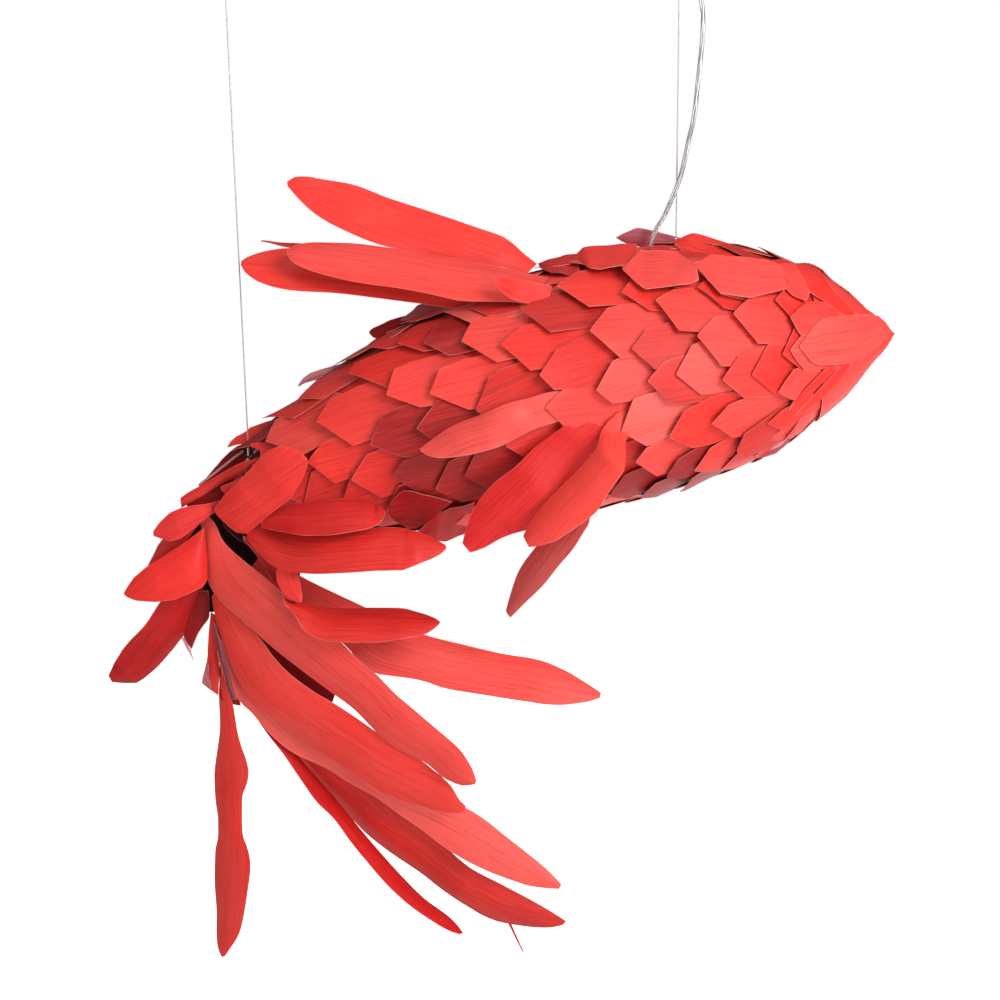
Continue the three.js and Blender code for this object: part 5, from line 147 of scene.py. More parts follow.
    "dorsal_strip_01": {"curl":5,"tone":-0.03,"rows":[[-166.9,-7.9,-428.5,-182.6,-20.1,-443.7],[-175.6,-7.8,-422.1,-190.0,-20.2,-438.7],[-185.9,-7.1,-413.8,-199.3,-20.9,-434.5],[-193.5,-5.8,-406.7,-208.4,-22.2,-431.9],[-205.0,-4.2,-397.9,-217.7,-23.8,-430.2],[-215.8,-3.5,-393.1,-225.5,-24.5,-429.1],[-227.9,-2.8,-389.0,-236.3,-25.2,-427.9],[-237.1,-2.2,-386.0,-246.0,-25.8,-426.9],[-247.6,-1.6,-382.4,-258.4,-26.4,-425.1],[-256.3,-1.3,-379.4,-268.4,-26.7,-423.0],[-267.3,-1.0,-375.6,-279.8,-27.0,-420.2],[-276.8,-0.8,-372.5,-288.9,-27.3,-418.1],[-288.5,-0.5,-368.7,-299.9,-27.9,-416.0],[-297.9,-0.2,-365.5,-309.2,-28.4,-414.4],[-309.2,0.1,-361.8,-320.6,-29.2,-412.6],[-318.3,0.3,-358.9,-330.3,-29.8,-411.0],[-329.0,0.4,-355.3,-342.2,-30.6,-408.7],[-337.4,0.4,-352.6,-352.5,-31.0,-406.2],[-346.9,0.1,-349.3,-364.8,-31.4,-402.1],[-354.9,-0.2,-346.2,-374.8,-31.6,-398.2],[-365.4,-0.5,-341.9,-385.6,-31.9,-393.5],[-374.9,-0.9,-338.2,-393.9,-32.1,-389.7],[-386.9,-1.8,-334.5,-403.4,-31.9,-385.2],[-396.5,-3.0,-332.6,-412.1,-31.5,-380.6],[-407.3,-4.7,-331.0,-422.8,-30.7,-374.2],[-416.0,-6.4,-329.8,-431.7,-29.7,-367.8],[-427.1,-8.8,-328.1,-441.3,-28.4,-359.5],[-438.2,-10.9,-325.9,-448.2,-27.1,-352.8],[-453.9,-14.4,-326.3,-455.8,-24.7,-344.4],[-463.5,-18.7,-332.1,-462.6,-21.3,-336.8]]},
    "dorsal_strip_02": {"curl":5,"tone":0.28,"rows":[[-154.7,-49.0,-444.4,-176.4,-83.0,-474.9],[-166.8,-48.6,-441.6,-182.8,-81.5,-473.8],[-181.2,-47.7,-438.4,-190.3,-80.2,-472.5],[-192.0,-46.5,-436.0,-197.9,-79.8,-471.7],[-203.7,-44.6,-433.5,-208.6,-79.6,-471.2],[-213.2,-43.1,-431.5,-217.7,-79.6,-470.9],[-224.5,-41.3,-429.3,-228.8,-79.6,-470.7],[-233.8,-39.9,-427.6,-238.2,-79.6,-470.5],[-244.7,-38.4,-425.5,-249.6,-79.6,-470.1],[-253.0,-37.4,-424.0,-260.0,-79.4,-469.1],[-263.2,-36.8,-422.0,-271.9,-78.8,-466.8],[-272.6,-36.6,-420.3,-280.9,-78.1,-464.7],[-284.2,-36.2,-418.2,-291.5,-77.3,-462.4],[-293.8,-35.9,-416.6,-300.4,-76.8,-460.7],[-305.1,-35.5,-414.7,-311.3,-76.2,-458.7],[-314.7,-35.1,-413.2,-320.2,-75.8,-457.2],[-326.3,-34.7,-411.4,-331.0,-75.4,-455.5],[-335.9,-34.3,-410.0,-340.0,-75.1,-454.3],[-347.3,-34.0,-408.5,-351.0,-74.8,-452.9],[-356.5,-33.7,-407.3,-360.4,-74.5,-451.6],[-367.7,-33.5,-405.8,-371.7,-74.1,-449.9],[-377.1,-33.5,-404.7,-380.8,-73.6,-448.3],[-388.7,-33.8,-403.7,-391.6,-72.8,-446.3],[-398.1,-34.3,-403.3,-400.8,-71.8,-444.3],[-409.2,-35.1,-403.0,-412.1,-70.5,-441.6],[-418.4,-35.9,-402.8,-421.5,-69.3,-439.1],[-429.6,-37.3,-402.7,-432.6,-67.5,-435.5],[-439.7,-39.3,-403.4,-442.1,-65.3,-431.7],[-452.1,-43.2,-405.9,-454.7,-61.0,-425.1],[-460.5,-49.9,-411.8,-460.9,-54.1,-416.4]]},
    "dorsal_strip_03": {"curl":4,"tone":-0.02,"rows":[[-235.1,-10.0,-442.7,-237.2,-38.0,-476.4],[-244.4,-8.7,-440.8,-246.0,-39.6,-478.0],[-255.1,-7.5,-438.6,-256.8,-41.3,-479.3],[-263.5,-6.9,-437.0,-266.2,-42.4,-479.7],[-273.0,-6.5,-435.3,-278.1,-43.2,-479.2],[-281.3,-6.5,-433.9,-287.5,-43.5,-478.0],[-291.9,-6.8,-432.1,-298.2,-43.7,-476.2],[-301.1,-6.9,-430.7,-306.7,-43.9,-474.8],[-311.7,-7.0,-428.9,-317.4,-44.3,-473.4],[-320.5,-7.1,-427.4,-326.2,-44.6,-472.1],[-331.2,-7.2,-425.5,-336.7,-45.0,-470.6],[-340.2,-7.3,-424.0,-345.4,-45.3,-469.3],[-351.1,-7.5,-422.2,-355.7,-45.7,-467.9],[-360.1,-7.7,-420.9,-364.4,-46.0,-466.8],[-370.8,-7.9,-419.3,-374.8,-46.4,-465.4],[-379.8,-8.1,-418.1,-383.5,-46.6,-464.3],[-390.7,-8.2,-416.6,-393.9,-47.0,-463.1],[-399.6,-8.2,-415.3,-402.7,-47.3,-462.2],[-410.8,-8.1,-413.6,-412.8,-47.8,-461.4],[-420.4,-7.9,-412.4,-421.0,-48.1,-460.9],[-431.8,-7.8,-411.6,-431.0,-48.2,-460.4],[-440.8,-7.8,-411.1,-440.0,-48.2,-459.9],[-451.3,-8.0,-410.7,-450.8,-48.0,-459.1],[-460.0,-8.3,-410.5,-459.9,-47.7,-458.1],[-471.0,-9.1,-410.6,-470.4,-46.9,-456.3],[-479.9,-10.3,-411.6,-479.3,-45.7,-454.3],[-489.9,-12.4,-413.2,-490.7,-43.6,-450.9],[-498.6,-14.9,-415.2,-500.7,-41.1,-446.6],[-510.1,-20.1,-419.4,-512.6,-35.9,-438.2],[-518.2,-26.0,-424.8,-518.5,-30.0,-429.4]]},
    "dorsal_strip_04": {"curl":2,"tone":-0.66,"rows":[[-332.0,11.8,-419.1,-331.4,0.2,-426.2],[-337.1,12.1,-418.5,-336.8,0.1,-425.8],[-343.3,12.5,-417.7,-343.3,0.1,-425.4],[-348.5,12.8,-417.1,-348.7,0.0,-424.9],[-354.9,13.1,-416.3,-355.0,0.0,-424.3],[-360.2,13.3,-415.7,-360.3,0.1,-423.8],[-366.5,13.5,-415.0,-366.6,0.1,-423.2],[-371.8,13.7,-414.3,-371.9,0.2,-422.6],[-378.1,13.8,-413.6,-378.2,0.4,-421.8],[-383.4,14.0,-413.0,-383.5,0.5,-421.2],[-389.8,14.1,-412.2,-389.8,0.7,-420.4],[-395.1,14.1,-411.6,-395.1,0.9,-419.7],[-401.4,14.1,-410.9,-401.5,1.2,-418.8],[-406.6,14.0,-410.3,-406.7,1.6,-417.9],[-412.9,13.8,-409.6,-413.0,2.1,-416.7],[-418.2,13.7,-409.0,-418.3,2.5,-415.8],[-424.5,13.5,-408.2,-424.6,2.9,-414.8],[-429.8,13.5,-407.6,-429.8,3.1,-414.0],[-436.2,13.6,-406.7,-436.1,3.3,-413.1],[-441.4,13.8,-406.0,-441.3,3.4,-412.4],[-447.8,13.9,-405.1,-447.6,3.6,-411.5],[-453.1,14.0,-404.5,-452.9,3.8,-410.8],[-459.5,13.8,-404.0,-459.1,4.3,-409.9],[-464.8,13.6,-403.7,-464.4,4.7,-409.2],[-471.1,13.3,-403.3,-470.9,5.4,-408.2],[-476.3,12.9,-402.9,-476.2,6.0,-407.2],[-482.5,12.2,-402.2,-482.6,7.0,-405.4],[-487.7,11.7,-401.5,-487.7,7.8,-403.9],[-494.1,11.2,-400.9,-493.9,8.5,-402.6],[-499.4,10.9,-400.6,-499.2,9.1,-401.6]]},
    "pectoral_near_01": {"curl":5,"tone":0.59,"rows":[[-120.8,-151.4,-568.3,-113.0,-182.6,-599.3],[-126.7,-151.0,-568.4,-118.9,-184.3,-601.7],[-133.7,-150.5,-568.7,-126.0,-186.2,-604.4],[-139.6,-150.2,-569.0,-131.8,-187.6,-606.5],[-146.7,-150.0,-569.6,-138.9,-189.0,-608.9],[-153.1,-149.8,-570.3,-144.1,-190.0,-610.5],[-161.6,-150.1,-572.4,-149.6,-190.6,-612.1],[-167.6,-150.5,-574.3,-155.1,-190.8,-613.6],[-174.1,-150.9,-576.5,-162.3,-190.8,-615.6],[-179.4,-151.1,-578.0,-168.5,-190.9,-617.3],[-186.3,-151.1,-579.8,-175.5,-190.9,-619.2],[-192.2,-151.0,-581.3,-181.2,-191.0,-620.8],[-199.6,-150.9,-583.3,-187.7,-190.8,-622.6],[-206.0,-150.9,-585.4,-192.9,-190.6,-624.0],[-213.1,-151.0,-588.2,-199.3,-190.0,-625.7],[-218.8,-151.2,-590.5,-205.0,-189.4,-627.3],[-225.4,-151.4,-593.4,-212.0,-188.6,-629.2],[-231.0,-151.5,-595.6,-217.9,-188.0,-630.9],[-237.6,-151.4,-598.1,-225.0,-187.5,-633.0],[-243.1,-151.3,-600.0,-230.9,-187.0,-634.7],[-249.8,-151.1,-602.4,-238.0,-186.3,-636.6],[-255.5,-151.1,-604.6,-243.9,-185.4,-638.0],[-262.6,-151.2,-607.8,-250.6,-183.8,-639.2],[-268.5,-151.4,-611.0,-256.1,-182.1,-640.2],[-274.7,-151.9,-615.0,-263.6,-179.6,-641.5],[-279.5,-152.4,-618.4,-270.1,-177.3,-642.3],[-285.0,-153.1,-622.3,-278.6,-174.1,-642.9],[-290.0,-154.2,-625.8,-286.0,-170.8,-642.3],[-296.4,-156.3,-630.5,-294.7,-166.0,-640.2],[-301.7,-158.6,-634.5,-300.4,-161.4,-637.0]]},
    "pectoral_near_02": {"curl":5,"tone":-0.29,"rows":[[-126.5,-157.0,-602.9,-84.6,-157.0,-615.3],[-129.9,-157.3,-605.3,-87.4,-157.3,-623.7],[-133.9,-157.5,-608.2,-91.5,-157.5,-633.7],[-135.9,-157.7,-609.5,-96.1,-157.7,-643.2],[-142.6,-157.8,-614.4,-99.6,-157.8,-649.6],[-146.6,-157.9,-617.3,-103.8,-157.9,-656.3],[-152.2,-157.9,-621.3,-108.6,-157.9,-663.5],[-157.2,-158.0,-624.8,-112.4,-158.0,-669.1],[-163.1,-158.0,-629.2,-117.1,-158.0,-675.5],[-168.1,-158.0,-633.0,-121.2,-158.0,-680.8],[-173.9,-158.0,-637.7,-126.2,-158.0,-686.7],[-178.5,-157.9,-641.7,-130.6,-157.9,-691.7],[-183.7,-157.6,-646.2,-136.4,-157.6,-697.7],[-187.7,-157.3,-649.8,-141.7,-157.3,-702.8],[-192.4,-156.9,-653.7,-148.7,-156.9,-708.8],[-196.4,-156.4,-657.0,-154.7,-156.4,-713.5],[-201.1,-155.9,-660.6,-162.3,-155.9,-719.0],[-203.7,-155.3,-662.5,-170.7,-155.3,-724.0],[-213.4,-154.7,-670.1,-173.4,-154.7,-725.3],[-217.8,-154.2,-673.9,-182.0,-154.2,-728.2],[-218.5,-153.6,-674.7,-196.7,-153.6,-732.2],[-229.6,-153.0,-686.5,-197.0,-153.0,-732.4],[-236.5,-152.2,-696.1,-197.1,-152.2,-732.6],[-238.0,-151.5,-698.7,-205.0,-151.5,-735.8],[-242.4,-150.7,-707.0,-211.4,-150.7,-738.9],[-246.5,-149.9,-717.0,-213.8,-149.9,-740.3],[-248.5,-148.9,-722.9,-222.8,-148.9,-745.8],[-250.4,-148.0,-729.2,-229.8,-148.0,-749.7],[-252.7,-146.9,-737.9,-238.3,-146.9,-753.1],[-254.2,-146.0,-744.3,-245.6,-146.0,-755.3]]},
    "pectoral_near_03": {"curl":6,"tone":0.97,"rows":[[-73.4,-156.8,-595.0,-46.5,-189.2,-612.1],[-78.1,-157.2,-598.2,-48.8,-193.0,-617.5],[-83.4,-158.2,-602.7,-51.9,-196.9,-623.8],[-87.6,-159.2,-606.5,-54.8,-199.7,-628.8],[-93.4,-161.3,-615.5,-56.4,-202.0,-631.1],[-95.2,-163.7,-620.3,-59.9,-203.0,-636.2],[-96.9,-166.4,-624.7,-65.2,-203.9,-643.3],[-99.0,-168.3,-628.5,-69.8,-204.5,-648.3],[-103.1,-169.9,-634.1,-74.1,-205.6,-653.4],[-106.8,-170.5,-638.5,-77.3,-206.6,-657.9],[-111.0,-170.8,-643.7,-81.4,-207.5,-663.6],[-114.6,-171.1,-647.8,-84.8,-208.2,-668.4],[-119.1,-171.2,-652.9,-88.8,-209.1,-674.0],[-123.0,-171.2,-657.2,-92.0,-209.9,-678.6],[-128.1,-171.0,-662.6,-95.4,-211.0,-683.9],[-132.2,-170.6,-666.8,-98.2,-212.0,-688.7],[-135.9,-170.3,-670.6,-102.9,-212.9,-695.7],[-138.2,-170.5,-672.9,-108.5,-213.1,-701.4],[-142.7,-171.0,-677.2,-114.5,-212.9,-706.2],[-146.7,-171.4,-681.2,-119.0,-212.6,-709.7],[-151.5,-171.8,-685.8,-124.6,-212.2,-714.0],[-155.6,-172.1,-689.8,-129.2,-211.8,-717.4],[-161.0,-172.6,-695.3,-134.2,-211.1,-721.1],[-165.0,-173.1,-699.7,-138.6,-210.4,-724.4],[-169.0,-173.7,-704.5,-144.7,-209.5,-729.0],[-171.9,-174.6,-708.0,-150.9,-208.2,-732.6],[-176.1,-176.4,-714.0,-157.4,-205.8,-735.3],[-179.2,-178.4,-719.1,-163.8,-203.3,-737.4],[-182.5,-181.2,-725.2,-172.2,-199.6,-739.5],[-184.8,-183.6,-730.1,-178.7,-196.4,-740.7]]},
    "pectoral_near_04": {"curl":4,"tone":0.99,"rows":[[-105.8,-94.4,-690.0,-78.5,-141.6,-683.6],[-108.3,-97.6,-691.8,-85.6,-137.4,-691.0],[-109.1,-99.7,-692.1,-92.5,-134.2,-699.6],[-112.3,-98.4,-695.4,-96.5,-134.4,-705.2],[-117.3,-96.5,-700.5,-100.1,-135.0,-710.9],[-121.4,-94.8,-704.8,-103.2,-135.6,-715.7],[-126.3,-92.9,-709.9,-107.0,-136.1,-721.4],[-130.4,-91.2,-714.1,-110.2,-136.6,-726.2],[-135.5,-89.1,-719.1,-113.9,-137.2,-731.9],[-139.9,-87.2,-723.5,-116.8,-137.8,-736.5],[-145.2,-84.9,-729.0,-120.1,-138.5,-742.1],[-149.3,-83.3,-733.7,-122.9,-138.8,-746.7],[-153.6,-81.9,-739.2,-126.9,-138.4,-752.6],[-156.9,-81.3,-743.7,-130.7,-137.4,-757.5],[-161.0,-81.0,-749.4,-135.2,-135.8,-762.8],[-164.4,-80.8,-754.4,-139.0,-134.4,-767.2],[-168.5,-80.5,-760.4,-143.5,-132.7,-772.6],[-172.0,-80.0,-765.3,-146.9,-131.7,-777.0],[-176.3,-79.2,-771.2,-151.0,-130.7,-782.6],[-179.9,-78.5,-776.1,-154.4,-130.0,-787.2],[-184.1,-78.0,-782.3,-158.4,-129.0,-792.7],[-187.4,-77.9,-787.5,-161.8,-127.8,-797.2],[-190.8,-78.5,-794.2,-166.1,-125.7,-802.5],[-193.2,-79.6,-799.8,-169.9,-123.5,-807.0],[-195.7,-81.3,-806.5,-174.8,-120.3,-812.6],[-197.6,-83.0,-812.1,-178.9,-117.5,-817.2],[-199.7,-85.2,-818.9,-183.8,-114.0,-822.9],[-201.2,-87.1,-824.2,-188.2,-111.1,-827.9],[-202.8,-89.4,-830.2,-194.0,-107.6,-834.4],[-203.8,-90.9,-834.9,-198.8,-105.1,-839.8]]},
    "pectoral_far_01": {"curl":5,"tone":0,"rows":[[-92.8,183.2,-597.3,-92.1,140.8,-630.2],[-100.3,184.4,-598.2,-97.9,141.1,-631.7],[-109.4,185.8,-599.5,-104.8,141.4,-633.4],[-116.6,186.9,-600.5,-110.9,141.7,-635.0],[-124.9,188.2,-601.9,-118.6,142.0,-636.9],[-131.7,189.1,-603.0,-125.0,142.2,-638.6],[-140.0,190.2,-604.5,-132.6,142.5,-640.6],[-147.0,191.0,-605.9,-138.9,142.7,-642.3],[-155.3,191.9,-607.7,-146.5,142.9,-644.4],[-162.2,192.5,-609.2,-152.9,143.0,-646.2],[-170.2,193.1,-611.0,-160.7,143.2,-648.4],[-176.9,193.4,-612.6,-167.3,143.4,-650.1],[-184.8,193.7,-614.6,-175.2,143.8,-652.0],[-191.5,193.8,-616.4,-181.9,144.2,-653.6],[-199.5,193.8,-618.6,-189.8,144.7,-655.3],[-206.1,193.7,-620.5,-196.4,145.3,-656.7],[-214.0,193.4,-622.8,-204.5,146.0,-658.3],[-220.7,193.0,-624.9,-211.1,146.6,-659.5],[-228.8,192.5,-627.4,-218.9,147.4,-660.9],[-235.3,191.9,-629.6,-225.6,148.1,-662.2],[-242.9,191.1,-632.2,-233.9,148.9,-663.6],[-249.1,190.2,-634.3,-241.1,149.7,-664.6],[-256.5,188.6,-636.9,-249.8,151.0,-665.2],[-263.0,187.1,-639.3,-256.7,152.4,-665.3],[-270.9,185.0,-642.2,-264.9,154.0,-665.5],[-277.3,183.3,-644.8,-271.9,155.4,-665.7],[-284.9,181.0,-647.8,-280.3,157.0,-665.9],[-291.0,178.8,-650.4,-288.0,158.7,-665.6],[-299.0,174.8,-653.9,-296.5,161.9,-663.5],[-305.8,171.4,-656.9,-302.9,164.6,-661.4]]},
    "pectoral_far_02": {"curl":5,"tone":-0.1,"rows":[[-80.2,167.6,-639.4,-53.5,132.4,-663.1],[-83.6,168.1,-641.4,-57.9,131.9,-667.6],[-87.7,168.7,-643.7,-63.5,131.3,-672.8],[-91.3,169.2,-645.8,-67.9,130.8,-676.8],[-96.3,169.8,-648.6,-72.9,130.2,-681.0],[-100.6,170.2,-651.0,-76.9,129.8,-684.4],[-105.7,170.7,-653.9,-81.9,129.3,-688.3],[-109.9,171.0,-656.3,-86.2,129.0,-691.5],[-115.0,171.4,-659.1,-91.5,128.6,-695.3],[-119.3,171.6,-661.4,-95.8,128.4,-698.3],[-124.6,171.9,-664.3,-101.1,128.1,-701.7],[-129.0,171.9,-666.7,-105.4,127.9,-704.5],[-134.3,171.7,-669.8,-110.6,127.5,-707.6],[-138.7,171.3,-672.4,-115.0,127.2,-710.1],[-143.9,170.8,-675.4,-120.5,126.9,-713.1],[-148.1,170.2,-678.0,-125.1,126.6,-715.6],[-153.2,169.3,-681.2,-130.7,126.3,-718.3],[-157.5,168.5,-683.9,-135.2,126.1,-720.5],[-162.7,167.4,-687.3,-140.8,125.9,-723.1],[-166.6,166.5,-690.0,-145.7,125.9,-725.2],[-171.5,165.3,-693.2,-151.7,126.0,-727.6],[-175.4,164.1,-696.0,-156.9,126.2,-729.4],[-180.5,162.4,-699.7,-162.7,126.6,-731.1],[-184.6,160.9,-702.9,-167.7,127.1,-732.6],[-189.5,158.9,-707.0,-173.5,127.7,-734.1],[-193.4,157.0,-710.4,-178.8,128.5,-735.2],[-196.4,154.2,-713.1,-187.4,129.8,-735.9],[-202.0,151.4,-719.6,-190.3,131.5,-736.1],[-205.9,147.2,-725.2,-197.9,134.1,-736.0],[-208.6,143.7,-730.0,-203.4,136.3,-735.5]]},
}
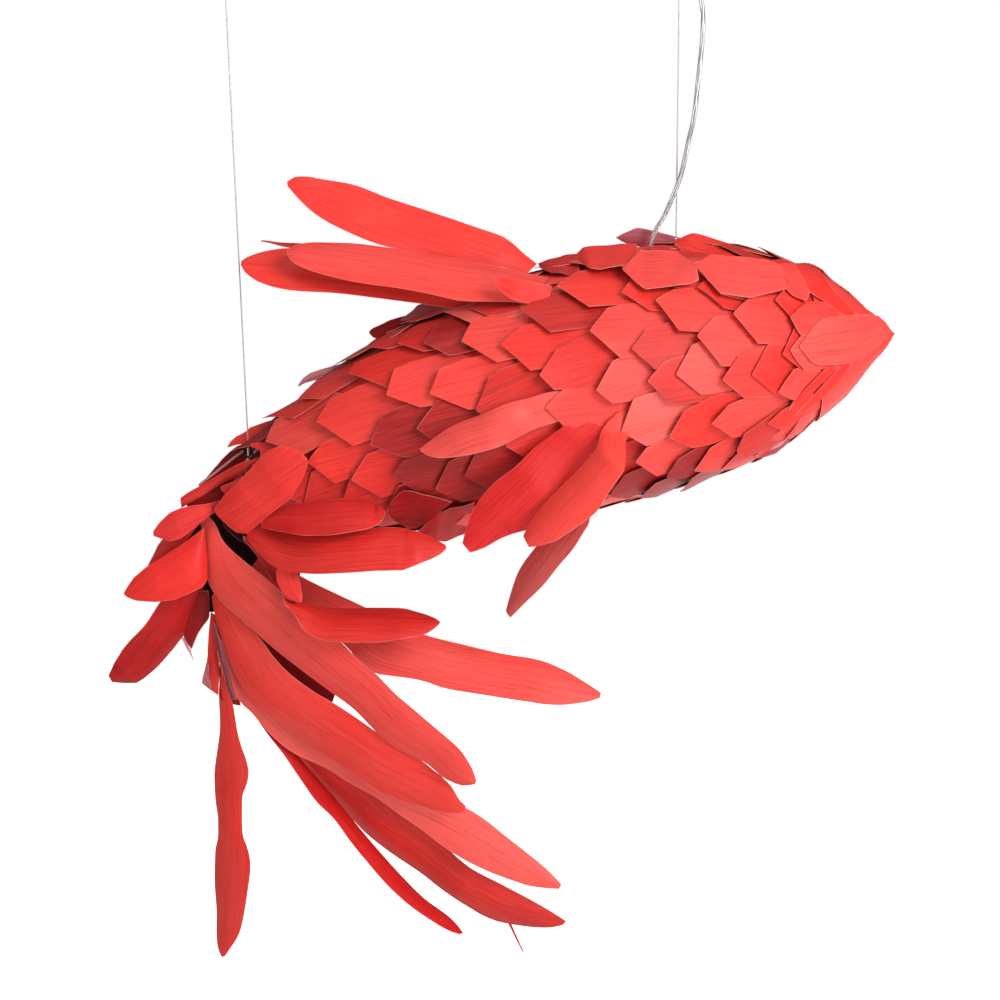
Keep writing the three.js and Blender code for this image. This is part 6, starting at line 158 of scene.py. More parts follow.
# small loose pieces, as fins, with tones that are partly painted light and shade; those of colour 'inner' are
# near-black sheets standing in for the shade between the tail strips: painted shade
EXTRAS = {
    "ridge_01": {"face":-1,"curl":1.5,"tone":-0.1,"col":"back","rows":[[-71.5,12.0,-396.9,-71.0,12.0,-397.3],[-67.0,12.5,-394.4,-66.9,12.5,-400.2],[-62.5,12.9,-392.1,-62.4,12.9,-402.5],[-57.8,13.4,-390.1,-57.9,13.4,-404.4],[-53.1,13.9,-388.1,-53.0,13.9,-405.6],[-48.4,14.4,-386.1,-48.1,14.4,-406.8],[-43.5,14.8,-385.4,-43.2,14.8,-407.9],[-38.5,15.3,-386.3,-38.2,15.3,-408.7],[-33.4,15.8,-387.2,-33.3,15.8,-409.5],[-28.4,16.1,-388.4,-28.3,16.1,-410.3],[-23.4,16.4,-389.6,-23.3,16.4,-410.8],[-18.4,16.6,-390.8,-18.3,16.6,-411.4],[-13.4,16.8,-392.1,-13.4,16.8,-411.9],[-8.4,17.1,-393.3,-8.4,17.1,-412.5],[-3.4,17.3,-394.5,-3.4,17.3,-412.9],[1.5,17.5,-395.9,1.6,17.5,-413.4],[6.4,17.8,-397.3,6.6,17.8,-413.9],[11.4,18.0,-398.7,11.6,18.0,-414.3]]},
    "ridge_02": {"face":1,"curl":1.5,"tone":-0.9,"col":"deep","rows":[[-370.2,10.0,-510.5,-369.8,10.0,-511.7],[-366.4,9.6,-506.3,-366.1,9.6,-516.2],[-361.1,9.3,-503.9,-360.7,9.3,-518.5],[-355.8,8.9,-501.6,-355.5,8.9,-517.9],[-350.6,8.6,-499.0,-350.6,8.6,-514.6],[-345.4,8.2,-496.4,-345.6,8.2,-511.6],[-339.9,7.9,-494.6,-340.2,7.9,-509.1],[-334.4,7.5,-492.9,-334.8,7.5,-506.7],[-328.8,7.2,-491.4,-329.2,7.2,-504.9],[-323.2,6.8,-490.0,-323.5,6.8,-503.8],[-317.6,6.5,-488.6,-317.7,6.5,-502.6],[-311.9,6.1,-487.7,-311.9,6.1,-501.4],[-306.2,5.8,-486.7,-306.2,5.8,-500.3],[-300.5,5.4,-485.7,-300.4,5.4,-499.1],[-294.8,5.1,-484.8,-294.7,5.1,-497.9],[-289.1,4.7,-484.1,-289.0,4.7,-496.4],[-283.4,4.4,-483.3,-283.4,4.4,-494.9],[-277.6,4.0,-482.5,-277.7,4.0,-493.3]]},
    "ridge_03": {"face":-1,"curl":1.0,"tone":0.15,"col":"back","rows":[[-332.6,2.0,-496.3,-332.0,2.0,-496.6],[-329.5,1.8,-493.8,-328.2,1.8,-496.5],[-326.4,1.5,-491.3,-324.5,1.5,-496.3],[-323.2,1.3,-488.9,-320.7,1.3,-496.0],[-319.9,1.1,-486.6,-317.0,1.1,-495.4],[-316.8,0.8,-484.2,-313.3,0.8,-494.7],[-314.1,0.6,-481.3,-309.5,0.6,-494.1],[-311.4,0.4,-478.4,-305.8,0.4,-493.4],[-308.0,0.1,-476.7,-302.1,0.1,-492.6],[-304.1,-0.1,-476.1,-298.4,-0.1,-491.9],[-300.2,-0.4,-475.9,-294.7,-0.4,-491.1],[-296.2,-0.6,-476.1,-291.1,-0.6,-490.1],[-292.3,-0.8,-476.4,-287.5,-0.8,-489.0],[-288.3,-1.1,-476.6,-283.9,-1.1,-487.9],[-284.4,-1.3,-476.9,-280.3,-1.3,-486.6],[-280.4,-1.5,-477.4,-276.8,-1.5,-485.3],[-276.5,-1.8,-478.1,-274.0,-1.8,-483.1],[-272.6,-2.0,-478.7,-272.0,-2.0,-479.9]]},
    "ridge_04": {"face":-1,"curl":0.5,"tone":-0.3,"col":"back","rows":[[-359.8,-2.0,-520.2,-358.6,-2.0,-522.6],[-355.7,-2.5,-517.5,-354.4,-2.5,-520.5],[-351.7,-2.9,-514.9,-350.2,-2.9,-518.4],[-347.6,-3.4,-512.3,-346.0,-3.4,-516.3],[-343.5,-3.9,-509.7,-341.7,-3.9,-514.5],[-338.9,-4.4,-508.2,-337.3,-4.4,-513.0],[-334.4,-4.8,-506.7,-332.8,-4.8,-511.6],[-329.8,-5.3,-505.2,-328.4,-5.3,-510.1],[-325.2,-5.8,-503.7,-323.9,-5.8,-508.8],[-320.5,-6.2,-502.6,-319.4,-6.2,-507.7],[-315.9,-6.7,-501.5,-314.9,-6.7,-506.6],[-311.2,-7.2,-500.4,-310.3,-7.2,-505.6],[-306.5,-7.6,-499.2,-305.8,-7.6,-504.5],[-301.9,-8.1,-498.1,-301.3,-8.1,-503.3],[-297.2,-8.6,-496.9,-296.8,-8.6,-502.2],[-292.6,-9.1,-495.7,-292.3,-9.1,-501.1],[-287.9,-9.5,-494.6,-287.8,-9.5,-499.9],[-283.3,-10.0,-493.4,-283.3,-10.0,-498.8]]},
    "ridge_05": {"face":-1,"curl":1.0,"tone":0.6,"col":"back","rows":[[-457.8,14.0,-575.2,-456.6,14.0,-577.0],[-455.3,13.8,-571.7,-453.0,13.8,-574.9],[-452.8,13.5,-568.3,-449.3,13.5,-572.8],[-449.7,13.3,-565.3,-445.3,13.3,-571.7],[-446.2,13.1,-562.9,-441.2,13.1,-570.5],[-442.7,12.8,-560.4,-437.1,12.8,-569.4],[-438.7,12.6,-559.0,-433.0,12.6,-568.3],[-434.7,12.4,-557.6,-429.0,12.4,-567.2],[-430.6,12.1,-556.2,-425.0,12.1,-566.0],[-426.5,11.9,-555.1,-420.9,11.9,-564.8],[-422.4,11.6,-554.0,-416.9,11.6,-563.5],[-418.3,11.4,-552.9,-412.9,11.4,-562.2],[-414.2,11.2,-551.8,-408.9,11.2,-560.9],[-410.1,10.9,-550.7,-404.9,10.9,-559.5],[-406.0,10.7,-549.6,-400.9,10.7,-558.2],[-401.9,10.5,-548.5,-397.2,10.5,-556.2],[-397.8,10.2,-547.4,-393.7,10.2,-554.0],[-393.7,10.0,-546.3,-390.1,10.0,-551.8]]},
    "ridge_06": {"face":-1,"curl":0.5,"tone":-0.6,"col":"back","rows":[[-393.5,8.0,-544.9,-392.3,8.0,-547.4],[-391.5,7.8,-543.3,-390.2,7.8,-545.9],[-389.5,7.5,-541.7,-388.0,7.5,-544.5],[-387.6,7.3,-540.0,-385.9,7.3,-543.0],[-385.6,7.1,-538.4,-383.8,7.1,-541.6],[-383.6,6.8,-536.8,-381.7,6.8,-540.1],[-381.6,6.6,-535.2,-379.6,6.6,-538.6],[-379.6,6.4,-533.6,-377.4,6.4,-537.2],[-377.5,6.1,-532.1,-375.3,6.1,-535.7],[-375.5,5.9,-530.5,-373.2,5.9,-534.2],[-373.5,5.6,-528.9,-371.1,5.6,-532.8],[-371.4,5.4,-527.4,-368.9,5.4,-531.4],[-369.2,5.2,-526.2,-366.7,5.2,-530.2],[-366.9,4.9,-525.0,-364.4,4.9,-529.0],[-364.6,4.7,-523.9,-362.1,4.7,-527.8],[-362.3,4.5,-522.8,-359.9,4.5,-526.5],[-360.0,4.2,-521.6,-357.6,4.2,-525.3],[-357.8,4.0,-520.5,-355.4,4.0,-524.1]]},
    "ridge_07": {"face":-1,"curl":0.6,"tone":0.5,"col":"back","rows":[[62.3,8.0,-405.3,67.2,8.0,-409.5],[66.3,8.0,-405.7,70.6,8.0,-411.2],[70.4,8.0,-406.1,74.0,8.0,-412.8],[74.4,8.0,-406.5,77.4,8.0,-414.5],[78.5,8.0,-407.0,80.9,8.0,-415.9],[82.5,8.0,-407.9,84.5,8.0,-416.9],[86.5,8.0,-408.7,88.2,8.0,-417.9],[90.4,8.0,-409.6,91.8,8.0,-418.8],[94.3,8.0,-411.0,95.5,8.0,-419.6],[98.1,8.0,-412.4,99.2,8.0,-420.4],[102.0,8.0,-413.7,102.9,8.0,-421.1],[105.7,8.0,-415.5,106.6,8.0,-422.0],[109.4,8.0,-417.3,110.2,8.0,-423.1],[113.0,8.0,-419.1,113.8,8.0,-424.1],[116.7,8.0,-420.9,117.4,8.0,-425.3],[120.4,8.0,-422.7,120.9,8.0,-426.8],[124.1,8.0,-424.5,124.4,8.0,-428.3],[127.8,8.0,-426.2,127.9,8.0,-429.8]]},
    "chin_01": {"face":-1,"curl":0.8,"tone":0.8,"col":"back","rows":[[100.4,-54.0,-646.8,101.7,-54.0,-651.0],[103.3,-54.0,-644.6,105.5,-54.0,-649.5],[106.2,-54.0,-642.5,109.4,-54.0,-648.0],[109.2,-54.0,-640.3,113.2,-54.0,-646.5],[112.1,-54.0,-638.1,117.1,-54.0,-645.0],[115.0,-54.0,-635.9,120.9,-54.0,-643.5],[117.8,-54.0,-633.7,124.0,-54.0,-641.0],[120.6,-54.0,-631.4,127.0,-54.0,-638.1],[123.4,-54.0,-629.1,129.9,-54.0,-635.2],[126.2,-53.9,-626.8,132.8,-53.9,-632.3],[129.0,-53.6,-624.4,135.8,-53.6,-629.5],[131.7,-53.4,-622.0,138.6,-53.4,-626.5],[134.4,-53.2,-619.5,141.4,-53.2,-623.5],[137.1,-52.9,-617.1,144.2,-52.9,-620.5],[139.9,-52.7,-614.7,147.1,-52.7,-617.6],[142.8,-52.5,-612.6,150.2,-52.5,-614.8],[145.7,-52.2,-610.4,153.3,-52.2,-612.1],[148.6,-52.0,-608.2,156.4,-52.0,-609.4]]},
    "chin_02": {"face":-1,"curl":0.8,"tone":-0.1,"col":"back","rows":[[91.7,-54.0,-657.0,92.9,-54.0,-657.9],[94.0,-53.8,-655.1,95.9,-53.8,-657.4],[96.4,-53.5,-653.2,99.0,-53.5,-656.8],[98.7,-53.3,-651.4,102.0,-53.3,-656.3],[101.1,-53.1,-649.6,105.1,-53.1,-655.7],[103.6,-52.8,-647.8,108.0,-52.8,-654.8],[106.0,-52.6,-646.1,110.9,-52.6,-653.8],[108.5,-52.4,-644.4,113.9,-52.4,-652.9],[111.0,-52.1,-642.7,116.8,-52.1,-651.9],[113.4,-51.8,-641.0,119.3,-51.8,-650.2],[115.9,-51.3,-639.3,121.7,-51.3,-648.3],[118.4,-50.8,-637.7,124.1,-50.8,-646.4],[120.9,-50.4,-636.0,126.5,-50.4,-644.5],[123.4,-49.9,-634.3,128.8,-49.9,-642.4],[126.1,-49.4,-632.8,130.8,-49.4,-640.1],[128.8,-48.9,-631.5,132.8,-48.9,-637.8],[131.5,-48.5,-630.2,134.8,-48.5,-635.4],[134.3,-48.0,-628.9,136.7,-48.0,-633.1]]},
    "belly_01": {"face":1,"curl":0.0,"tone":-0.75,"col":"deep","rows":[[-343.7,-93.6,-713.7,-343.3,-91.4,-716.4],[-340.7,-98.4,-708.5,-341.1,-88.0,-720.7],[-337.7,-103.2,-703.2,-339.0,-83.6,-725.1],[-334.8,-107.0,-698.1,-335.7,-81.0,-728.2],[-330.8,-110.5,-694.0,-332.1,-77.8,-731.1],[-326.7,-113.0,-690.2,-328.4,-75.2,-733.8],[-322.0,-115.2,-688.2,-324.6,-72.0,-736.3],[-316.8,-116.2,-687.8,-320.8,-68.3,-738.9],[-311.7,-116.7,-688.0,-316.4,-67.9,-739.6],[-306.7,-116.4,-689.6,-312.0,-67.5,-740.3],[-301.8,-115.7,-691.3,-307.8,-72.2,-737.8],[-296.9,-115.4,-692.8,-303.7,-76.3,-734.8],[-291.8,-115.6,-694.1,-299.7,-81.0,-731.8],[-286.9,-114.7,-695.6,-295.9,-84.5,-728.6],[-281.9,-113.9,-697.0,-292.2,-89.1,-725.1],[-276.9,-113.2,-698.6,-288.6,-92.7,-721.8],[-271.9,-112.4,-700.1,-285.0,-96.3,-718.5],[-267.0,-111.1,-701.8,-281.3,-99.8,-715.2]]},
    "belly_02": {"face":1,"curl":0.3,"tone":-0.35,"col":"deep","rows":[[-306.5,-63.0,-742.3,-310.5,-54.0,-746.1],[-303.4,-67.1,-738.3,-307.5,-52.8,-748.3],[-300.3,-71.2,-734.3,-304.5,-51.6,-750.4],[-297.1,-75.4,-730.4,-301.5,-50.5,-752.5],[-293.5,-79.8,-727.0,-298.2,-48.2,-754.2],[-289.8,-84.5,-723.5,-294.9,-45.3,-755.9],[-286.1,-89.2,-720.2,-291.6,-42.4,-757.6],[-281.9,-93.4,-717.8,-288.3,-39.1,-758.9],[-277.9,-95.1,-715.8,-284.8,-34.4,-759.9],[-273.8,-96.9,-713.8,-281.3,-29.6,-760.8],[-269.7,-98.6,-711.8,-277.8,-24.9,-761.8],[-265.5,-99.5,-710.6,-274.3,-24.5,-761.0],[-261.3,-100.1,-709.5,-270.8,-25.1,-759.8],[-257.0,-100.6,-708.3,-267.3,-25.6,-758.5],[-252.8,-101.2,-707.0,-263.8,-26.9,-757.0],[-248.7,-101.8,-705.7,-260.4,-29.3,-755.2],[-244.5,-102.4,-704.3,-256.9,-31.6,-753.5],[-240.3,-103.0,-702.9,-253.5,-34.0,-751.7]]},
    "top_20": {"face":1,"curl":0.5,"tone":0.1,"col":"red","rows":[[-544.8,8.0,-650.2,-544.0,8.0,-651.3],[-542.5,7.8,-646.7,-540.4,7.8,-650.0],[-540.1,7.6,-643.2,-536.7,7.6,-648.8],[-536.9,7.5,-640.4,-533.0,7.5,-647.8],[-533.7,7.3,-637.6,-529.2,7.3,-647.5],[-529.9,7.1,-635.7,-525.3,7.1,-647.2],[-526.2,6.9,-633.9,-521.5,6.9,-647.2],[-522.5,6.8,-631.9,-517.7,6.8,-647.4],[-519.3,6.6,-629.1,-513.9,6.6,-647.6],[-516.1,6.4,-626.4,-510.1,6.4,-648.0],[-512.2,6.2,-625.0,-506.3,6.2,-648.4],[-508.2,6.1,-623.5,-502.5,6.1,-648.4],[-504.3,5.9,-622.1,-498.7,5.9,-648.1],[-500.3,5.7,-620.7,-494.9,5.7,-647.6],[-496.4,5.5,-619.3,-491.1,5.5,-646.9],[-492.4,5.4,-618.1,-487.3,5.4,-646.1],[-488.3,5.2,-617.0,-483.6,5.2,-645.1],[-484.3,5.0,-616.0,-479.9,5.0,-644.2]]},
    "top_04": {"face":1,"curl":0.3,"tone":-0.1,"col":"red","rows":[[-3.5,-12.0,-401.2,-4.0,-30.0,-406.5],[3.7,-12.0,-397.6,2.0,-36.1,-411.5],[11.1,-12.0,-394.5,7.9,-42.2,-416.4],[18.9,-12.0,-392.1,13.5,-48.4,-421.6],[26.7,-12.0,-393.5,19.1,-54.5,-426.9],[34.6,-12.0,-395.7,26.0,-56.7,-425.7],[42.4,-12.0,-398.3,33.4,-57.6,-422.7],[50.1,-12.0,-400.8,41.1,-58.6,-421.1],[57.9,-12.0,-403.4,49.0,-59.5,-419.9],[65.6,-12.0,-406.1,57.2,-58.1,-419.8],[73.3,-12.0,-408.8,65.7,-54.4,-420.7],[81.0,-12.0,-411.6,74.3,-50.6,-421.6],[88.7,-12.0,-414.3,82.9,-46.8,-422.7],[96.5,-12.0,-416.9,91.5,-42.9,-424.2],[104.2,-12.0,-419.5,100.1,-38.7,-425.7],[112.0,-12.0,-422.1,108.8,-34.5,-427.2],[119.6,-12.0,-425.3,117.5,-30.2,-428.9],[127.1,-12.0,-428.4,126.2,-26.0,-430.7]]},
    "top_05": {"face":1,"curl":0.0,"tone":0.45,"col":"red","rows":[[13.7,-96.6,-429.6,15.0,-98.9,-431.6],[19.0,-91.5,-425.8,19.0,-104.1,-436.6],[24.3,-86.9,-422.0,23.1,-109.4,-441.7],[29.7,-80.8,-418.3,27.2,-113.6,-446.7],[35.5,-77.5,-416.4,31.3,-117.8,-451.7],[41.6,-77.6,-417.0,35.5,-121.1,-456.7],[47.7,-77.7,-417.7,40.3,-123.7,-460.9],[54.0,-77.3,-418.4,47.1,-123.3,-461.7],[60.1,-77.4,-419.0,54.0,-122.4,-462.5],[66.4,-76.5,-419.7,60.9,-122.0,-463.3],[72.5,-76.6,-420.3,67.8,-121.1,-464.1],[78.8,-75.7,-421.0,74.7,-120.2,-464.9],[85.1,-74.7,-421.7,81.7,-117.5,-463.6],[91.6,-72.8,-422.3,88.7,-114.8,-462.1],[98.2,-69.9,-423.0,95.9,-111.0,-460.6],[104.4,-68.6,-424.6,103.1,-107.3,-459.1],[110.2,-68.4,-426.8,110.4,-103.0,-457.6],[116.2,-67.7,-429.1,117.8,-98.3,-456.1]]},
    "dorsal_cover": {"face":1,"curl":0.4,"tone":-0.1,"col":"red","rows":[[-218.6,-100.0,-441.6,-217.5,-100.0,-441.6],[-217.0,-99.8,-445.9,-213.6,-99.8,-441.9],[-215.5,-99.5,-450.1,-209.6,-99.5,-442.1],[-213.9,-99.3,-454.4,-205.7,-99.3,-442.4],[-211.2,-99.1,-457.9,-201.8,-99.1,-443.0],[-207.7,-98.8,-460.9,-197.9,-98.8,-443.7],[-204.1,-98.6,-463.7,-194.0,-98.6,-444.3],[-200.5,-98.4,-466.5,-190.1,-98.4,-445.0],[-196.3,-98.1,-468.3,-186.2,-98.1,-445.6],[-191.9,-97.5,-469.8,-182.3,-97.5,-446.4],[-187.5,-96.6,-471.2,-178.5,-96.6,-447.3],[-183.0,-95.6,-472.0,-174.6,-95.6,-448.1],[-178.5,-94.7,-472.8,-170.7,-94.7,-449.0],[-173.9,-93.8,-473.2,-166.8,-93.8,-449.9],[-169.4,-92.8,-472.4,-162.9,-92.8,-450.7],[-164.8,-91.9,-471.6,-159.0,-91.9,-451.4],[-160.3,-90.9,-470.9,-155.1,-90.9,-452.1],[-155.7,-90.0,-470.1,-151.1,-90.0,-452.9]]},
    "top_01": {"face":1,"curl":0.4,"tone":0.0,"col":"red","rows":[[-122.2,-12.0,-418.7,-121.2,-18.0,-421.9],[-118.9,-11.5,-415.6,-117.8,-31.6,-424.6],[-115.6,-11.1,-412.4,-114.4,-45.3,-427.3],[-112.3,-10.6,-409.2,-111.1,-58.9,-430.0],[-107.9,-10.1,-408.5,-107.6,-72.6,-432.0],[-103.3,-10.0,-408.1,-103.1,-77.1,-432.4],[-98.8,-10.0,-407.8,-98.4,-78.5,-432.9],[-94.2,-10.0,-407.4,-93.7,-79.9,-433.0],[-89.7,-10.0,-406.9,-89.1,-81.3,-432.4],[-85.2,-10.2,-406.4,-84.4,-82.0,-431.8],[-80.6,-10.7,-405.9,-79.7,-82.0,-431.2],[-76.1,-11.2,-405.4,-75.0,-82.0,-430.6],[-71.6,-11.6,-404.9,-70.3,-82.0,-429.9],[-67.1,-12.1,-404.4,-65.6,-81.6,-429.0],[-62.6,-12.6,-404.3,-60.8,-80.2,-428.1],[-58.1,-13.1,-404.4,-56.0,-78.8,-427.3],[-53.5,-13.5,-404.6,-51.2,-77.4,-426.4],[-49.0,-14.0,-404.8,-46.4,-76.0,-425.5]]},
    "top_03": {"face":1,"curl":0.0,"tone":0.3,"col":"red","rows":[[-70.0,-90.5,-433.4,-68.4,-93.9,-435.6],[-65.6,-85.9,-429.1,-64.6,-99.4,-439.3],[-61.1,-80.2,-424.9,-60.8,-104.5,-442.9],[-56.5,-74.6,-420.7,-56.9,-109.0,-446.5],[-51.7,-68.0,-416.6,-52.9,-113.0,-449.9],[-46.8,-60.8,-412.5,-48.8,-116.6,-453.3],[-40.8,-61.8,-412.3,-44.3,-119.4,-455.5],[-34.9,-63.3,-412.3,-38.8,-119.3,-454.9],[-29.0,-64.8,-412.3,-33.3,-119.2,-454.4],[-23.0,-65.9,-412.4,-27.8,-119.1,-453.8],[-17.1,-67.4,-412.6,-22.2,-118.5,-453.1],[-11.2,-68.4,-412.7,-16.7,-118.5,-452.4],[-5.6,-70.6,-413.6,-11.1,-117.9,-451.9],[-1.3,-77.1,-417.1,-5.6,-117.8,-451.4],[3.0,-83.2,-420.6,-0.0,-117.2,-450.9],[7.0,-88.8,-424.5,5.4,-116.0,-449.7],[10.9,-94.4,-428.3,10.7,-114.2,-447.6],[15.0,-98.9,-432.2,16.0,-112.4,-445.6]]},
    "top_02": {"face":1,"curl":0.4,"tone":-0.6,"col":"red","rows":[[-165.6,-6.0,-427.9,-163.4,-16.0,-433.1],[-162.9,-6.0,-427.0,-160.8,-21.6,-434.2],[-160.3,-6.0,-426.0,-158.2,-27.3,-435.3],[-157.6,-6.0,-425.1,-155.6,-32.9,-436.4],[-154.9,-6.0,-424.1,-153.0,-38.6,-437.4],[-152.2,-6.0,-423.2,-150.2,-41.8,-438.0],[-149.5,-6.0,-422.3,-147.4,-44.1,-438.3],[-146.9,-6.0,-421.4,-144.5,-46.5,-438.7],[-144.2,-6.0,-420.4,-141.7,-48.8,-439.0],[-141.4,-6.0,-419.8,-138.8,-50.5,-439.5],[-138.6,-6.0,-419.2,-136.0,-51.4,-440.1],[-135.9,-6.0,-418.6,-133.1,-52.4,-440.6],[-133.1,-6.0,-418.0,-130.3,-53.3,-441.2],[-130.3,-6.0,-417.6,-127.6,-53.8,-440.6],[-127.4,-6.0,-417.4,-125.0,-52.8,-439.2],[-124.6,-6.0,-417.1,-122.4,-51.9,-437.8],[-121.8,-6.0,-416.9,-119.8,-50.9,-436.5],[-118.9,-6.0,-416.6,-117.2,-50.0,-435.1]]},
    "tail_end_01": {"face":1,"curl":3.0,"tone":-0.5,"col":"red","rows":[[-593.3,-50.0,-705.6,-592.4,-50.0,-717.1],[-588.1,-49.6,-701.9,-586.6,-49.6,-714.0],[-582.8,-49.3,-698.3,-580.8,-49.3,-711.0],[-577.3,-48.9,-695.2,-575.1,-48.9,-707.8],[-571.7,-48.6,-692.2,-569.4,-48.6,-704.6],[-566.2,-48.2,-689.0,-563.9,-48.2,-701.0],[-560.7,-47.8,-685.8,-558.5,-47.8,-697.4],[-555.3,-47.1,-682.7,-553.1,-47.1,-693.9],[-549.8,-46.4,-679.5,-547.6,-46.4,-690.4],[-544.3,-45.6,-676.4,-542.0,-45.6,-687.3],[-538.9,-44.9,-673.2,-536.0,-44.9,-684.9],[-533.4,-44.2,-670.1,-529.9,-44.2,-682.7],[-527.9,-43.8,-667.1,-523.8,-43.8,-680.5],[-522.1,-43.4,-664.5,-518.4,-43.4,-677.2],[-516.2,-43.1,-662.2,-514.1,-43.1,-672.2],[-509.9,-42.7,-661.1,-509.7,-42.7,-667.5],[-504.1,-42.4,-658.8,-504.1,-42.4,-664.1],[-498.4,-42.0,-656.0,-498.5,-42.0,-660.8]]},
    "tail_end_02": {"face":1,"curl":1.5,"tone":-1.0,"col":"deep","rows":[[-559.5,10.0,-674.9,-582.2,10.0,-701.6],[-557.4,9.9,-672.6,-578.2,9.9,-698.9],[-555.4,9.8,-670.2,-574.2,9.8,-696.3],[-553.3,9.6,-667.8,-570.2,9.6,-693.6],[-551.2,9.5,-665.5,-566.2,9.5,-691.0],[-548.9,9.4,-663.3,-562.1,9.4,-688.6],[-546.7,9.3,-661.1,-557.9,9.3,-686.2],[-544.4,9.2,-658.9,-553.8,9.2,-683.8],[-542.2,9.1,-656.7,-549.6,9.1,-681.6],[-539.7,8.9,-654.8,-545.3,8.9,-679.4],[-537.2,8.8,-652.9,-541.0,8.8,-677.3],[-534.7,8.7,-651.0,-536.8,8.7,-675.2],[-532.1,8.6,-649.1,-532.5,8.6,-673.0],[-529.2,8.5,-648.3,-528.0,8.5,-671.5],[-526.1,8.4,-647.7,-523.5,8.4,-670.0],[-523.1,8.2,-647.0,-519.0,8.2,-668.5],[-520.0,8.1,-646.4,-514.5,8.1,-667.0],[-517.0,8.0,-645.8,-510.0,8.0,-665.5]]},
    "tail_end_03": {"face":-1,"curl":0.4,"tone":1.0,"col":"back","rows":[[-580.5,4.0,-695.8,-579.9,4.0,-698.5],[-577.2,3.9,-693.3,-576.6,3.9,-696.0],[-573.9,3.8,-690.8,-573.2,3.8,-693.5],[-570.6,3.6,-688.4,-569.9,3.6,-691.0],[-567.3,3.5,-685.9,-566.6,3.5,-688.5],[-564.0,3.4,-683.4,-563.2,3.4,-686.1],[-560.7,3.3,-680.9,-559.9,3.3,-683.6],[-557.4,3.2,-678.4,-556.6,3.2,-681.0],[-554.2,3.1,-675.8,-553.3,3.1,-678.4],[-551.0,2.9,-673.2,-550.1,2.9,-675.8],[-547.8,2.8,-670.6,-546.8,2.8,-673.3],[-544.5,2.7,-668.1,-543.5,2.7,-670.7],[-541.3,2.6,-665.6,-540.2,2.6,-668.1],[-538.0,2.5,-663.1,-536.9,2.5,-665.6],[-534.7,2.4,-660.6,-533.6,2.4,-663.1],[-531.4,2.2,-658.1,-530.3,2.2,-660.6],[-528.1,2.1,-655.7,-527.0,2.1,-658.2],[-524.8,2.0,-653.2,-523.7,2.0,-655.7]]},
    "tail_end_04": {"face":1,"curl":1.0,"tone":-1.0,"col":"deep","rows":[[-588.6,-40.0,-710.6,-587.2,-40.0,-719.1],[-585.4,-39.8,-708.1,-583.6,-39.8,-718.6],[-582.3,-39.5,-705.7,-580.0,-39.5,-718.0],[-579.2,-39.3,-703.2,-576.5,-39.3,-717.5],[-576.0,-39.1,-700.7,-572.9,-39.1,-717.0],[-572.6,-38.8,-698.6,-569.3,-38.8,-716.6],[-569.2,-38.6,-696.4,-565.7,-38.6,-716.2],[-565.9,-38.4,-694.3,-562.1,-38.4,-715.8],[-562.5,-38.1,-692.1,-558.5,-38.1,-715.5],[-559.1,-37.9,-690.0,-554.8,-37.9,-715.1],[-555.8,-37.6,-687.8,-551.2,-37.6,-714.7],[-552.5,-37.4,-685.6,-547.6,-37.4,-714.3],[-549.1,-37.2,-683.4,-544.0,-37.2,-713.8],[-545.8,-36.9,-681.2,-540.5,-36.9,-713.3],[-542.1,-36.7,-679.7,-537.0,-36.7,-712.2],[-538.3,-36.5,-678.5,-533.5,-36.5,-711.0],[-534.5,-36.2,-677.3,-530.1,-36.2,-709.9],[-530.8,-36.0,-676.0,-526.6,-36.0,-708.8]]},
    "tail_end_05": {"face":1,"curl":1.0,"tone":-0.1,"col":"bright","rows":[[-544.6,-50.0,-691.7,-544.1,-50.0,-695.9],[-542.9,-50.2,-691.0,-543.0,-50.2,-697.1],[-541.3,-50.5,-690.3,-542.0,-50.5,-698.2],[-539.6,-50.7,-689.6,-541.0,-50.7,-699.4],[-538.0,-50.9,-688.8,-540.0,-50.9,-700.5],[-536.4,-51.2,-688.1,-538.8,-51.2,-701.5],[-534.7,-51.4,-687.4,-537.6,-51.4,-702.5],[-533.1,-51.6,-686.7,-536.4,-51.6,-703.5],[-531.4,-51.9,-685.9,-535.3,-51.9,-704.5],[-529.8,-52.1,-685.2,-534.1,-52.1,-703.9],[-528.2,-52.4,-684.5,-533.0,-52.4,-702.7],[-526.5,-52.6,-683.7,-531.8,-52.6,-701.6],[-525.0,-52.8,-682.8,-530.7,-52.8,-700.5],[-523.5,-53.1,-681.9,-529.5,-53.1,-699.3],[-522.0,-53.3,-680.9,-528.4,-53.3,-698.2],[-520.5,-53.5,-679.9,-527.2,-53.5,-697.1],[-519.0,-53.8,-678.9,-526.1,-53.8,-695.9],[-517.4,-54.0,-678.0,-524.9,-54.0,-694.8]]},
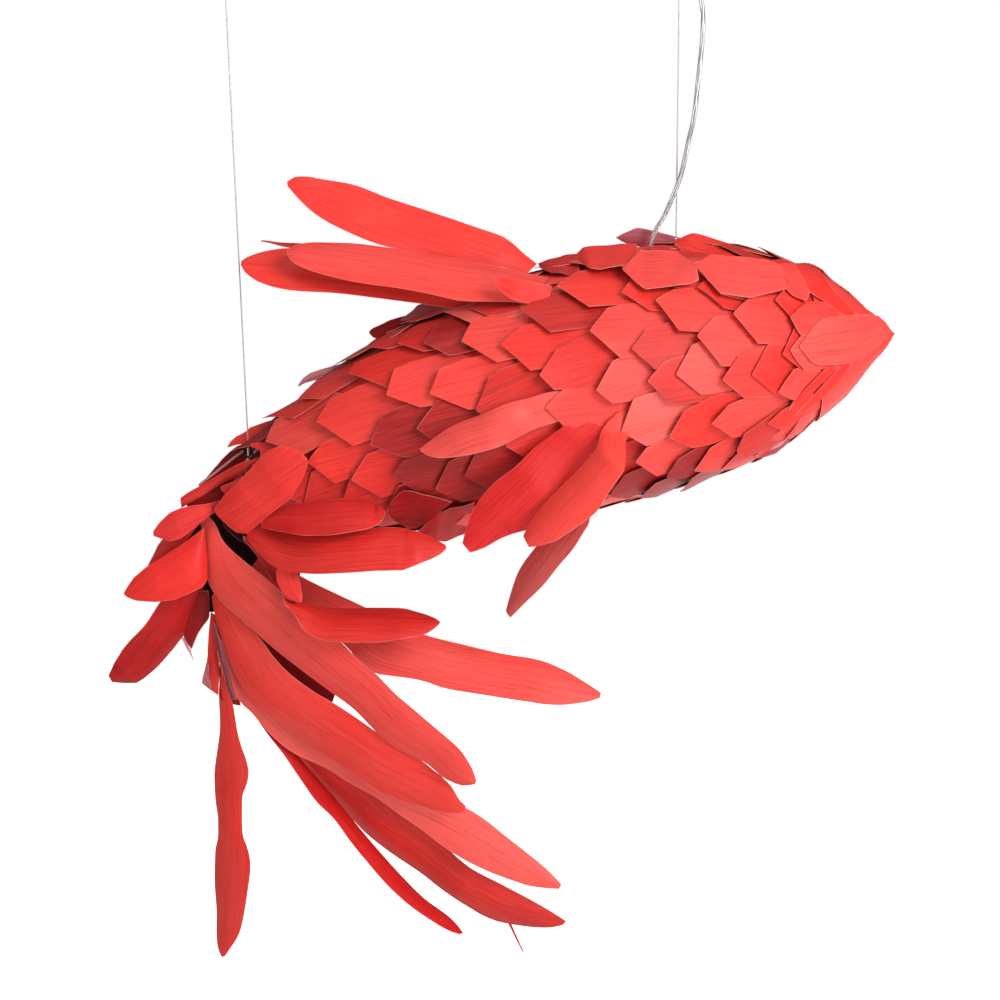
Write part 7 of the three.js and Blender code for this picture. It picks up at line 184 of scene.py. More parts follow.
    "throat_lining": {"face":1,"curl":4.0,"tone":-1.0,"col":"inner","rows":[[-595.4,24.0,-743.4,-590.8,24.0,-758.5],[-587.4,24.7,-737.1,-586.2,24.7,-767.5],[-579.4,25.4,-730.7,-581.6,25.4,-776.5],[-571.6,26.1,-724.1,-576.3,26.1,-785.1],[-562.6,26.8,-719.9,-570.7,26.8,-793.6],[-552.7,27.5,-717.5,-564.5,27.5,-801.6],[-543.7,28.4,-719.6,-557.9,28.4,-809.2],[-535.3,29.4,-725.3,-551.0,29.4,-816.7],[-526.9,30.5,-731.0,-543.4,30.5,-823.3],[-519.0,31.5,-737.3,-535.8,31.5,-830.0],[-511.7,32.6,-744.5,-528.0,32.6,-836.5],[-504.4,33.6,-751.7,-519.5,33.6,-841.9],[-497.1,34.7,-759.0,-510.9,34.7,-847.3],[-489.9,35.8,-766.2,-502.4,35.8,-852.7],[-482.8,36.8,-773.8,-492.8,36.8,-854.6],[-475.8,37.9,-781.4,-482.7,37.9,-854.8],[-468.7,38.9,-788.9,-472.6,38.9,-855.0],[-461.7,40.0,-796.5,-462.6,40.0,-855.2]]},
    "root_back": {"face":1,"curl":2.0,"tone":-1.0,"col":"inner","rows":[[-600.3,-2.0,-821.7,-575.2,-2.0,-854.3],[-598.9,-1.8,-818.2,-573.3,-1.8,-854.3],[-597.4,-1.5,-814.8,-571.4,-1.5,-854.4],[-596.0,-1.3,-811.3,-569.6,-1.3,-854.4],[-594.6,-1.1,-807.9,-567.7,-1.1,-854.5],[-593.2,-0.8,-804.5,-565.8,-0.8,-854.5],[-591.8,-0.6,-801.0,-564.0,-0.6,-854.3],[-590.4,-0.4,-797.6,-562.2,-0.4,-853.9],[-588.7,-0.1,-794.2,-560.4,-0.1,-853.5],[-587.0,0.1,-790.9,-558.5,0.1,-853.1],[-585.3,0.4,-787.6,-556.7,0.4,-852.8],[-583.6,0.6,-784.3,-554.9,0.6,-852.4],[-581.9,0.8,-781.0,-553.2,0.8,-851.7],[-580.3,1.1,-777.7,-551.5,1.1,-850.8],[-578.3,1.3,-774.5,-549.8,1.3,-850.0],[-576.4,1.5,-771.3,-548.1,1.5,-849.2],[-574.5,1.8,-768.1,-546.4,1.8,-848.4],[-572.5,2.0,-765.0,-544.8,2.0,-847.6]]},
    "eye_cover": {"face":1,"curl":0.4,"tone":-0.1,"col":"red","rows":[[-509.5,-46.0,-640.5,-509.0,-46.0,-644.1],[-506.4,-46.4,-640.1,-507.4,-46.4,-644.7],[-503.3,-46.7,-639.7,-505.9,-46.7,-645.3],[-500.2,-47.1,-639.2,-504.4,-47.1,-645.9],[-497.0,-47.4,-639.1,-502.9,-47.4,-646.3],[-493.9,-47.8,-639.1,-501.3,-47.8,-646.8],[-490.8,-48.1,-639.1,-499.8,-48.1,-647.3],[-487.8,-48.5,-639.6,-498.5,-48.5,-648.2],[-484.7,-48.8,-640.3,-497.5,-48.8,-649.4],[-481.7,-49.2,-641.0,-496.7,-49.2,-650.7],[-478.7,-49.5,-641.7,-496.8,-49.5,-652.3],[-475.8,-49.9,-642.8,-496.8,-49.9,-653.8],[-473.0,-50.2,-644.0,-496.9,-50.2,-655.4],[-470.2,-50.6,-645.2,-497.0,-50.6,-657.0],[-467.3,-50.9,-646.4,-497.0,-50.9,-658.5],[-464.5,-51.3,-647.6,-497.1,-51.3,-660.1],[-461.7,-51.6,-648.8,-497.1,-51.6,-661.6],[-458.8,-52.0,-650.0,-497.2,-52.0,-663.2]]},
    "root_gap": {"face":1,"curl":0.5,"tone":-1.0,"col":"inner","rows":[[-602.4,-18.0,-772.8,-580.5,-18.0,-776.5],[-601.0,-18.0,-770.3,-579.2,-18.0,-775.7],[-599.6,-18.0,-767.8,-577.8,-18.0,-775.0],[-598.2,-18.0,-765.4,-576.5,-18.0,-774.2],[-596.8,-18.0,-762.9,-575.1,-18.0,-773.4],[-595.4,-18.0,-760.4,-573.8,-18.0,-772.6],[-594.0,-18.0,-757.9,-572.4,-18.0,-771.9],[-592.6,-18.0,-755.4,-571.2,-18.0,-770.9],[-591.2,-18.0,-753.0,-570.1,-18.0,-769.8],[-589.8,-18.0,-750.5,-569.0,-18.0,-768.7],[-588.4,-18.0,-748.0,-567.8,-18.0,-767.6],[-587.0,-18.0,-745.5,-566.7,-18.0,-766.4],[-585.6,-18.0,-743.1,-565.6,-18.0,-765.3],[-584.1,-18.0,-740.7,-564.6,-18.0,-764.1],[-582.6,-18.0,-738.2,-563.6,-18.0,-762.9],[-581.2,-18.0,-735.8,-562.6,-18.0,-761.7],[-579.7,-18.0,-733.4,-561.7,-18.0,-760.5],[-578.3,-18.0,-730.9,-560.7,-18.0,-759.2]]},
    "throat_strip": {"face":1,"curl":2.0,"tone":-0.8,"col":"red","rows":[[-517.2,-66.0,-749.0,-516.7,-66.0,-753.9],[-513.5,-65.8,-750.8,-513.4,-65.8,-757.8],[-509.9,-65.5,-752.5,-510.1,-65.5,-761.8],[-506.3,-65.3,-754.3,-506.9,-65.3,-765.7],[-502.6,-65.1,-755.9,-503.7,-65.1,-769.8],[-498.8,-64.8,-757.4,-500.8,-64.8,-774.1],[-495.1,-64.6,-758.9,-498.0,-64.6,-778.3],[-491.4,-64.4,-760.5,-495.1,-64.4,-782.6],[-487.8,-64.1,-762.4,-492.2,-64.1,-786.9],[-484.7,-63.9,-764.9,-489.4,-63.9,-791.3],[-481.5,-63.6,-767.5,-486.6,-63.6,-795.6],[-478.4,-63.4,-770.1,-483.8,-63.4,-800.0],[-475.2,-63.2,-772.6,-481.0,-63.2,-804.3],[-472.1,-62.9,-775.2,-477.9,-62.9,-808.5],[-469.1,-62.7,-777.9,-474.8,-62.7,-812.6],[-466.0,-62.5,-780.6,-471.6,-62.5,-816.7],[-462.9,-62.2,-783.3,-468.5,-62.2,-820.8],[-459.9,-62.0,-786.0,-465.3,-62.0,-824.9]]},
    "throat_dark": {"face":1,"curl":0.5,"tone":-1.0,"col":"inner","rows":[[-544.2,-50.0,-732.2,-542.0,-50.0,-739.5],[-542.5,-50.0,-733.3,-540.6,-50.0,-741.1],[-540.7,-50.0,-734.4,-539.3,-50.0,-742.7],[-539.0,-50.0,-735.5,-537.9,-50.0,-744.3],[-537.2,-50.0,-736.5,-536.5,-50.0,-745.9],[-535.5,-50.0,-737.6,-535.1,-50.0,-747.5],[-533.7,-50.0,-738.7,-533.7,-50.0,-749.1],[-532.0,-50.0,-739.8,-532.3,-50.0,-750.7],[-530.3,-50.0,-741.1,-530.6,-50.0,-752.0],[-528.7,-50.0,-742.3,-529.0,-50.0,-753.2],[-527.1,-50.0,-743.6,-527.3,-50.0,-754.5],[-525.4,-50.0,-744.9,-525.6,-50.0,-755.8],[-523.8,-50.0,-746.1,-523.9,-50.0,-757.1],[-522.2,-50.0,-747.4,-522.2,-50.0,-758.3],[-520.6,-50.0,-748.8,-520.4,-50.0,-759.4],[-519.0,-50.0,-750.1,-518.5,-50.0,-760.4],[-517.5,-50.0,-751.5,-516.7,-50.0,-761.5],[-515.9,-50.0,-752.8,-514.9,-50.0,-762.6]]},
    "tail_strip_12x": {"face":1,"curl":1.5,"tone":-0.75,"col":"deep","rows":[[-565.6,-1.0,-862.1,-561.9,-1.0,-859.5],[-564.7,-1.0,-868.1,-559.8,-1.0,-866.1],[-563.7,-1.0,-874.2,-557.8,-1.0,-872.7],[-562.8,-1.0,-880.3,-555.8,-1.0,-879.3],[-561.8,-1.0,-886.4,-553.8,-1.0,-885.8],[-561.0,-1.0,-892.6,-551.9,-1.0,-892.5],[-560.4,-1.0,-898.7,-550.1,-1.0,-899.1],[-559.8,-1.0,-904.9,-548.4,-1.0,-905.8],[-559.1,-1.0,-911.1,-546.6,-1.0,-912.5],[-558.8,-1.1,-917.2,-544.8,-1.1,-919.2],[-558.9,-1.2,-923.4,-543.4,-1.2,-925.9],[-559.0,-1.3,-929.6,-542.0,-1.3,-932.7],[-559.1,-1.4,-935.8,-540.6,-1.4,-939.5],[-559.3,-1.5,-942.1,-539.2,-1.5,-946.2],[-559.5,-1.6,-948.3,-537.7,-1.6,-953.0],[-559.8,-1.8,-954.5,-536.2,-1.8,-959.8],[-560.1,-1.9,-960.7,-534.6,-1.9,-966.6],[-560.3,-2.0,-966.9,-533.1,-2.0,-973.3]]},
    "tail_strip_20x": {"face":1,"curl":1.5,"tone":-1.0,"col":"deep","rows":[[-530.8,14.0,-869.0,-534.7,14.0,-877.9],[-524.1,13.8,-874.4,-528.9,13.8,-884.6],[-517.4,13.5,-879.8,-523.0,13.5,-891.3],[-510.8,13.3,-885.1,-517.1,13.3,-898.0],[-504.2,13.1,-890.7,-511.2,13.1,-904.7],[-497.7,12.8,-896.3,-505.2,12.8,-911.2],[-491.2,12.6,-902.0,-499.1,12.6,-917.8],[-484.7,12.4,-907.6,-493.0,12.4,-924.4],[-477.9,12.1,-913.0,-486.8,12.1,-930.7],[-471.1,11.9,-918.2,-480.3,11.9,-936.9],[-464.2,11.6,-923.4,-473.9,11.6,-943.1],[-457.4,11.4,-928.7,-467.2,11.4,-949.1],[-450.4,11.2,-933.8,-460.4,11.2,-955.0],[-443.5,10.9,-938.9,-453.6,10.9,-960.8],[-436.5,10.7,-944.0,-446.6,10.7,-966.3],[-429.7,10.5,-949.3,-439.0,10.5,-970.9],[-422.8,10.2,-954.5,-431.3,10.2,-975.6],[-415.9,10.0,-959.8,-423.7,10.0,-980.3]]},
    "tail_strip_04x": {"face":1,"curl":2.0,"tone":-0.2,"col":"red","rows":[[-462.0,-104.0,-778.5,-455.0,-104.0,-778.5],[-465.8,-104.4,-778.5,-453.1,-104.4,-780.4],[-469.6,-104.7,-778.4,-451.2,-104.7,-782.2],[-471.5,-105.1,-781.4,-449.7,-105.1,-784.4],[-473.2,-105.4,-784.9,-448.7,-105.4,-786.8],[-473.2,-105.8,-788.7,-447.7,-105.8,-789.2],[-472.9,-106.1,-792.5,-447.0,-106.1,-791.8],[-472.6,-106.2,-796.4,-446.4,-106.2,-794.4],[-470.9,-106.4,-799.9,-445.9,-106.4,-797.0],[-469.2,-106.6,-803.3,-445.3,-106.6,-799.6],[-467.5,-106.8,-806.8,-444.8,-106.8,-802.2],[-465.8,-106.9,-810.2,-444.2,-106.9,-804.8],[-462.7,-107.1,-812.5,-443.7,-107.1,-807.4],[-459.6,-107.3,-814.7,-443.5,-107.3,-810.1],[-456.5,-107.5,-817.0,-443.2,-107.5,-812.7],[-453.2,-107.6,-819.0,-443.1,-107.6,-815.4],[-449.5,-107.8,-820.0,-443.5,-107.8,-818.0],[-445.8,-108.0,-821.0,-443.9,-108.0,-820.7]]},
    "tail_strip_18x": {"face":1,"curl":2.0,"tone":-0.6,"col":"red","rows":[[-637.6,-34.0,-790.4,-637.0,-34.0,-791.4],[-635.9,-34.2,-786.9,-632.9,-34.2,-788.7],[-634.2,-34.5,-783.5,-628.7,-34.5,-786.1],[-632.4,-34.7,-780.1,-624.6,-34.7,-783.5],[-630.4,-34.9,-776.8,-620.5,-34.9,-780.8],[-628.6,-35.2,-773.4,-616.5,-35.2,-778.1],[-627.0,-35.4,-770.0,-612.4,-35.4,-775.4],[-625.3,-35.6,-766.6,-608.3,-35.6,-772.7],[-623.2,-35.9,-763.4,-604.2,-35.9,-770.1],[-620.9,-36.1,-760.4,-600.1,-36.1,-767.6],[-618.5,-36.4,-757.4,-596.0,-36.4,-764.9],[-615.3,-36.6,-755.4,-592.6,-36.6,-761.4],[-611.9,-36.8,-753.7,-589.3,-36.8,-757.8],[-608.5,-37.1,-752.0,-585.9,-37.1,-754.3],[-605.1,-37.3,-750.5,-582.8,-37.3,-750.5],[-601.6,-37.5,-749.1,-579.9,-37.5,-746.6],[-598.1,-37.8,-747.6,-576.9,-37.8,-742.8],[-594.6,-38.0,-746.2,-573.9,-38.0,-738.9]]},
    "tail_strip_16x": {"face":1,"curl":2.5,"tone":-1.0,"col":"deep","rows":[[-593.2,-4.0,-899.9,-592.2,-4.0,-900.5],[-595.5,-4.2,-896.1,-590.4,-4.2,-896.0],[-597.7,-4.5,-892.2,-588.6,-4.5,-891.5],[-599.7,-4.7,-888.2,-586.7,-4.7,-887.1],[-601.5,-4.9,-884.2,-584.7,-4.9,-882.7],[-602.6,-5.2,-879.8,-582.4,-5.2,-878.5],[-603.6,-5.4,-875.5,-579.7,-5.4,-874.5],[-603.9,-5.6,-871.0,-576.9,-5.6,-870.5],[-603.8,-5.9,-866.5,-573.9,-5.9,-866.8],[-603.6,-6.1,-862.0,-571.0,-6.1,-863.0],[-603.5,-6.4,-857.4,-569.2,-6.4,-858.8],[-602.4,-6.6,-853.0,-569.0,-6.6,-854.0],[-601.3,-6.8,-848.6,-568.7,-6.8,-849.3],[-600.2,-7.1,-844.2,-568.5,-7.1,-844.5],[-598.3,-7.3,-840.1,-568.5,-7.3,-839.8],[-596.2,-7.5,-836.1,-568.5,-7.5,-835.0],[-594.1,-7.8,-832.1,-568.6,-7.8,-830.3],[-592.0,-8.0,-828.0,-568.6,-8.0,-825.5]]},
    "tail_spike": {"face":-1,"curl":0.3,"tone":0.9,"col":"back","rows":[[-604.8,-3.0,-886.8,-601.0,-3.0,-885.6],[-604.0,-3.0,-888.5,-600.3,-3.0,-887.2],[-603.2,-3.0,-890.1,-599.5,-3.0,-888.9],[-602.5,-3.0,-891.8,-598.7,-3.0,-890.6],[-601.7,-3.0,-893.4,-597.9,-3.0,-892.2],[-600.9,-3.0,-895.1,-597.2,-3.0,-893.9],[-600.1,-3.0,-896.7,-596.4,-3.0,-895.6],[-599.3,-3.0,-898.4,-595.8,-3.0,-897.3],[-598.5,-3.0,-900.0,-595.1,-3.0,-899.0],[-597.7,-3.0,-901.6,-594.4,-3.0,-900.7],[-596.9,-3.0,-903.3,-593.7,-3.0,-902.4],[-596.1,-3.0,-904.9,-593.1,-3.0,-904.2],[-595.2,-3.0,-906.5,-592.6,-3.0,-906.0],[-594.4,-3.0,-908.2,-592.1,-3.0,-907.8],[-593.5,-3.0,-909.8,-591.6,-3.0,-909.5],[-592.7,-3.0,-911.4,-591.1,-3.0,-911.3],[-591.8,-3.0,-913.0,-590.6,-3.0,-913.1],[-591.0,-3.0,-914.6,-590.1,-3.0,-914.9]]},
    "tail_strip_13x": {"face":1,"curl":2.5,"tone":-0.25,"col":"red","rows":[[-580.4,-5.0,-943.6,-560.3,-5.0,-958.9],[-579.4,-5.1,-938.2,-559.9,-5.1,-953.0],[-578.3,-5.2,-932.9,-559.5,-5.2,-947.0],[-577.1,-5.4,-927.7,-559.1,-5.4,-941.1],[-575.7,-5.5,-922.4,-558.6,-5.5,-935.1],[-574.3,-5.6,-917.2,-558.2,-5.6,-929.2],[-573.2,-5.7,-911.9,-558.3,-5.7,-923.2],[-572.6,-5.8,-906.6,-558.5,-5.8,-917.3],[-572.1,-5.9,-901.2,-558.6,-5.9,-911.4],[-571.6,-6.1,-895.9,-558.8,-6.1,-905.5],[-571.1,-6.4,-890.5,-558.9,-6.4,-899.5],[-570.7,-6.6,-885.1,-559.0,-6.6,-893.6],[-570.2,-6.8,-879.7,-559.1,-6.8,-887.7],[-569.7,-7.1,-874.4,-559.2,-7.1,-881.7],[-569.0,-7.3,-869.1,-559.3,-7.3,-875.8],[-568.2,-7.5,-863.7,-559.3,-7.5,-869.9],[-567.5,-7.8,-858.4,-559.4,-7.8,-864.0],[-566.8,-8.0,-853.1,-559.5,-8.0,-858.1]]},
    "tail_strip_13y": {"face":-1,"curl":0.4,"tone":0.2,"col":"back","rows":[[-580.5,-9.0,-942.6,-559.6,-9.0,-958.6],[-580.1,-9.0,-940.9,-561.1,-9.0,-956.9],[-579.7,-9.0,-939.1,-562.6,-9.0,-955.3],[-579.4,-9.0,-937.4,-564.1,-9.0,-953.6],[-579.0,-9.0,-935.7,-565.6,-9.0,-952.0],[-578.6,-9.0,-934.0,-567.0,-9.0,-950.2],[-578.1,-9.0,-932.3,-567.6,-9.0,-948.0],[-577.6,-9.0,-930.6,-568.2,-9.0,-945.9],[-577.2,-9.0,-928.9,-568.8,-9.0,-943.7],[-576.7,-9.1,-927.2,-569.4,-9.1,-941.5],[-576.2,-9.2,-925.5,-570.0,-9.2,-939.2],[-575.6,-9.3,-923.8,-570.1,-9.3,-936.9],[-575.0,-9.4,-922.1,-570.2,-9.4,-934.6],[-574.4,-9.5,-920.4,-570.3,-9.5,-932.3],[-573.8,-9.6,-918.7,-570.4,-9.6,-930.0],[-573.2,-9.8,-917.0,-570.5,-9.8,-927.7],[-572.6,-9.9,-915.3,-570.6,-9.9,-925.4],[-572.0,-10.0,-913.6,-570.7,-10.0,-923.1]]},
    "tail_roll": {"face":-1,"curl":2.2,"tone":-1.0,"col":"back","rows":[[-561.6,-30.0,-861.0,-559.8,-30.0,-861.0],[-560.7,-30.5,-866.6,-557.8,-30.5,-866.4],[-559.9,-30.9,-872.3,-555.8,-30.9,-871.9],[-558.9,-31.4,-878.0,-553.8,-31.4,-877.3],[-557.9,-31.9,-883.6,-551.7,-31.9,-882.8],[-556.8,-32.4,-889.2,-549.6,-32.4,-888.2],[-555.8,-32.8,-894.8,-547.6,-32.8,-893.6],[-554.6,-33.3,-900.5,-546.2,-33.3,-899.3],[-553.5,-33.8,-906.1,-544.7,-33.8,-904.9],[-551.9,-34.2,-911.6,-543.3,-34.2,-910.6],[-550.3,-34.7,-917.1,-542.1,-34.7,-916.3],[-548.7,-35.2,-922.6,-540.8,-35.2,-922.0],[-547.2,-35.6,-928.1,-539.9,-35.6,-927.7],[-545.7,-36.1,-933.6,-538.9,-36.1,-933.5],[-544.1,-36.6,-939.2,-537.9,-36.6,-939.2],[-542.7,-37.1,-944.7,-536.1,-37.1,-944.8],[-541.3,-37.5,-950.3,-534.3,-37.5,-950.3],[-539.9,-38.0,-955.9,-532.5,-38.0,-955.9]]},
    "tail_needle": {"face":1,"curl":0.4,"tone":-0.2,"col":"deep","rows":[[-202.3,0.0,-1253.1,-198.5,0.0,-1253.8],[-201.1,0.2,-1255.7,-197.4,0.2,-1256.2],[-200.0,0.5,-1258.2,-196.4,0.5,-1258.7],[-198.8,0.7,-1260.8,-195.3,0.7,-1261.1],[-197.6,0.9,-1263.3,-194.2,0.9,-1263.6],[-196.4,1.2,-1265.9,-193.1,1.2,-1266.1],[-195.2,1.4,-1268.4,-192.1,1.4,-1268.6],[-194.1,1.6,-1271.0,-191.0,1.6,-1271.0],[-192.9,1.9,-1273.5,-190.0,1.9,-1273.5],[-191.7,2.1,-1276.1,-189.0,2.1,-1276.0],[-190.5,2.2,-1278.6,-187.9,2.2,-1278.5],[-189.3,2.3,-1281.1,-186.9,2.3,-1280.9],[-188.1,2.4,-1283.6,-185.9,2.4,-1283.4],[-186.9,2.5,-1286.1,-185.0,2.5,-1285.9],[-185.6,2.6,-1288.6,-184.0,2.6,-1288.3],[-184.4,2.8,-1291.1,-183.0,2.8,-1290.8],[-183.2,2.9,-1293.6,-182.0,2.9,-1293.3],[-182.0,3.0,-1296.0,-181.1,3.0,-1295.8]]},
}
# openings between the pieces at the tail end, as outlines in the plane y = 0 seen from the front
WINDOWS = [[[-583.0,-701.5],[-560.4,-673.1],[-542.8,-652.2],[-528.1,-646.1],[-501.3,-648.6],[-500.3,-660.8],[-523.6,-668.2],[-550.8,-683.0]],[[-584.0,-744.8],[-572.6,-729.9],[-559.1,-726.2],[-539.8,-741.0],[-520.5,-759.7],[-503.6,-775.8],[-485.6,-797.0],[-475.0,-829.6],[-504.5,-822.1],[-533.5,-792.1],[-562.4,-764.6],[-575.8,-759.7]],[[-594.5,-721.2],[-578.3,-711.3],[-548.6,-694.0],[-540.1,-699.0],[-542.9,-713.8],[-572.4,-718.7]]]

HOOK_Z, RING_R, BAR_R, WIRE_R, LOOP_R, SLACK = -36.0, 7.0, 1.6, 0.75, 5.0, 0.3
SWING_Z = HOOK_Z - RING_R + 2 * BAR_R + SLACK
SWAY_Z = SWING_Z - 2 * RING_R + BAR_R + SLACK + WIRE_R
TAIL_HOOK_X, LAMP_X = -536.4, -31.5
HEAD, TAIL = (0.0, -418.0), (-517.3, -671.0)
SPINE_Y = 8.6


# ---- body surface -----------------------------------------------------------------
def body_raw(s):
    n = len(BODY)
    i = 0
    while i < n - 2 and s > BODY[i + 1][0]:
        i += 1
    p0, p1, p2, p3 = BODY[max(0, i - 1)], BODY[i], BODY[i + 1], BODY[min(n - 1, i + 2)]
    h = p2[0] - p1[0]
    t = (s - p1[0]) / h
    out = []
    for k in range(1, 4):
        m1 = (p2[k] - p0[k]) / (p2[0] - p0[0]) if i > 0 else (p2[k] - p1[k]) / h
        m2 = (p3[k] - p1[k]) / (p3[0] - p1[0]) if i < n - 2 else (p2[k] - p1[k]) / h
        t2, t3 = t * t, t * t * t
        out.append((2 * t3 - 3 * t2 + 1) * p1[k] + (t3 - 2 * t2 + t) * h * m1 + (3 * t2 - 2 * t3) * p2[k] + (t3 - t2) * h * m2)
    return out


_GRID = np.arange(-6.0, 905.0, 2.0)
_RAW = np.array([body_raw(float(min(max(s, 0.0), 856.0))) for s in _GRID])
_END = np.array(body_raw(856.0)) - np.array(body_raw(850.0))
for _i, _s in enumerate(_GRID):
    if _s > 856.0:
        _RAW[_i] = np.array(body_raw(856.0)) + _END / 6.0 * (_s - 856.0)


def body(s):
    return np.array([np.interp(s, _GRID, _RAW[:, k]) for k in range(3)])


def frame_at(s):
    s = max(0.5, min(s, 900.0))
    a, b, c = body(s - 3), body(s + 3), body(s)
    tx, tz = b[0] - a[0], b[1] - a[1]
    n = math.hypot(tx, tz)
    tx, tz = tx / n, tz / n
    return c[0], c[1], c[2], tx, tz, tz, -tx


def surf(s, phi, h):
    x, z, r, tx, tz, nx, nz = frame_at(s)
    q = max(0.5, r + h)
    return np.array([x + nx * q * math.cos(phi), -q * math.sin(phi), z + nz * q * math.cos(phi)])


def radius(s):
    return float(frame_at(s)[2])


# ---- materials ---------------------------------------------------------------------
def new_material(name):
    m = bpy.data.materials.new(name)
    m.use_nodes = True
    nt = m.node_tree
    nt.nodes.clear()
    out = nt.nodes.new("ShaderNodeOutputMaterial")
    bsdf = nt.nodes.new("ShaderNodeBsdfPrincipled")
    nt.links.new(bsdf.outputs[0], out.inputs[0])
    return m, nt, bsdf


def N(nt, kind, **kw):
    n = nt.nodes.new(kind)
    for k, v in kw.items():
        if k.startswith("i_"):
            n.inputs[k[2:].replace("_", " ")].default_value = v
        else:
            setattr(n, k, v)
    return n


def math_node(nt, op, a, b=None, c=None, clamp=False):
    n = nt.nodes.new("ShaderNodeMath")
    n.operation = op
    n.use_clamp = clamp
    for i, v in enumerate((a, b, c)):
        if v is None:
            continue
        if isinstance(v, (int, float)):
            n.inputs[i].default_value = v
        else:
            nt.links.new(v, n.inputs[i])
    return n.outputs[0]


def mix_colour(nt, fac, a, b, blend="MIX"):
    n = nt.nodes.new("ShaderNodeMix")
    n.data_type = "RGBA"
    n.blend_type = blend
    n.clamp_factor = True
    for sock, v in ((n.inputs[0], fac), (n.inputs[6], a), (n.inputs[7], b)):
        if isinstance(v, (int, float)):
            sock.default_value = v
        elif isinstance(v, (tuple, list)):
            sock.default_value = (*v[:3], 1.0)
        else:
            nt.links.new(v, sock)
    return n.outputs[2]


def noise(nt, vec, scale, detail=3.0, rough=0.55, dist=0.0):
    n = nt.nodes.new("ShaderNodeTexNoise")
    n.inputs["Scale"].default_value = scale
    n.inputs["Detail"].default_value = detail
    n.inputs["Roughness"].default_value = rough
    n.inputs["Distortion"].default_value = dist
    nt.links.new(vec, n.inputs["Vector"])
    return n.outputs["Fac"]


def scaled(nt, vec, sx, sy, sz=1.0):
    n = nt.nodes.new("ShaderNodeMapping")
    n.inputs["Scale"].default_value = (sx, sy, sz)
    nt.links.new(vec, n.inputs["Vector"])
    return n.outputs[0]


def ramp(nt, fac, stops):
    n = nt.nodes.new("ShaderNodeValToRGB")
    e = n.color_ramp.elements
    while len(e) > 1:
        e.remove(e[-1])
    e[0].position, e[0].color = stops[0][0], (*stops[0][1], 1.0)
    for p, c in stops[1:]:
        x = e.new(p)
        x.color = (*c, 1.0)
    nt.links.new(fac, n.inputs[0])
    return n.outputs[0]


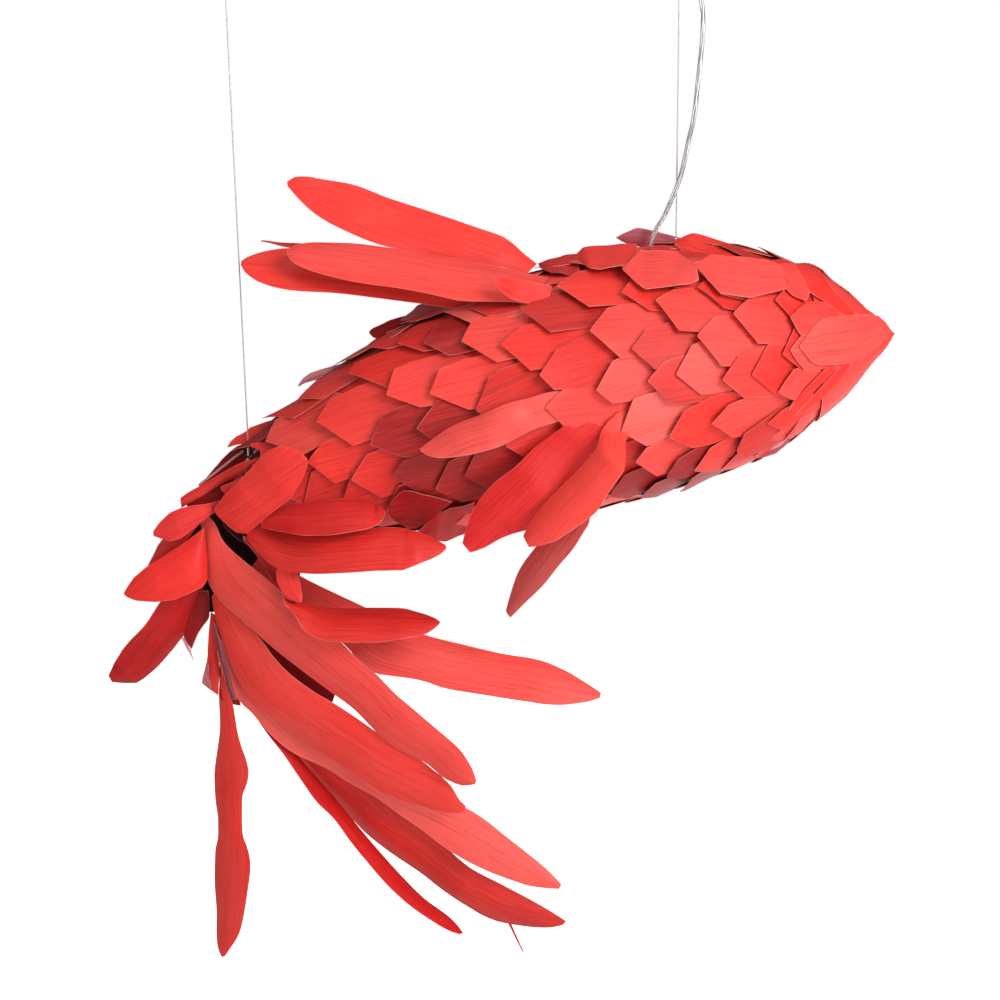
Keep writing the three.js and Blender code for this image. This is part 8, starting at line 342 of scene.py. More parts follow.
def veneer(name, deep, mid, pale, rough=0.5, grain_dark=0.22, bump=0.35, spec=0.30, sheen=0.0):
    """Dyed veneer: 'gr' holds along-grain and across-grain metres with an offset for each piece, 'tone' its shade,
    which is partly its own colour and partly painted light and shade.
    """
    m, nt, bsdf = new_material(name)
    gr = N(nt, "ShaderNodeAttribute", attribute_name="gr").outputs["Vector"]
    tone = N(nt, "ShaderNodeAttribute", attribute_name="tone").outputs["Fac"]
    # wandering of the grain lines
    drift = noise(nt, scaled(nt, gr, 4.5, 9.0), 1.0, 2.0, 0.5)
    add = nt.nodes.new("ShaderNodeVectorMath"); add.operation = "ADD"
    comb = nt.nodes.new("ShaderNodeCombineXYZ")
    nt.links.new(math_node(nt, "MULTIPLY", math_node(nt, "SUBTRACT", drift, 0.5), 0.0018), comb.inputs[1])
    nt.links.new(gr, add.inputs[0]); nt.links.new(comb.outputs[0], add.inputs[1])
    g = add.outputs[0]
    fine = noise(nt, scaled(nt, g, 22.0, 1150.0), 1.0, 4.0, 0.7)
    lines = noise(nt, scaled(nt, g, 11.0, 520.0), 1.0, 2.0, 0.6)
    bands = noise(nt, scaled(nt, g, 3.0, 170.0), 1.0, 2.0, 0.5)
    blotch = noise(nt, scaled(nt, g, 12.0, 22.0), 1.0, 3.0, 0.55)
    pores = noise(nt, scaled(nt, g, 55.0, 1900.0), 1.0, 1.0, 0.5)
    # shade of the piece (partly its own colour, partly painted light and shade), then its rubbed dye, bands and lines
    t = math_node(nt, "MULTIPLY_ADD", tone, 0.5, 0.5)
    t = math_node(nt, "ADD", t, math_node(nt, "MULTIPLY", math_node(nt, "SUBTRACT", blotch, 0.5), 0.34))
    t = math_node(nt, "ADD", t, math_node(nt, "MULTIPLY", math_node(nt, "SUBTRACT", bands, 0.5), 0.16))
    t = math_node(nt, "ADD", t, math_node(nt, "MULTIPLY", math_node(nt, "SUBTRACT", lines, 0.5), 0.34), clamp=True)
    base = ramp(nt, t, [(0.0, deep), (0.45, mid), (1.0, pale)])
    dark = math_node(nt, "MULTIPLY", math_node(nt, "SUBTRACT", 0.47, lines, clamp=True), 4.2, clamp=True)
    dark = math_node(nt, "MULTIPLY", dark, math_node(nt, "MULTIPLY_ADD", math_node(nt, "MAXIMUM", tone, 0.0), grain_dark * 1.1, grain_dark * 0.85))
    dark = math_node(nt, "ADD", dark, math_node(nt, "MULTIPLY", math_node(nt, "SUBTRACT", 0.40, pores, clamp=True), 1.7), clamp=True)
    shade = tuple(c * 0.42 for c in deep)
    col = mix_colour(nt, dark, base, shade)
    col = mix_colour(nt, math_node(nt, "MULTIPLY", math_node(nt, "SUBTRACT", fine, 0.44, clamp=True), 0.9, clamp=True), col, pale)
    # paler in a fine line along parts of the cut edge: partly the pale cut edge of the veneer, partly a painted
    # highlight where the edge catches the light
    rim = N(nt, "ShaderNodeAttribute", attribute_name="rim").outputs["Fac"]
    pale_edge_and_highlight = math_node(nt, "MULTIPLY", math_node(nt, "SUBTRACT", 1.5, rim, clamp=True), 1.0, clamp=True)
    pale_edge_and_highlight = math_node(nt, "MULTIPLY", pale_edge_and_highlight, math_node(nt, "MULTIPLY", math_node(nt, "SUBTRACT", blotch, 0.36, clamp=True), 2.6, clamp=True))
    col = mix_colour(nt, math_node(nt, "MULTIPLY", pale_edge_and_highlight, 0.36), col, (0.86, 0.30, 0.25))
    nt.links.new(col, bsdf.inputs["Base Color"])
    r = math_node(nt, "ADD", rough - 0.06, math_node(nt, "MULTIPLY", lines, 0.16))
    nt.links.new(r, bsdf.inputs["Roughness"])
    bsdf.inputs["Specular IOR Level"].default_value = spec
    h = math_node(nt, "ADD", math_node(nt, "MULTIPLY", lines, 0.6), math_node(nt, "MULTIPLY", fine, 0.4))
    b = nt.nodes.new("ShaderNodeBump")
    b.inputs["Strength"].default_value = bump
    b.inputs["Distance"].default_value = 0.00035
    nt.links.new(h, b.inputs["Height"])
    nt.links.new(b.outputs[0], bsdf.inputs["Normal"])
    return m


def veneer_set(name, deep, mid, pale, **kw):
    """Front, cut edge and back of one colour of veneer."""
    front = veneer(name, deep, mid, pale, **kw)
    edge = veneer(name + "_edge", tuple(0.75 * a + 0.12 for a in mid), (0.78, 0.26, 0.20), (0.85, 0.42, 0.34), rough=0.6, grain_dark=0.2, bump=0.2)
    back = veneer(name + "_back", (0.20, 0.020, 0.040), (0.36, 0.085, 0.120), (0.55, 0.27, 0.29), rough=0.6, grain_dark=0.35, bump=0.35, spec=0.35)
    return [front, edge, back]


# in these sets the deep end is partly painted shade, darkened so that pieces under the body look shaded, and the pale
# end partly painted sheen, a whitish veil of reflected light on pieces that face the lamp
DEEP, MID, PALE = (0.30, 0.004, 0.004), (0.80, 0.026, 0.017), (0.87, 0.110, 0.092)
SET_RED = veneer_set("veneer_red", DEEP, MID, PALE)
SET_PALE = veneer_set("veneer_pale", (0.60, 0.014, 0.014), (0.83, 0.046, 0.038), (0.88, 0.150, 0.135), grain_dark=0.34)
SET_DEEP = veneer_set("veneer_deep", (0.20, 0.003, 0.004), (0.56, 0.010, 0.010), (0.80, 0.055, 0.05), spec=0.15)
SET_BRIGHT = veneer_set("veneer_bright", (0.58, 0.010, 0.008), (0.84, 0.022, 0.014), (0.88, 0.070, 0.054))
# the back that shows on a few lifted pieces
BACK_OUT = veneer("veneer_back_out", (0.15, 0.008, 0.018), (0.33, 0.030, 0.052), (0.62, 0.27, 0.28), grain_dark=0.45)
SET_PURPLE = [SET_RED[0], SET_RED[1], BACK_OUT]
# near-black veneer for sheets put where only shade shows between the tail strips and at the tail root: painted shade
SHADOW_FILL = veneer("veneer_shadow_fill", (0.020, 0.002, 0.003), (0.035, 0.004, 0.005), (0.06, 0.008, 0.009), spec=0.1)
SET_SHADOW_FILL = [SHADOW_FILL, SET_RED[1], SET_RED[2]]


def metal(name, colour, rough, streak=(30.0, 900.0), bump=0.08, along="Z"):
    m, nt, bsdf = new_material(name)
    co = N(nt, "ShaderNodeTexCoord").outputs["Object"]
    sc = (streak[1], streak[1], streak[0]) if along == "Z" else (streak[0], streak[1], streak[1])
    f = noise(nt, scaled(nt, co, *sc), 1.0, 3.0, 0.6)
    c = ramp(nt, f, [(0.2, tuple(x * 0.72 for x in colour)), (0.8, tuple(min(1.0, x * 1.15) for x in colour))])
    nt.links.new(c, bsdf.inputs["Base Color"])
    bsdf.inputs["Metallic"].default_value = 1.0
    nt.links.new(math_node(nt, "MULTIPLY_ADD", f, 0.18, rough - 0.09), bsdf.inputs["Roughness"])
    b = nt.nodes.new("ShaderNodeBump")
    b.inputs["Strength"].default_value = bump
    b.inputs["Distance"].default_value = 0.0002
    nt.links.new(f, b.inputs["Height"]); nt.links.new(b.outputs[0], bsdf.inputs["Normal"])
    return m


def plastic(name, colour, rough, grain=700.0, bump=0.06, spec=0.5):
    m, nt, bsdf = new_material(name)
    co = N(nt, "ShaderNodeTexCoord").outputs["Object"]
    f = noise(nt, scaled(nt, co, grain, grain, grain), 1.0, 2.0, 0.5)
    w = noise(nt, scaled(nt, co, 22.0, 22.0, 22.0), 1.0, 3.0, 0.5)
    c = ramp(nt, w, [(0.3, tuple(x * 0.93 for x in colour)), (0.75, tuple(min(1.0, x * 1.03) for x in colour))])
    nt.links.new(c, bsdf.inputs["Base Color"])
    nt.links.new(math_node(nt, "MULTIPLY_ADD", w, 0.14, rough - 0.07), bsdf.inputs["Roughness"])
    bsdf.inputs["Specular IOR Level"].default_value = spec
    b = nt.nodes.new("ShaderNodeBump")
    b.inputs["Strength"].default_value = bump
    b.inputs["Distance"].default_value = 0.0002
    nt.links.new(f, b.inputs["Height"]); nt.links.new(b.outputs[0], bsdf.inputs["Normal"])
    return m


STEEL = metal("steel_wire", (0.62, 0.53, 0.54), 0.38, streak=(160.0, 1500.0))
ROD = metal("steel_rod", (0.50, 0.50, 0.51), 0.32)
FERRULE = metal("ferrule_bright", (0.72, 0.72, 0.73), 0.2, streak=(900.0, 200.0))
CAP = metal("cap_metal", (0.78, 0.77, 0.73), 0.25, streak=(900.0, 60.0))
WHITE = plastic("ceiling_white", (0.86, 0.86, 0.85), 0.38)
BLACK = plastic("holder_black", (0.018, 0.018, 0.019), 0.42, bump=0.1)
CORE_A = metal("core_tinned", (0.86, 0.84, 0.84), 0.34, streak=(1400.0, 1400.0), bump=0.35)
CORE_B = metal("core_copper_tinned", (0.80, 0.72, 0.71), 0.34, streak=(1400.0, 1400.0), bump=0.35)


def clear_plastic():
    m, nt, bsdf = new_material("flex_clear")
    co = N(nt, "ShaderNodeTexCoord").outputs["Object"]
    w = noise(nt, scaled(nt, co, 40.0, 40.0, 15.0), 1.0, 3.0, 0.5)
    c = ramp(nt, w, [(0.3, (0.95, 0.94, 0.94)), (0.7, (0.98, 0.98, 0.98))])
    nt.links.new(c, bsdf.inputs["Base Color"])
    nt.links.new(math_node(nt, "MULTIPLY_ADD", w, 0.08, 0.08), bsdf.inputs["Roughness"])
    bsdf.inputs["IOR"].default_value = 1.36
    bsdf.inputs["Transmission Weight"].default_value = 0.92
    return m


def bulb_glass():
    m, nt, bsdf = new_material("bulb_glass")
    co = N(nt, "ShaderNodeTexCoord").outputs["Object"]
    w = noise(nt, scaled(nt, co, 60.0, 60.0, 60.0), 1.0, 3.0, 0.5)
    c = ramp(nt, w, [(0.3, (0.88, 0.86, 0.81)), (0.7, (0.95, 0.93, 0.89))])
    nt.links.new(c, bsdf.inputs["Base Color"])
    nt.links.new(math_node(nt, "MULTIPLY_ADD", w, 0.1, 0.25), bsdf.inputs["Roughness"])
    bsdf.inputs["Transmission Weight"].default_value = 0.35
    return m


CLEAR, BULB = clear_plastic(), bulb_glass()

# ---- mesh helpers --------------------------------------------------------------------


class Soup:
    """Collects vertices, faces, materials and the grain attributes of one object."""

    def __init__(self):
        self.v, self.f, self.m, self.gr, self.tone, self.rim = [], [], [], [], [], []

    def add(self, verts, faces, mats, gr, tone, rim=None):
        o = len(self.v)
        self.rim += list(rim) if rim is not None else [9.0] * len(verts)
        self.v += [tuple(p) for p in verts]
        self.f += [tuple(i + o for i in q) for q in faces]
        self.m += mats
        self.gr += gr
        self.tone += tone

    def make(self, name, materials, body_name, slot, *nodes, smooth_angle=32.0):
        me = bpy.data.meshes.new(name)
        me.from_pydata([(x * MM, y * MM, z * MM) for x, y, z in self.v], [], self.f)
        for m in materials:
            me.materials.append(m)
        me.polygons.foreach_set("material_index", self.m)
        if self.gr:
            a = me.attributes.new("gr", "FLOAT_VECTOR", "POINT")
            a.data.foreach_set("vector", np.array(self.gr, np.float32).ravel())
            t = me.attributes.new("tone", "FLOAT", "POINT")
            t.data.foreach_set("value", np.array(self.tone, np.float32))
            e = me.attributes.new("rim", "FLOAT", "POINT")
            e.data.foreach_set("value", np.array(self.rim, np.float32))
        me.validate(clean_customdata=False)
        me.update()
        ob = bpy.data.objects.new(name, me)
        scene.collection.objects.link(ob)
        me.shade_smooth()
        me.set_sharp_from_angle(angle=math.radians(smooth_angle))
        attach(ob, body_name)
        if nodes:
            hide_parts(*nodes)
        return ob


def sheet_piece(soup, P, thick, seed, tone, outward, grain_len=None, mats=(0, 1, 2), along=None, across=None):
    """A bent piece of veneer from a grid of points P[i][j] (along, across). outward gives the side of its face."""
    P = np.array(P, float)
    n, m = P.shape[:2]
    du = np.gradient(P, axis=0)
    dv = np.gradient(P, axis=1)
    nr = np.cross(du, dv)
    ln = np.linalg.norm(nr, axis=2, keepdims=True)
    ln[ln < 1e-9] = 1.0
    nr = nr / ln
    # rows that shrink to a point borrow the normal of their neighbour
    for i in (0, n - 1):
        k = 1 if i == 0 else n - 2
        bad = np.linalg.norm(dv[i], axis=1) < 0.12
        nr[i][bad] = nr[k][bad]
    ref = np.array(outward, float)
    mid = nr[n // 2, m // 2]
    if mid @ ref < 0:
        nr = -nr
        flip = True
    else:
        flip = False
    top = P + nr * thick * 0.5
    bot = P - nr * thick * 0.5
    rnd = random.Random(seed)
    ox, oy = rnd.uniform(0, 40), rnd.uniform(0, 40)
    if along is None:
        cen = P[:, m // 2]
        d = np.concatenate([[0], np.cumsum(np.linalg.norm(np.diff(cen, axis=0), axis=1))])
        along = np.repeat(d[:, None], m, axis=1)
    if across is None:
        across = np.zeros((n, m))
        for i in range(n):
            e = np.concatenate([[0], np.cumsum(np.linalg.norm(np.diff(P[i], axis=0), axis=1))])
            across[i] = e - e[-1] / 2
    gr = [(float(along[i, j]) * MM + ox, float(across[i, j]) * MM + oy, seed * 0.37 % 11.0) for i in range(n) for j in range(m)]
    V, F, M = [], [], []
    idt = lambda i, j: i * m + j
    idb = lambda i, j: n * m + i * m + j
    V += [top[i, j] for i in range(n) for j in range(m)]
    V += [bot[i, j] for i in range(n) for j in range(m)]
    for i in range(n - 1):
        for j in range(m - 1):
            a = (idt(i, j), idt(i + 1, j), idt(i + 1, j + 1), idt(i, j + 1))
            b = (idb(i, j), idb(i, j + 1), idb(i + 1, j + 1), idb(i + 1, j))
            F += [a[::-1], b[::-1]] if flip else [a, b]
            M += [mats[0], mats[2]]
    # rim, with its own vertices so that the cut edge stays crisp
    ring = [(i, 0) for i in range(n)] + [(n - 1, j) for j in range(1, m)] + [(i, m - 1) for i in range(n - 2, -1, -1)] + [(0, j) for j in range(m - 2, 0, -1)]
    base = len(V)
    L = len(ring)
    V += [top[i, j] for i, j in ring] + [bot[i, j] for i, j in ring]
    for k in range(L):
        k2 = (k + 1) % L
        q = (base + k, base + L + k, base + L + k2, base + k2)
        F.append(q if flip else q[::-1])
        M.append(mats[1])
    G = gr + gr + [gr[i * m + j] for i, j in ring] * 2
    T = [tone] * len(V)
    # distance in from the nearest cut edge, in millimetres
    acr = np.zeros((n, m))
    for i in range(n):
        e = np.concatenate([[0], np.cumsum(np.linalg.norm(np.diff(P[i], axis=0), axis=1))])
        acr[i] = np.minimum(e, e[-1] - e)
    cen = P[:, m // 2]
    dl = np.concatenate([[0], np.cumsum(np.linalg.norm(np.diff(cen, axis=0), axis=1))])
    rim = np.minimum(acr, np.minimum(dl, dl[-1] - dl)[:, None]).ravel().tolist()
    soup.add(V, F, M, G, T, rim + rim + [0.0] * (2 * L))


def catmull(rows, n):
    """Resamples a list of points along a Catmull-Rom curve to n points."""
    R = np.array(rows, float)
    k = len(R)
    q = np.linspace(0, k - 1, n)
    out = []
    for t in q:
        i = min(int(t), k - 2)
        f = t - i
        p0 = R[i - 1] if i > 0 else 2 * R[0] - R[1]
        p1, p2 = R[i], R[i + 1]
        p3 = R[i + 2] if i + 2 < k else 2 * R[-1] - R[-2]
        out.append(0.5 * (2 * p1 + (p2 - p0) * f + (2 * p0 - 5 * p1 + 4 * p2 - p3) * f * f + (3 * p1 - p0 - 3 * p2 + p3) * f ** 3))
    return np.array(out)


def tube(points, radius_mm, sides=12, caps=True):
    """Vertices and faces of a tube along points (mm) with a steady frame."""
    P = np.array(points, float)
    n = len(P)
    T = np.gradient(P, axis=0)
    T /= np.linalg.norm(T, axis=1)[:, None]
    up = np.array([0.0, 1.0, 0.0]) if abs(T[0][1]) < 0.9 else np.array([1.0, 0.0, 0.0])
    u = np.cross(T[0], up); u /= np.linalg.norm(u)
    V, F = [], []
    frames = []
    for i in range(n):
        u = u - (u @ T[i]) * T[i]
        u /= np.linalg.norm(u)
        w = np.cross(T[i], u)
        frames.append((u.copy(), w))
        r = radius_mm[i] if hasattr(radius_mm, "__len__") else radius_mm
        for k in range(sides):
            a = 2 * math.pi * k / sides
            V.append(P[i] + r * (math.cos(a) * u + math.sin(a) * w))
    for i in range(n - 1):
        for k in range(sides):
            k2 = (k + 1) % sides
            F.append((i * sides + k, i * sides + k2, (i + 1) * sides + k2, (i + 1) * sides + k))
    if caps:
        F.append(tuple(range(sides))[::-1])
        F.append(tuple((n - 1) * sides + k for k in range(sides)))
    return V, F, frames


def plain(name, V, F, material, body_name, slot, *nodes, smooth=40.0):
    s = Soup()
    s.add(V, F, [0] * len(F), [], [])
    return s.make(name, [material], body_name, slot, *nodes, smooth_angle=smooth)


def lathe(profile, seg, x=0.0, y=0.0):
    """Closed surface of revolution about a vertical axis; profile is (radius, z) from axis to axis or a closed loop."""
    V, F, rings = [], [], []
    for r, z in profile:
        if r < 1e-6:
            rings.append([len(V)])
            V.append((x, y, z))
        else:
            rings.append(list(range(len(V), len(V) + seg)))
            V += [(x + r * math.cos(2 * math.pi * k / seg), y + r * math.sin(2 * math.pi * k / seg), z) for k in range(seg)]
    pairs = list(zip(rings, rings[1:]))
    if len(rings[0]) > 1 and profile[0] != profile[-1]:
        pairs.append((rings[-1], rings[0]))
    for a, b in pairs:
        for k in range(seg):
            k2 = (k + 1) % seg
            if len(a) == 1 and len(b) == 1:
                continue
            if len(a) == 1:
                F.append((a[0], b[k2], b[k]))
            elif len(b) == 1:
                F.append((a[k], a[k2], b[0]))
            else:
                F.append((a[k], a[k2], b[k2], b[k]))
    return V, F


def torus_points(radius_mm, n=40):
    return [(radius_mm * math.cos(2 * math.pi * k / n), radius_mm * math.sin(2 * math.pi * k / n)) for k in range(n)]


def torus(R, r, centre, plane, seg=40, sides=12):
    """plane 'yz' or 'xz'."""
    V, F = [], []
    for i in range(seg):
        a = 2 * math.pi * i / seg
        for k in range(sides):
            b = 2 * math.pi * k / sides
            q = R + r * math.cos(b)
            p, o, h = q * math.cos(a), q * math.sin(a), r * math.sin(b)
            V.append((centre[0] + (h if plane == "yz" else p), centre[1] + (p if plane == "yz" else h), centre[2] + o))
    for i in range(seg):
        for k in range(sides):
            i2, k2 = (i + 1) % seg, (k + 1) % sides
            F.append((i * sides + k, i2 * sides + k, i2 * sides + k2, i * sides + k2))
    return V, F


# ---- cords first -----------------------------------------------------------------------
def flex_line(n=150):
    """Centripetal Catmull-Rom through the route's points, as the CAD tube runs."""
    P = [np.array(p, float) for p in FLEX_ROUTE]
    P = [2 * P[0] - P[1]] + P + [2 * P[-1] - P[-2]]
    out = []
    segs = len(P) - 3
    per = max(4, n // segs)
    for i in range(segs):
        p0, p1, p2, p3 = P[i:i + 4]
        t0 = 0.0
        t1 = t0 + np.linalg.norm(p1 - p0) ** 0.5
        t2 = t1 + np.linalg.norm(p2 - p1) ** 0.5
        t3 = t2 + np.linalg.norm(p3 - p2) ** 0.5
        for t in np.linspace(t1, t2, per, endpoint=False):
            a1 = (t1 - t) / (t1 - t0) * p0 + (t - t0) / (t1 - t0) * p1
            a2 = (t2 - t) / (t2 - t1) * p1 + (t - t1) / (t2 - t1) * p2
            a3 = (t3 - t) / (t3 - t2) * p2 + (t - t2) / (t3 - t2) * p3
            b1 = (t2 - t) / (t2 - t0) * a1 + (t - t0) / (t2 - t0) * a2
            b2 = (t3 - t) / (t3 - t1) * a2 + (t - t1) / (t3 - t1) * a3
            out.append((t2 - t) / (t2 - t1) * b1 + (t - t1) / (t2 - t1) * b2)
    out.append(P[-2])
    return np.array(out)


line = flex_line()
V, F, fr_ = tube(line, 2.75, 16)
flex = plain("power_flex_sheath", V, F, CLEAR, "head_wire_set", "flex_clear", "power_flex")
d_along = np.concatenate([[0], np.cumsum(np.linalg.norm(np.diff(line, axis=0), axis=1))])
for which, (mat, ph) in enumerate(((CORE_A, 0.0), (CORE_B, math.pi))):
    pts = []
    for i in range(len(line)):
        a = ph + d_along[i] / 46.0 * 2 * math.pi * 0.5
        u, w = fr_[i]
        pts.append(line[i] + 1.12 * (math.cos(a) * u + math.sin(a) * w))
    V, F, _ = tube(pts, 0.98, 10)
    plain("flex_core_%d" % (which + 1), V, F, mat, "head_wire_set", "flex_clear")


def wire_set(prefix, top, bottom, body_name):
    """Steel wire with a crimped eye at each end; the eyes stand across the fish."""
    dx, dz = bottom[0] - top[0], bottom[1] - top[1]
    L = math.hypot(dx, dz)
    ax = np.array([dx / L, 0, dz / L])
    o = np.array([top[0], 0, top[1]])
    turn = np.array([0.0, 1.0, 0.0])
    loops = []
    c0, c1 = o + ax * LOOP_R, o + ax * (L - LOOP_R)
    s = Soup()
    # straight run
    straight = [c0 + ax * (LOOP_R - 0.4) + (c1 - c0 - ax * (2 * LOOP_R - 0.8)) * t for t in np.linspace(0, 1, 60)]
    V, F, _ = tube(straight, WIRE_R, 12)
    s.add(V, F, [0] * len(F), [], [])
    wire = s.make(prefix + "_wire_cable", [STEEL], body_name, "steel", prefix + "_wire", smooth_angle=50)
    for c, d, which in ((c0, 1.0, "upper"), (c1, -1.0, "lower")):
        R = np.array([c - ax * d * (LOOP_R * math.cos(2 * math.pi * k / 48)) + turn * LOOP_R * math.sin(2 * math.pi * k / 48) for k in range(48)])
        nrm = np.cross(ax, turn)
        Vt, Ft = [], []
        for i in range(48):
            rad = (R[i] - c) / LOOP_R
            for k in range(10):
                b = 2 * math.pi * k / 10
                Vt.append(R[i] + WIRE_R * (math.cos(b) * rad + math.sin(b) * nrm))
        for i in range(48):
            for k in range(10):
                i2, k2 = (i + 1) % 48, (k + 1) % 10
                Ft.append((i * 10 + k, i2 * 10 + k, i2 * 10 + k2, i * 10 + k2))
        plain("%s_%s_wire_eye" % (prefix, which), Vt, Ft, STEEL, body_name, "steel", smooth=60)
    for nm, z0 in (("upper", 2 * LOOP_R + WIRE_R + SLACK), ("lower", L - (2 * LOOP_R + WIRE_R + SLACK) - 9.0)):
        prof, n = [], 28
        for i in range(n + 1):
            t = i / n
            dent = 0.34 * (math.exp(-((t - 0.3) / 0.07) ** 2) + math.exp(-((t - 0.7) / 0.07) ** 2))
            edge = 0.35 * max(0.0, 1 - min(t, 1 - t) / 0.06) ** 2
            prof.append((2.3 - dent - edge, z0 + 9.0 * t))
        V, F = [], []
        seg = 24
        e1, e2 = np.cross(ax, turn), turn
        for r, z in prof:
            for k in range(seg):
                a = 2 * math.pi * k / seg
                V.append(o + ax * z + r * (math.cos(a) * e1 + 0.92 * math.sin(a) * e2))
        m = len(prof)
        for i in range(m - 1):
            for k in range(seg):
                k2 = (k + 1) % seg
                F.append((i * seg + k, i * seg + k2, (i + 1) * seg + k2, (i + 1) * seg + k))
        b0 = len(V)
        for zi, z in ((0, prof[0][1]), (1, prof[-1][1])):
            for k in range(seg):
                a = 2 * math.pi * k / seg
                V.append(o + ax * (z + (0.15 if zi == 0 else -0.15)) + (WIRE_R + 0.05) * (math.cos(a) * e1 + math.sin(a) * e2))
        for k in range(seg):
            k2 = (k + 1) % seg
            F.append((k2, k, b0 + k, b0 + k2))
            F.append(((m - 1) * seg + k, (m - 1) * seg + k2, b0 + seg + k2, b0 + seg + k))
            F.append((b0 + k2, b0 + k, b0 + seg + k, b0 + seg + k2))
        plain("%s_%s_crimp" % (prefix, nm), V, F, FERRULE, body_name, "ferrule_bright", "%s_wire_%s_ferrule" % (prefix, nm))
    return wire


wire_set("head", (0.0, SWAY_Z), HEAD, "head_wire_set")
wire_set("tail", (TAIL_HOOK_X, SWAY_Z), TAIL, "tail_wire_set")

# ---- body scales -------------------------------------------------------------------------
BAND_EDGES = [182, 266, 350, 434, 518, 602, 687, 771, 875]
SLOPE = 0.155


def in_outline(x, z, poly):
    inside = False
    for i in range(len(poly)):
        (x0, z0), (x1, z1) = poly[i - 1], poly[i]
        if (z0 > z) != (z1 > z) and x < (x1 - x0) * (z - z0) / (z1 - z0) + x0:
            inside = not inside
    return inside


def covers_window(s_tip, phi):
    """True when a scale would close one of the openings at the tail end."""
    for d in (2.0, 14.0, 26.0, 38.0, 52.0, 66.0):
        r = max(24.0, radius(max(s_tip - d, 4.0)))
        for a in (-24.0, -12.0, 0.0, 12.0, 24.0):
            if d < 12 and abs(a) > 12:
                continue
            p = surf(s_tip - d, phi + a / max(r, 28.0), 2.0)
            if p[1] > 6.0:
                continue
            q = CAM + (np.array(p) - CAM) * (-CAM[1] / (p[1] - CAM[1]))
            if any(in_outline(q[0], q[2], w) for w in WINDOWS):
                return True
    return False


CAM = np.array([-211.18, -2189.33, -407.35])


def scale_piece(soup, s_tip, phi, up, low, tone, lift, seed, h_tip=4.2, length=112.0, width=58.0, blunt=0.0, na=15, nc=9, slope=None, flat=0.34):
    """One long-hexagon scale. up and low are (distance from the tip, offset across) of its two shoulders."""
    rnd = random.Random(seed)
    (du, au), (dl, al) = up, low
    r0 = max(30.0, radius(s_tip))
    skew = max(-0.30, min(0.30, 0.5 * (au + al) / max(12.0, 0.5 * (du + dl))))
    skew *= 0.55
    twist = rnd.uniform(-1.0, 1.0)
    curl = lift * rnd.uniform(0.7, 1.2)
    dmid = 0.5 * (du + dl)
    # stations: crowded near the tip and through both shoulders
    st = sorted(set([0.0, 4.0, 10.0, du, dl, dmid + 9, dmid + 20] + [dmid + 20 + (length - dmid - 20) * k / 7.0 for k in range(1, 8)]))
    st = [x for i, x in enumerate(st) if i == 0 or x - st[i - 1] > 0.8]
    half = width / 2.0
    base_len = 26.0

    def side(d, ds, a):
        sg = 1.0 if a > 0 else -1.0
        aa = abs(a)
        tipw = 0.6 + blunt
        if d <= ds:
            w = tipw + (aa - tipw) * (d / max(ds, 1.0))
        else:
            full = max(aa, min(half + 3.0, aa + (d - ds) * 0.22))
            w = full
        if d > length - base_len:
            w = min(w, tipw + (w - tipw) * (length - d) / base_len)
        return sg * max(w, 0.5)

    P, al_, ac_ = [], [], []
    for d in st:
        s = s_tip - d
        r = max(24.0, radius(max(s, 4.0)))
        shift = skew * d - skew * 6.0 if d > 6 else 0.0
        a0, a1 = side(d, du, au), side(d, dl, al)
        row, ra, rc = [], [], []
        for j in range(nc):
            t = j / (nc - 1)
            a = a0 + (a1 - a0) * t
            sl = SLOPE if slope is None else slope
            h = h_tip - sl * min(d, 62.0) - 0.2 * sl * max(0.0, d - 62.0)
            h += (a * a) / (2 * r) * flat
            h += curl * max(0.0, 1 - d / 42.0) ** 2
            h += twist * (a / 30.0) * 0.9 * max(0.0, 1 - d / 60.0)
            row.append(surf(s, phi + (a + shift) / max(r, 28.0), h))
            ra.append(d)
            rc.append(a)
        P.append(row); al_.append(ra); ac_.append(rc)
    mid = P[len(P) // 2][nc // 2]
    f = frame_at(s_tip - st[len(st) // 2])
    out = np.array(mid) - np.array([f[0], 0.0, f[1]])
    sheet_piece(soup, P, 0.6, seed, tone, out, along=np.array(al_), across=np.array(ac_))


def band_of(s):
    for i, e in enumerate(BAND_EDGES):
        if s <= e + 4:
            return i
    return len(BAND_EDGES) - 1


bands = [Soup() for _ in BAND_EDGES]
placed = []
rng = random.Random(7)
for k, (name, s, phi, du, au, dl, al, tone, lift) in enumerate(SCALES):
    # a shoulder that is hidden was measured short: give the piece at least its usual width
    au, al = min(au, -14.0), max(al, 14.0)
    wide = al - au
    if wide > 66.0:
        f = 66.0 / wide
        au, al = au * f, al * f
    if wide < 44.0:
        g = 0.5 * (44.0 - wide)
        au, al = au - g, al + g
    du, dl = max(10.0, min(du, 40.0)), max(10.0, min(dl, 40.0))
    length = min(112.0, s - 60.0)
    scale_piece(bands[band_of(s)], s, phi, (du, au), (dl, al), tone, lift, 100 + k, h_tip=4.3, length=length)
    placed.append((s, phi))

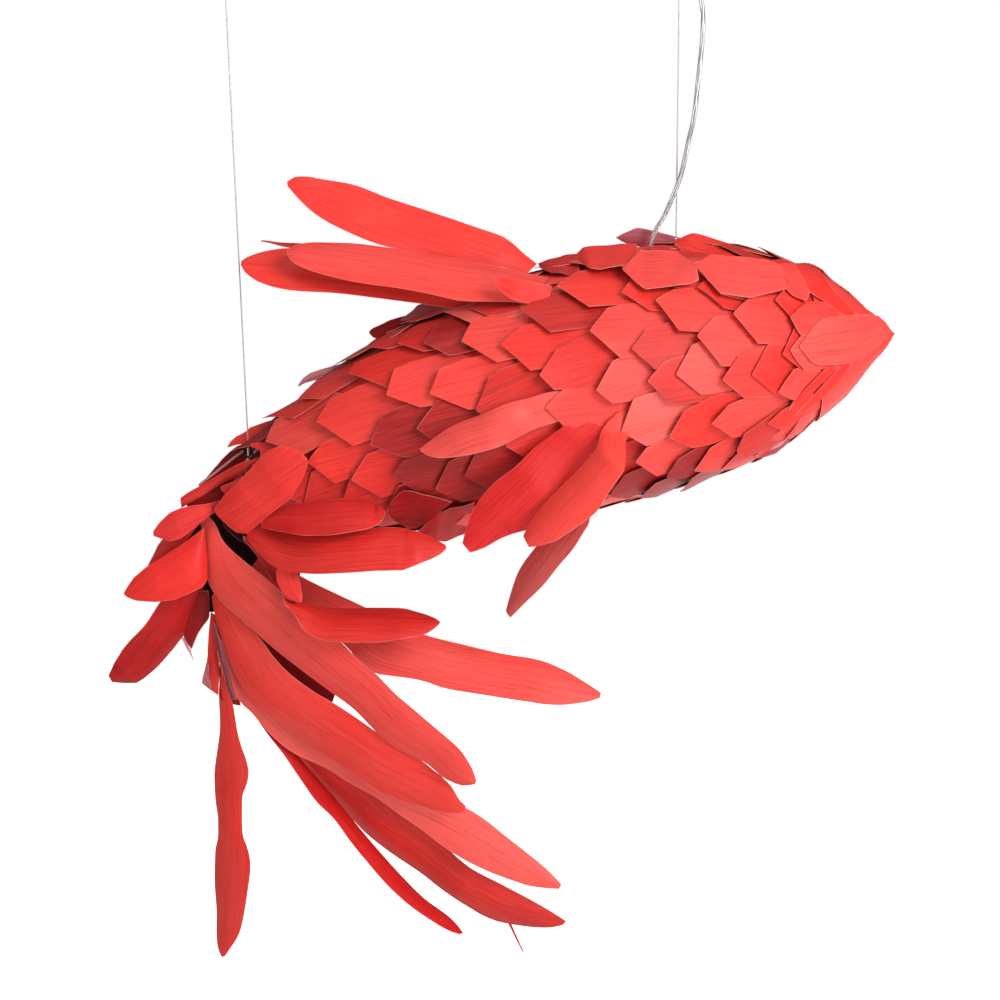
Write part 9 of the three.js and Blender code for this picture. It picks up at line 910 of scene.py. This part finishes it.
# the rest of the body: staggered rings
ring_s, ring = 152.0, 0
count = len(SCALES)
while ring_s < 880.0:
    r = radius(min(ring_s, 856.0))
    n = max(6, int(round(2 * math.pi * r / 64.0)))
    for j in range(n):
        phi = (j + 0.5 * (ring % 2)) * 2 * math.pi / n + rng.uniform(-2.5, 2.5) / r
        s = ring_s + rng.uniform(-4.0, 4.0)
        tone = max(-0.9, min(0.95, rng.gauss(0.0, 0.36)))
        lift = rng.uniform(0.8, 3.4)
        seed = rng.randrange(10 ** 6)
        near = False
        for s2, p2 in placed[:len(SCALES)]:
            dphi = (phi - p2 + math.pi) % (2 * math.pi) - math.pi
            if abs(s2 - s) < 27 and abs(dphi) * r < 33:
                near = True
        if near:
            # tucked under the larger pieces, so that no gap shows between them
            if not covers_window(s - 30.0, phi):
                scale_piece(bands[band_of(s)], s - 30.0, phi, (24, -29), (24, 29), tone, 0.0, seed, h_tip=-8.5, length=max(40.0, min(96.0, s - 90.0)), na=9, nc=7, slope=0.01)
            count += 1
            continue
        jit = rng.uniform(-4, 4)
        if covers_window(s, phi):
            continue
        turn = math.degrees((phi + math.pi) % (2 * math.pi) - math.pi)
        seen = 8 < turn < 150
        rim = -40 < turn <= 8 or turn >= 150 or turn < -165
        chin = s < 260 and (turn >= 140 or turn < -150)
        # scales on the side that faces the camera get a tone 0.15 deeper: painted shade
        scale_piece(bands[band_of(s)], s, phi, (24 + jit, -29), (24 - jit, 29), tone - (0.15 if seen else 0.0), lift * (0.2 if chin else 0.4 if seen else 0.35 if rim else 1.0), seed,
                    h_tip=4.0 - (4.6 if chin else 1.3 if seen else 0.8 if rim else 0.0), length=min(112.0, s - 52.0), na=13, nc=7, slope=0.075 if rim else None, flat=0.04 if rim else 0.30)
        count += 1
    ring_s += 42.0
    ring += 1
band_objs = []
BAND_SETS = {2: SET_RED, 5: SET_RED}
for i, sp in enumerate(bands):
    node = "scale_band_%02d" % (i + 1)
    band_objs.append(sp.make("scales_ring_%02d" % (i + 1), SET_RED, "fish", "veneer_pale" if i in (1, 4, 7) else "veneer_red", node))

# ---- nose and gill pieces -------------------------------------------------------------------
nose = Soup()
AX = None
for k, (name, p) in enumerate(sorted(PATCHES.items())):
    G = np.array(p["g"], float)
    for mirror in (1.0, -1.0):
        Q = G.copy()
        Q[:, :, 1] *= mirror
        out = Q[6, 3] - np.array([220.0, 0.0, -517.0])
        sheet_piece(nose, Q, 0.6, 900 + 2 * k + (mirror < 0), p["tone"] + (0 if mirror > 0 else 0.1), out)
# rolled tip and hidden top and under pieces of the nose
tip_rows, seg = [], 40
prof = [(-1.5, 0.9), (0.6, 3.0), (4.0, 8.0), (9.0, 14.6), (16.0, 22.0), (26.0, 31.0), (38.0, 41.6), (52.0, 56.0), (68.0, 70.4), (86.0, 84.0), (104.0, 96.0)]
P = []
for s, r in prof:
    x, z, rr, tx, tz, nx, nz = frame_at(max(s, 1.0))
    if s < 1.0:
        b = body(1.0)
        x, z = b[0] - tx * (1.0 - s), b[1] - tz * (1.0 - s)
    row = []
    for j in range(seg + 1):
        a = 2 * math.pi * j / seg
        q = max(0.5, min(rr, r) - 0.6)
        row.append((x + nx * q * math.cos(a), -q * math.sin(a), z + nz * q * math.cos(a)))
    P.append(row)
sheet_piece(nose, P, 0.6, 990, 0.2, (0.0, 0.0, -1.0))
nose.make("nose_pieces", SET_RED, "fish", "veneer_red", "nose_wrap")

# ---- fins --------------------------------------------------------------------------------------
FIN_SETS = {"tail_strip_01": "veneer_bright", "tail_strip_07": "veneer_pale", "tail_strip_09": "veneer_pale", "tail_strip_10": "veneer_deep",
            "tail_strip_14": "veneer_bright", "tail_strip_15": "veneer_deep", "dorsal_strip_02": "veneer_pale", "dorsal_strip_04": "veneer_deep",
            "pectoral_near_01": "veneer_pale", "pectoral_near_03": "veneer_bright", "pectoral_near_04": "veneer_deep"}


def fin_grid(rows, curl, seed, n=64, m=11, straight=False):
    R = catmull([np.array(r, float) for r in rows], n)
    rnd = random.Random(seed)
    ph = [rnd.uniform(0, 6.28) for _ in range(4)]
    A, B = R[:, :3], R[:, 3:]
    M = (A + B) / 2
    T = np.gradient(M, axis=0)
    W = B - A
    wl = np.linalg.norm(W, axis=1)
    wide = max(wl.max(), 1.0)
    Nn = np.cross(T, W)
    Nn /= np.maximum(np.linalg.norm(Nn, axis=1)[:, None], 1e-9)
    for i in range(n):
        if Nn[i] @ (CAM - M[i]) < 0:
            Nn[i] = -Nn[i]
    # steady normals near both ends
    for i in range(1, n):
        if Nn[i] @ Nn[i - 1] < 0:
            Nn[i] = -Nn[i]
    for _ in range(4):
        Nn[1:-1] = (Nn[:-2] + 2 * Nn[1:-1] + Nn[2:]) / 4
        Nn /= np.linalg.norm(Nn, axis=1)[:, None]
    P = np.zeros((n, m, 3))
    for i in range(n):
        u = i / (n - 1)
        for j in range(m):
            v = 2.0 * j / (m - 1) - 1.0
            lift = curl * (1 - v * v) * (wl[i] / wide)
            ripple = 0.6 * math.sin(7 * u + ph[0]) * v * (wl[i] / wide) + 0.3 * math.sin(15 * u + ph[1] + 1.5 * v)
            P[i, j] = M[i] + W[i] * v * 0.5 + Nn[i] * (lift + ripple * (1 if 0.05 < u < 0.97 else 0.3))
    # the grain runs straight along the piece and is cut by its outline
    T /= np.maximum(np.linalg.norm(T, axis=1)[:, None], 1e-9)
    for _ in range(3):
        T[1:-1] = (T[:-2] + 2 * T[1:-1] + T[2:]) / 4
        T /= np.linalg.norm(T, axis=1)[:, None]
    run = np.concatenate([[0], np.cumsum(np.linalg.norm(np.diff(M, axis=0), axis=1))])
    al, ac = np.zeros((n, m)), np.zeros((n, m))
    for i in range(n):
        side = np.cross(Nn[i], T[i])
        side /= np.linalg.norm(side)
        for j in range(m):
            v = 2.0 * j / (m - 1) - 1.0
            al[i, j] = run[i] + (W[i] * v * 0.5) @ T[i]
            ac[i, j] = (W[i] * v * 0.5) @ side
    if straight:
        axis = (M[-1] - M[0]) / max(np.linalg.norm(M[-1] - M[0]), 1e-9)
        across_axis = np.cross(Nn.mean(axis=0), axis)
        across_axis /= max(np.linalg.norm(across_axis), 1e-9)
        al, ac = (P - M[0]) @ axis, (P - M[0]) @ across_axis
    return P, Nn[n // 2], al, ac


def above_body(p):
    """Height of a point over the body surface and the way out from the centre line."""
    best = None
    for s in range(6, 880, 6):
        x, z, r, tx, tz, nx, nz = frame_at(float(s))
        d2 = (p[0] - x) ** 2 + (p[2] - z) ** 2
        if best is None or d2 < best[0]:
            best = (d2, x, z, r)
    v = np.array([p[0] - best[1], p[1], p[2] - best[2]])
    ln = np.linalg.norm(v)
    return ln - best[3], v / max(ln, 1e-9)


# fins given a lighter or a deeper sheet and tone than the rest, partly their own colour and partly painted light and
# shade: pectoral_near_04 is made pale though it faces down into shade, tail_strip_15 deep where the tail root shades it
FIN_LOOK = {"pectoral_near_02": (SET_DEEP, 0.10), "pectoral_near_03": (SET_BRIGHT, 0.75), "pectoral_near_04": (SET_PALE, 0.95), "tail_strip_14": (SET_BRIGHT, -0.55),
            "tail_strip_02": (SET_DEEP, 0.20), "tail_strip_15": (SET_DEEP, -0.60), "tail_strip_17": (SET_DEEP, 0.45), "tail_strip_11": (SET_DEEP, 0.00)}
# roots that lie under the scales: name -> height of the root, height where it comes out, where that is, where it is free
TUCKED = {"pectoral_near_01": (-4.5, 5.0, 0.28, 0.60), "pectoral_near_02": (-2.0, 5.5, 0.14, 0.50), "pectoral_near_03": (-5.0, 7.0, 0.17, 0.28),
          "pectoral_near_04": (-4.0, 12.0, 0.07, 0.24), "pectoral_far_01": (-4.0, 12.0, 0.10, 0.34), "pectoral_far_02": (-4.0, 12.0, 0.10, 0.34)}

for k, (name, st) in enumerate(sorted(STRIPS.items())):
    P, out, al, ac = fin_grid(st["rows"], st["curl"], 300 + k, straight=not name.startswith("tail") or name in ("tail_strip_14", "tail_strip_17", "tail_strip_19"))
    if name in TUCKED:
        ha, hb, u0, u1 = TUCKED[name]
        for i in range(len(P)):
            u = i / (len(P) - 1.0)
            h0 = ha + (hb - ha) * min(1.0, u / u0)
            q = min(1.0, max(0.0, (u - u0) / (u1 - u0)))
            q = q * q * (3 - 2 * q)
            if q < 1.0:
                for j in range(P.shape[1]):
                    h, w = above_body(P[i, j])
                    if h > h0:
                        P[i, j] -= w * (h - h0) * (1 - q)
    s = Soup()
    mats, tone = FIN_LOOK.get(name, (SET_RED, st["tone"]))
    sheet_piece(s, P, 0.7, 300 + k, tone, out, along=al, across=ac)
    sl = FIN_SETS.get(name, "veneer_red")
    s.make(name + "_veneer", mats, "fish", sl, name)

# ---- small loose pieces about the tail root, the back and the chin ----------------------------------
EXTRA_SETS = {"red": SET_RED, "deep": SET_DEEP, "bright": SET_BRIGHT, "back": SET_PURPLE, "inner": SET_SHADOW_FILL}
groups = {}
for k, (name, st) in enumerate(sorted(EXTRAS.items())):
    P, out, al, ac = fin_grid(st["rows"], st["curl"], 700 + k, n=30, m=7)
    groups.setdefault(st["col"], Soup())
    sheet_piece(groups[st["col"]], P, 0.6, 700 + k, st["tone"], out * st["face"], along=al, across=ac)
for col, sp in sorted(groups.items()):
    sp.make("loose_pieces_" + col, EXTRA_SETS[col], "fish", {"deep": "veneer_deep", "inner": "veneer_deep", "bright": "veneer_bright"}.get(col, "veneer_red"))

# ---- hardware --------------------------------------------------------------------------------------
def revolve(name, prof, seg, x, material, body_name, slot, *nodes, smooth=35.0):
    V, F = lathe(prof, seg, x)
    return plain(name, V, F, material, body_name, slot, *nodes, smooth=smooth)


def fillet(profile, r=0.8, steps=3):
    """Rounds the corners of an open (radius, z) profile that starts and ends on the axis."""
    out = [profile[0]]
    for i in range(1, len(profile) - 1):
        p0, p1, p2 = (np.array(profile[i + k], float) for k in (-1, 0, 1))
        a, b = p0 - p1, p2 - p1
        la, lb = np.linalg.norm(a), np.linalg.norm(b)
        q = min(r, la * 0.45, lb * 0.45)
        s0, s1 = p1 + a / la * q, p1 + b / lb * q
        for t in np.linspace(0, 1, steps + 1):
            out.append(tuple((1 - t) ** 2 * s0 + 2 * t * (1 - t) * p1 + t * t * s1))
    out.append(profile[-1])
    return out


revolve("ceiling_rose", fillet([(0, 0), (50, 0), (50, -5), (49, -9), (46.4, -13), (42, -17), (35, -20.6), (28, -23), (22, -24), (0, -24)], 1.2), 96, 0.0, WHITE, "ceiling", "ceiling_white", "head_ceiling_rose")
revolve("ceiling_cup", fillet([(0, 0), (24, 0), (24, -4), (22.4, -8.4), (19.4, -11.6), (16, -13.4), (12, -14), (0, -14)], 0.9), 72, TAIL_HOOK_X, WHITE, "ceiling", "ceiling_white", "tail_ceiling_cup")
revolve("flex_grip", [(6.2, -24.3), (9.6, -24.3), (10, -25), (9.9, -27), (9.5, -27.6), (9.5, -29.4), (9.8, -30), (9.6, -33), (9.1, -35.4), (8.4, -36), (6.2, -36)], 40, 18.0, WHITE, "ceiling", "ceiling_white", "flex_ceiling_grip")
for nm, x, h in (("head", 0.0, 24.0), ("tail", TAIL_HOOK_X, 14.0)):
    s = Soup()
    V, F = torus(RING_R, BAR_R, (x, 0, HOOK_Z), "yz", 48, 14)
    s.add(V, F, [0] * len(F), [], [])
    V, F, _ = tube([(x, 0, z) for z in np.linspace(HOOK_Z + RING_R, -h - SLACK, 14)], [BAR_R if i > 1 else BAR_R * 1.12 for i in range(14)], 16)
    s.add(V, F, [0] * len(F), [], [])
    V, F = lathe(fillet([(0, -h - 0.3), (5.2, -h - 0.3), (5.2, -h - 2.0), (0, -h - 2.0)], 0.4), 40, x)
    s.add(V, F, [0] * len(F), [], [])
    s.make(nm + "_hook", [ROD], "ceiling", "steel", nm + "_ceiling_hook", smooth_angle=50)
    V, F = torus(RING_R, BAR_R, (x, 0, SWING_Z - RING_R), "xz", 48, 14)
    plain(nm + "_ring", V, F, ROD, "hangers", "steel", nm + "_hanger_ring", smooth=60)
for nm, at, slack in (("head", HEAD, SLACK), ("tail", TAIL, 1.0)):
    top = at[1] + WIRE_R + BAR_R + slack
    s = Soup()
    V, F = torus(RING_R, BAR_R, (at[0], 0, top - RING_R), "xz", 48, 14)
    s.add(V, F, [0] * len(F), [], [])
    # rounded tab under the spine rod
    x0, x1, y0, y1, z0, z1 = at[0] - 4, at[0] + 4, -1.2, SPINE_Y + 2, top - 2 * RING_R - 1.4, top - 2 * RING_R + 1.2
    ring_pts = []
    for cx, cy, a0 in ((x1 - 1, y1 - 1, 0), (x0 + 1, y1 - 1, 90), (x0 + 1, y0 + 1, 180), (x1 - 1, y0 + 1, 270)):
        for k in range(5):
            a = math.radians(a0 + 22.5 * k)
            ring_pts.append((cx + math.cos(a), cy + math.sin(a)))
    L = len(ring_pts)
    V = [(x, y, z0) for x, y in ring_pts] + [(x, y, z1) for x, y in ring_pts]
    F = [tuple(range(L))[::-1], tuple(range(L, 2 * L))] + [(i, (i + 1) % L, L + (i + 1) % L, L + i) for i in range(L)]
    s.add(V, F, [0] * len(F), [], [])
    s.make(nm + "_eye", [ROD], "fish", "steel", nm + "_anchor_eye", smooth_angle=50)


def rail(phi, y, name, node):
    pts = []
    for i in range(60):
        s = 40 + (846 - 40) * i / 59.0
        x, z, r, tx, tz, nx, nz = frame_at(s)
        q = r - 9.0 - 4.0 - 0.6
        k = math.sqrt(max(0.0, q * q - y * y)) * math.cos(phi)
        pts.append((x + nx * k, y, z + nz * k))
    V, F, _ = tube(pts, 1.95, 12)
    plain(name, V, F, ROD, "fish", "steel", node, smooth=60)


rail(0.0, SPINE_Y, "spine", "spine_rod")
rail(math.pi, 0.0, "keel", "keel_rod")
for i, s0 in enumerate((200, 430, 690)):
    x, z, r, tx, tz, nx, nz = frame_at(s0)
    pts = []
    n = 96
    V, F = [], []
    R = r - 9.0
    for a in range(n):
        t = 2 * math.pi * a / n
        c = np.array([x + nx * R * math.cos(t), -R * math.sin(t), z + nz * R * math.cos(t)])
        rad = (c - np.array([x, 0, z])) / R
        ax = np.array([tx, 0, tz])
        for k in range(10):
            b = 2 * math.pi * k / 10
            V.append(c + 1.95 * (math.cos(b) * rad + math.sin(b) * ax))
    for a in range(n):
        for k in range(10):
            a2, k2 = (a + 1) % n, (k + 1) % 10
            F.append((a * 10 + k, a2 * 10 + k, a2 * 10 + k2, a * 10 + k2))
    plain("hoop_%d" % (i + 1), V, F, ROD, "fish", "steel", "frame_hoop_%d" % (i + 1), smooth=60)

# bracket plate keeps its CAD shape
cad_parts["holder_bracket"].data.materials.clear()
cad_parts["holder_bracket"].data.materials.append(ROD)

grip = [(0, -432), (3.6, -432), (4.2, -432.8)]
for k in range(9):
    z = -434.0 - k * 3.2
    rr = 4.3 + 3.0 * (k / 9.0)
    grip += [(rr, z), (rr + 0.25, z - 1.2), (rr - 0.15, z - 1.9)]
grip += [(7.4, -463.5), (7.4, -465.4), (6.8, -466), (0, -466)]
revolve("cord_grip", grip, 40, LAMP_X, BLACK, "fish", "holder_black", "lamp_cord_grip")
hold = [(0, -466.4), (10.5, -466.4), (12.5, -467.0), (17.5, -471.6), (19.4, -474)]
for k in range(6):
    z = -476.0 - k * 5.6
    hold += [(19.7, z), (20.0, z - 0.9), (20.0, z - 3.0), (19.5, z - 3.9), (19.5, z - 4.8)]
hold += [(20.0, -512.0), (20.0, -518.6), (19.2, -520), (17.0, -520), (16.4, -519.2), (16.4, -480), (0, -480)]
revolve("lamp_socket", hold, 72, LAMP_X, BLACK, "fish", "holder_black", "lamp_holder")
capp = [(0, -481), (4.2, -481), (5.0, -481.8), (5.4, -483.2), (9.0, -484.4), (12.2, -485.4)]
for k in range(15):
    z = -486.2 - 20.0 * k / 15.0
    capp += [(12.35 + 0.8 * (0.5 + 0.5 * math.sin(k * 2 * math.pi / 3.0)), z)]
capp += [(13.0, -506.4), (13.0, -507), (0, -507)]
revolve("bulb_cap", capp, 60, LAMP_X, CAP, "bulb", "cap_metal", "lamp_cap", smooth=60)
outer = [(12.9, -507.3), (13.4, -512), (14.4, -520), (17.4, -532), (22.6, -545), (27.4, -556), (29.7, -566), (29.4, -575), (26.6, -585), (21.5, -592.6), (14.0, -598), (7.0, -600.4), (0, -601)]
inner = [(0, -599.8), (7.0, -599.2), (13.6, -596.9), (20.6, -591.8), (25.5, -584.4), (28.2, -574.8), (28.5, -566), (26.3, -556.4), (21.5, -545.6), (16.2, -532.4), (13.2, -520.2), (12.2, -512), (11.9, -507.3)]
revolve("bulb_globe", (outer[::-1] + inner[::-1]), 72, LAMP_X, BULB, "bulb", "bulb_glass", "lamp_bulb", smooth=60)

# ---- light and floor ------------------------------------------------------------------------------
world = bpy.data.worlds.new("studio")
scene.world = world
world.use_nodes = True
wt = world.node_tree
wt.nodes.clear()
wo = wt.nodes.new("ShaderNodeOutputWorld")
bg_seen, bg_light = wt.nodes.new("ShaderNodeBackground"), wt.nodes.new("ShaderNodeBackground")
bg_seen.inputs[0].default_value = (1, 1, 1, 1); bg_seen.inputs[1].default_value = 1.0
bg_light.inputs[0].default_value = (1, 1, 1, 1); bg_light.inputs[1].default_value = 0.20
lp = wt.nodes.new("ShaderNodeLightPath")
mx = wt.nodes.new("ShaderNodeMixShader")
wt.links.new(lp.outputs["Is Camera Ray"], mx.inputs[0])
wt.links.new(bg_light.outputs[0], mx.inputs[1])
wt.links.new(bg_seen.outputs[0], mx.inputs[2])
wt.links.new(mx.outputs[0], wo.inputs[0])


def area(name, loc, target, size, power, colour=(1, 1, 1), size_y=None):
    d = bpy.data.lights.new(name, "AREA")
    d.energy = power
    d.color = colour
    d.size = size
    if size_y:
        d.shape = "RECTANGLE"
        d.size_y = size_y
    o = bpy.data.objects.new(name, d)
    scene.collection.objects.link(o)
    o.location = loc
    from mathutils import Vector
    o.rotation_euler = (Vector(target) - Vector(loc)).to_track_quat("-Z", "Y").to_euler()
    o.visible_camera = False
    return o


MIDDLE = (-0.2, 0.0, -0.75)
area("key", (1.30, -2.0, 0.50), MIDDLE, 1.2, 57.0, size_y=1.2)
area("low", (1.0, -2.2, -1.25), MIDDLE, 1.1, 22.0)
area("fill", (-1.9, -2.0, -0.4), MIDDLE, 1.8, 12.0)
area("top", (-0.2, -0.3, 1.5), MIDDLE, 2.0, 14.0)
area("wash", (-0.2, 3.4, -1.35), (-0.2, 3.4, -1.95), 8.0, 190.0, size_y=4.6)

bpy.ops.mesh.primitive_grid_add(x_subdivisions=2, y_subdivisions=2, size=1.0, location=(-0.2, 0.6, -1.95))
floor = bpy.context.active_object
floor.name = "studio_floor"
floor.scale = (9.0, 8.0, 1.0)
fm, fnt, fb = new_material("floor_pale")
co = N(fnt, "ShaderNodeTexCoord").outputs["Object"]
w = noise(fnt, scaled(fnt, co, 3.0, 3.0, 3.0), 1.0, 2.0, 0.5)
fnt.links.new(ramp(fnt, w, [(0.3, (0.93, 0.93, 0.93)), (0.7, (0.96, 0.96, 0.96))]), fb.inputs["Base Color"])
fb.inputs["Roughness"].default_value = 0.9
fb.inputs["Specular IOR Level"].default_value = 0.1
floor.data.materials.append(fm)

print("scales", count)
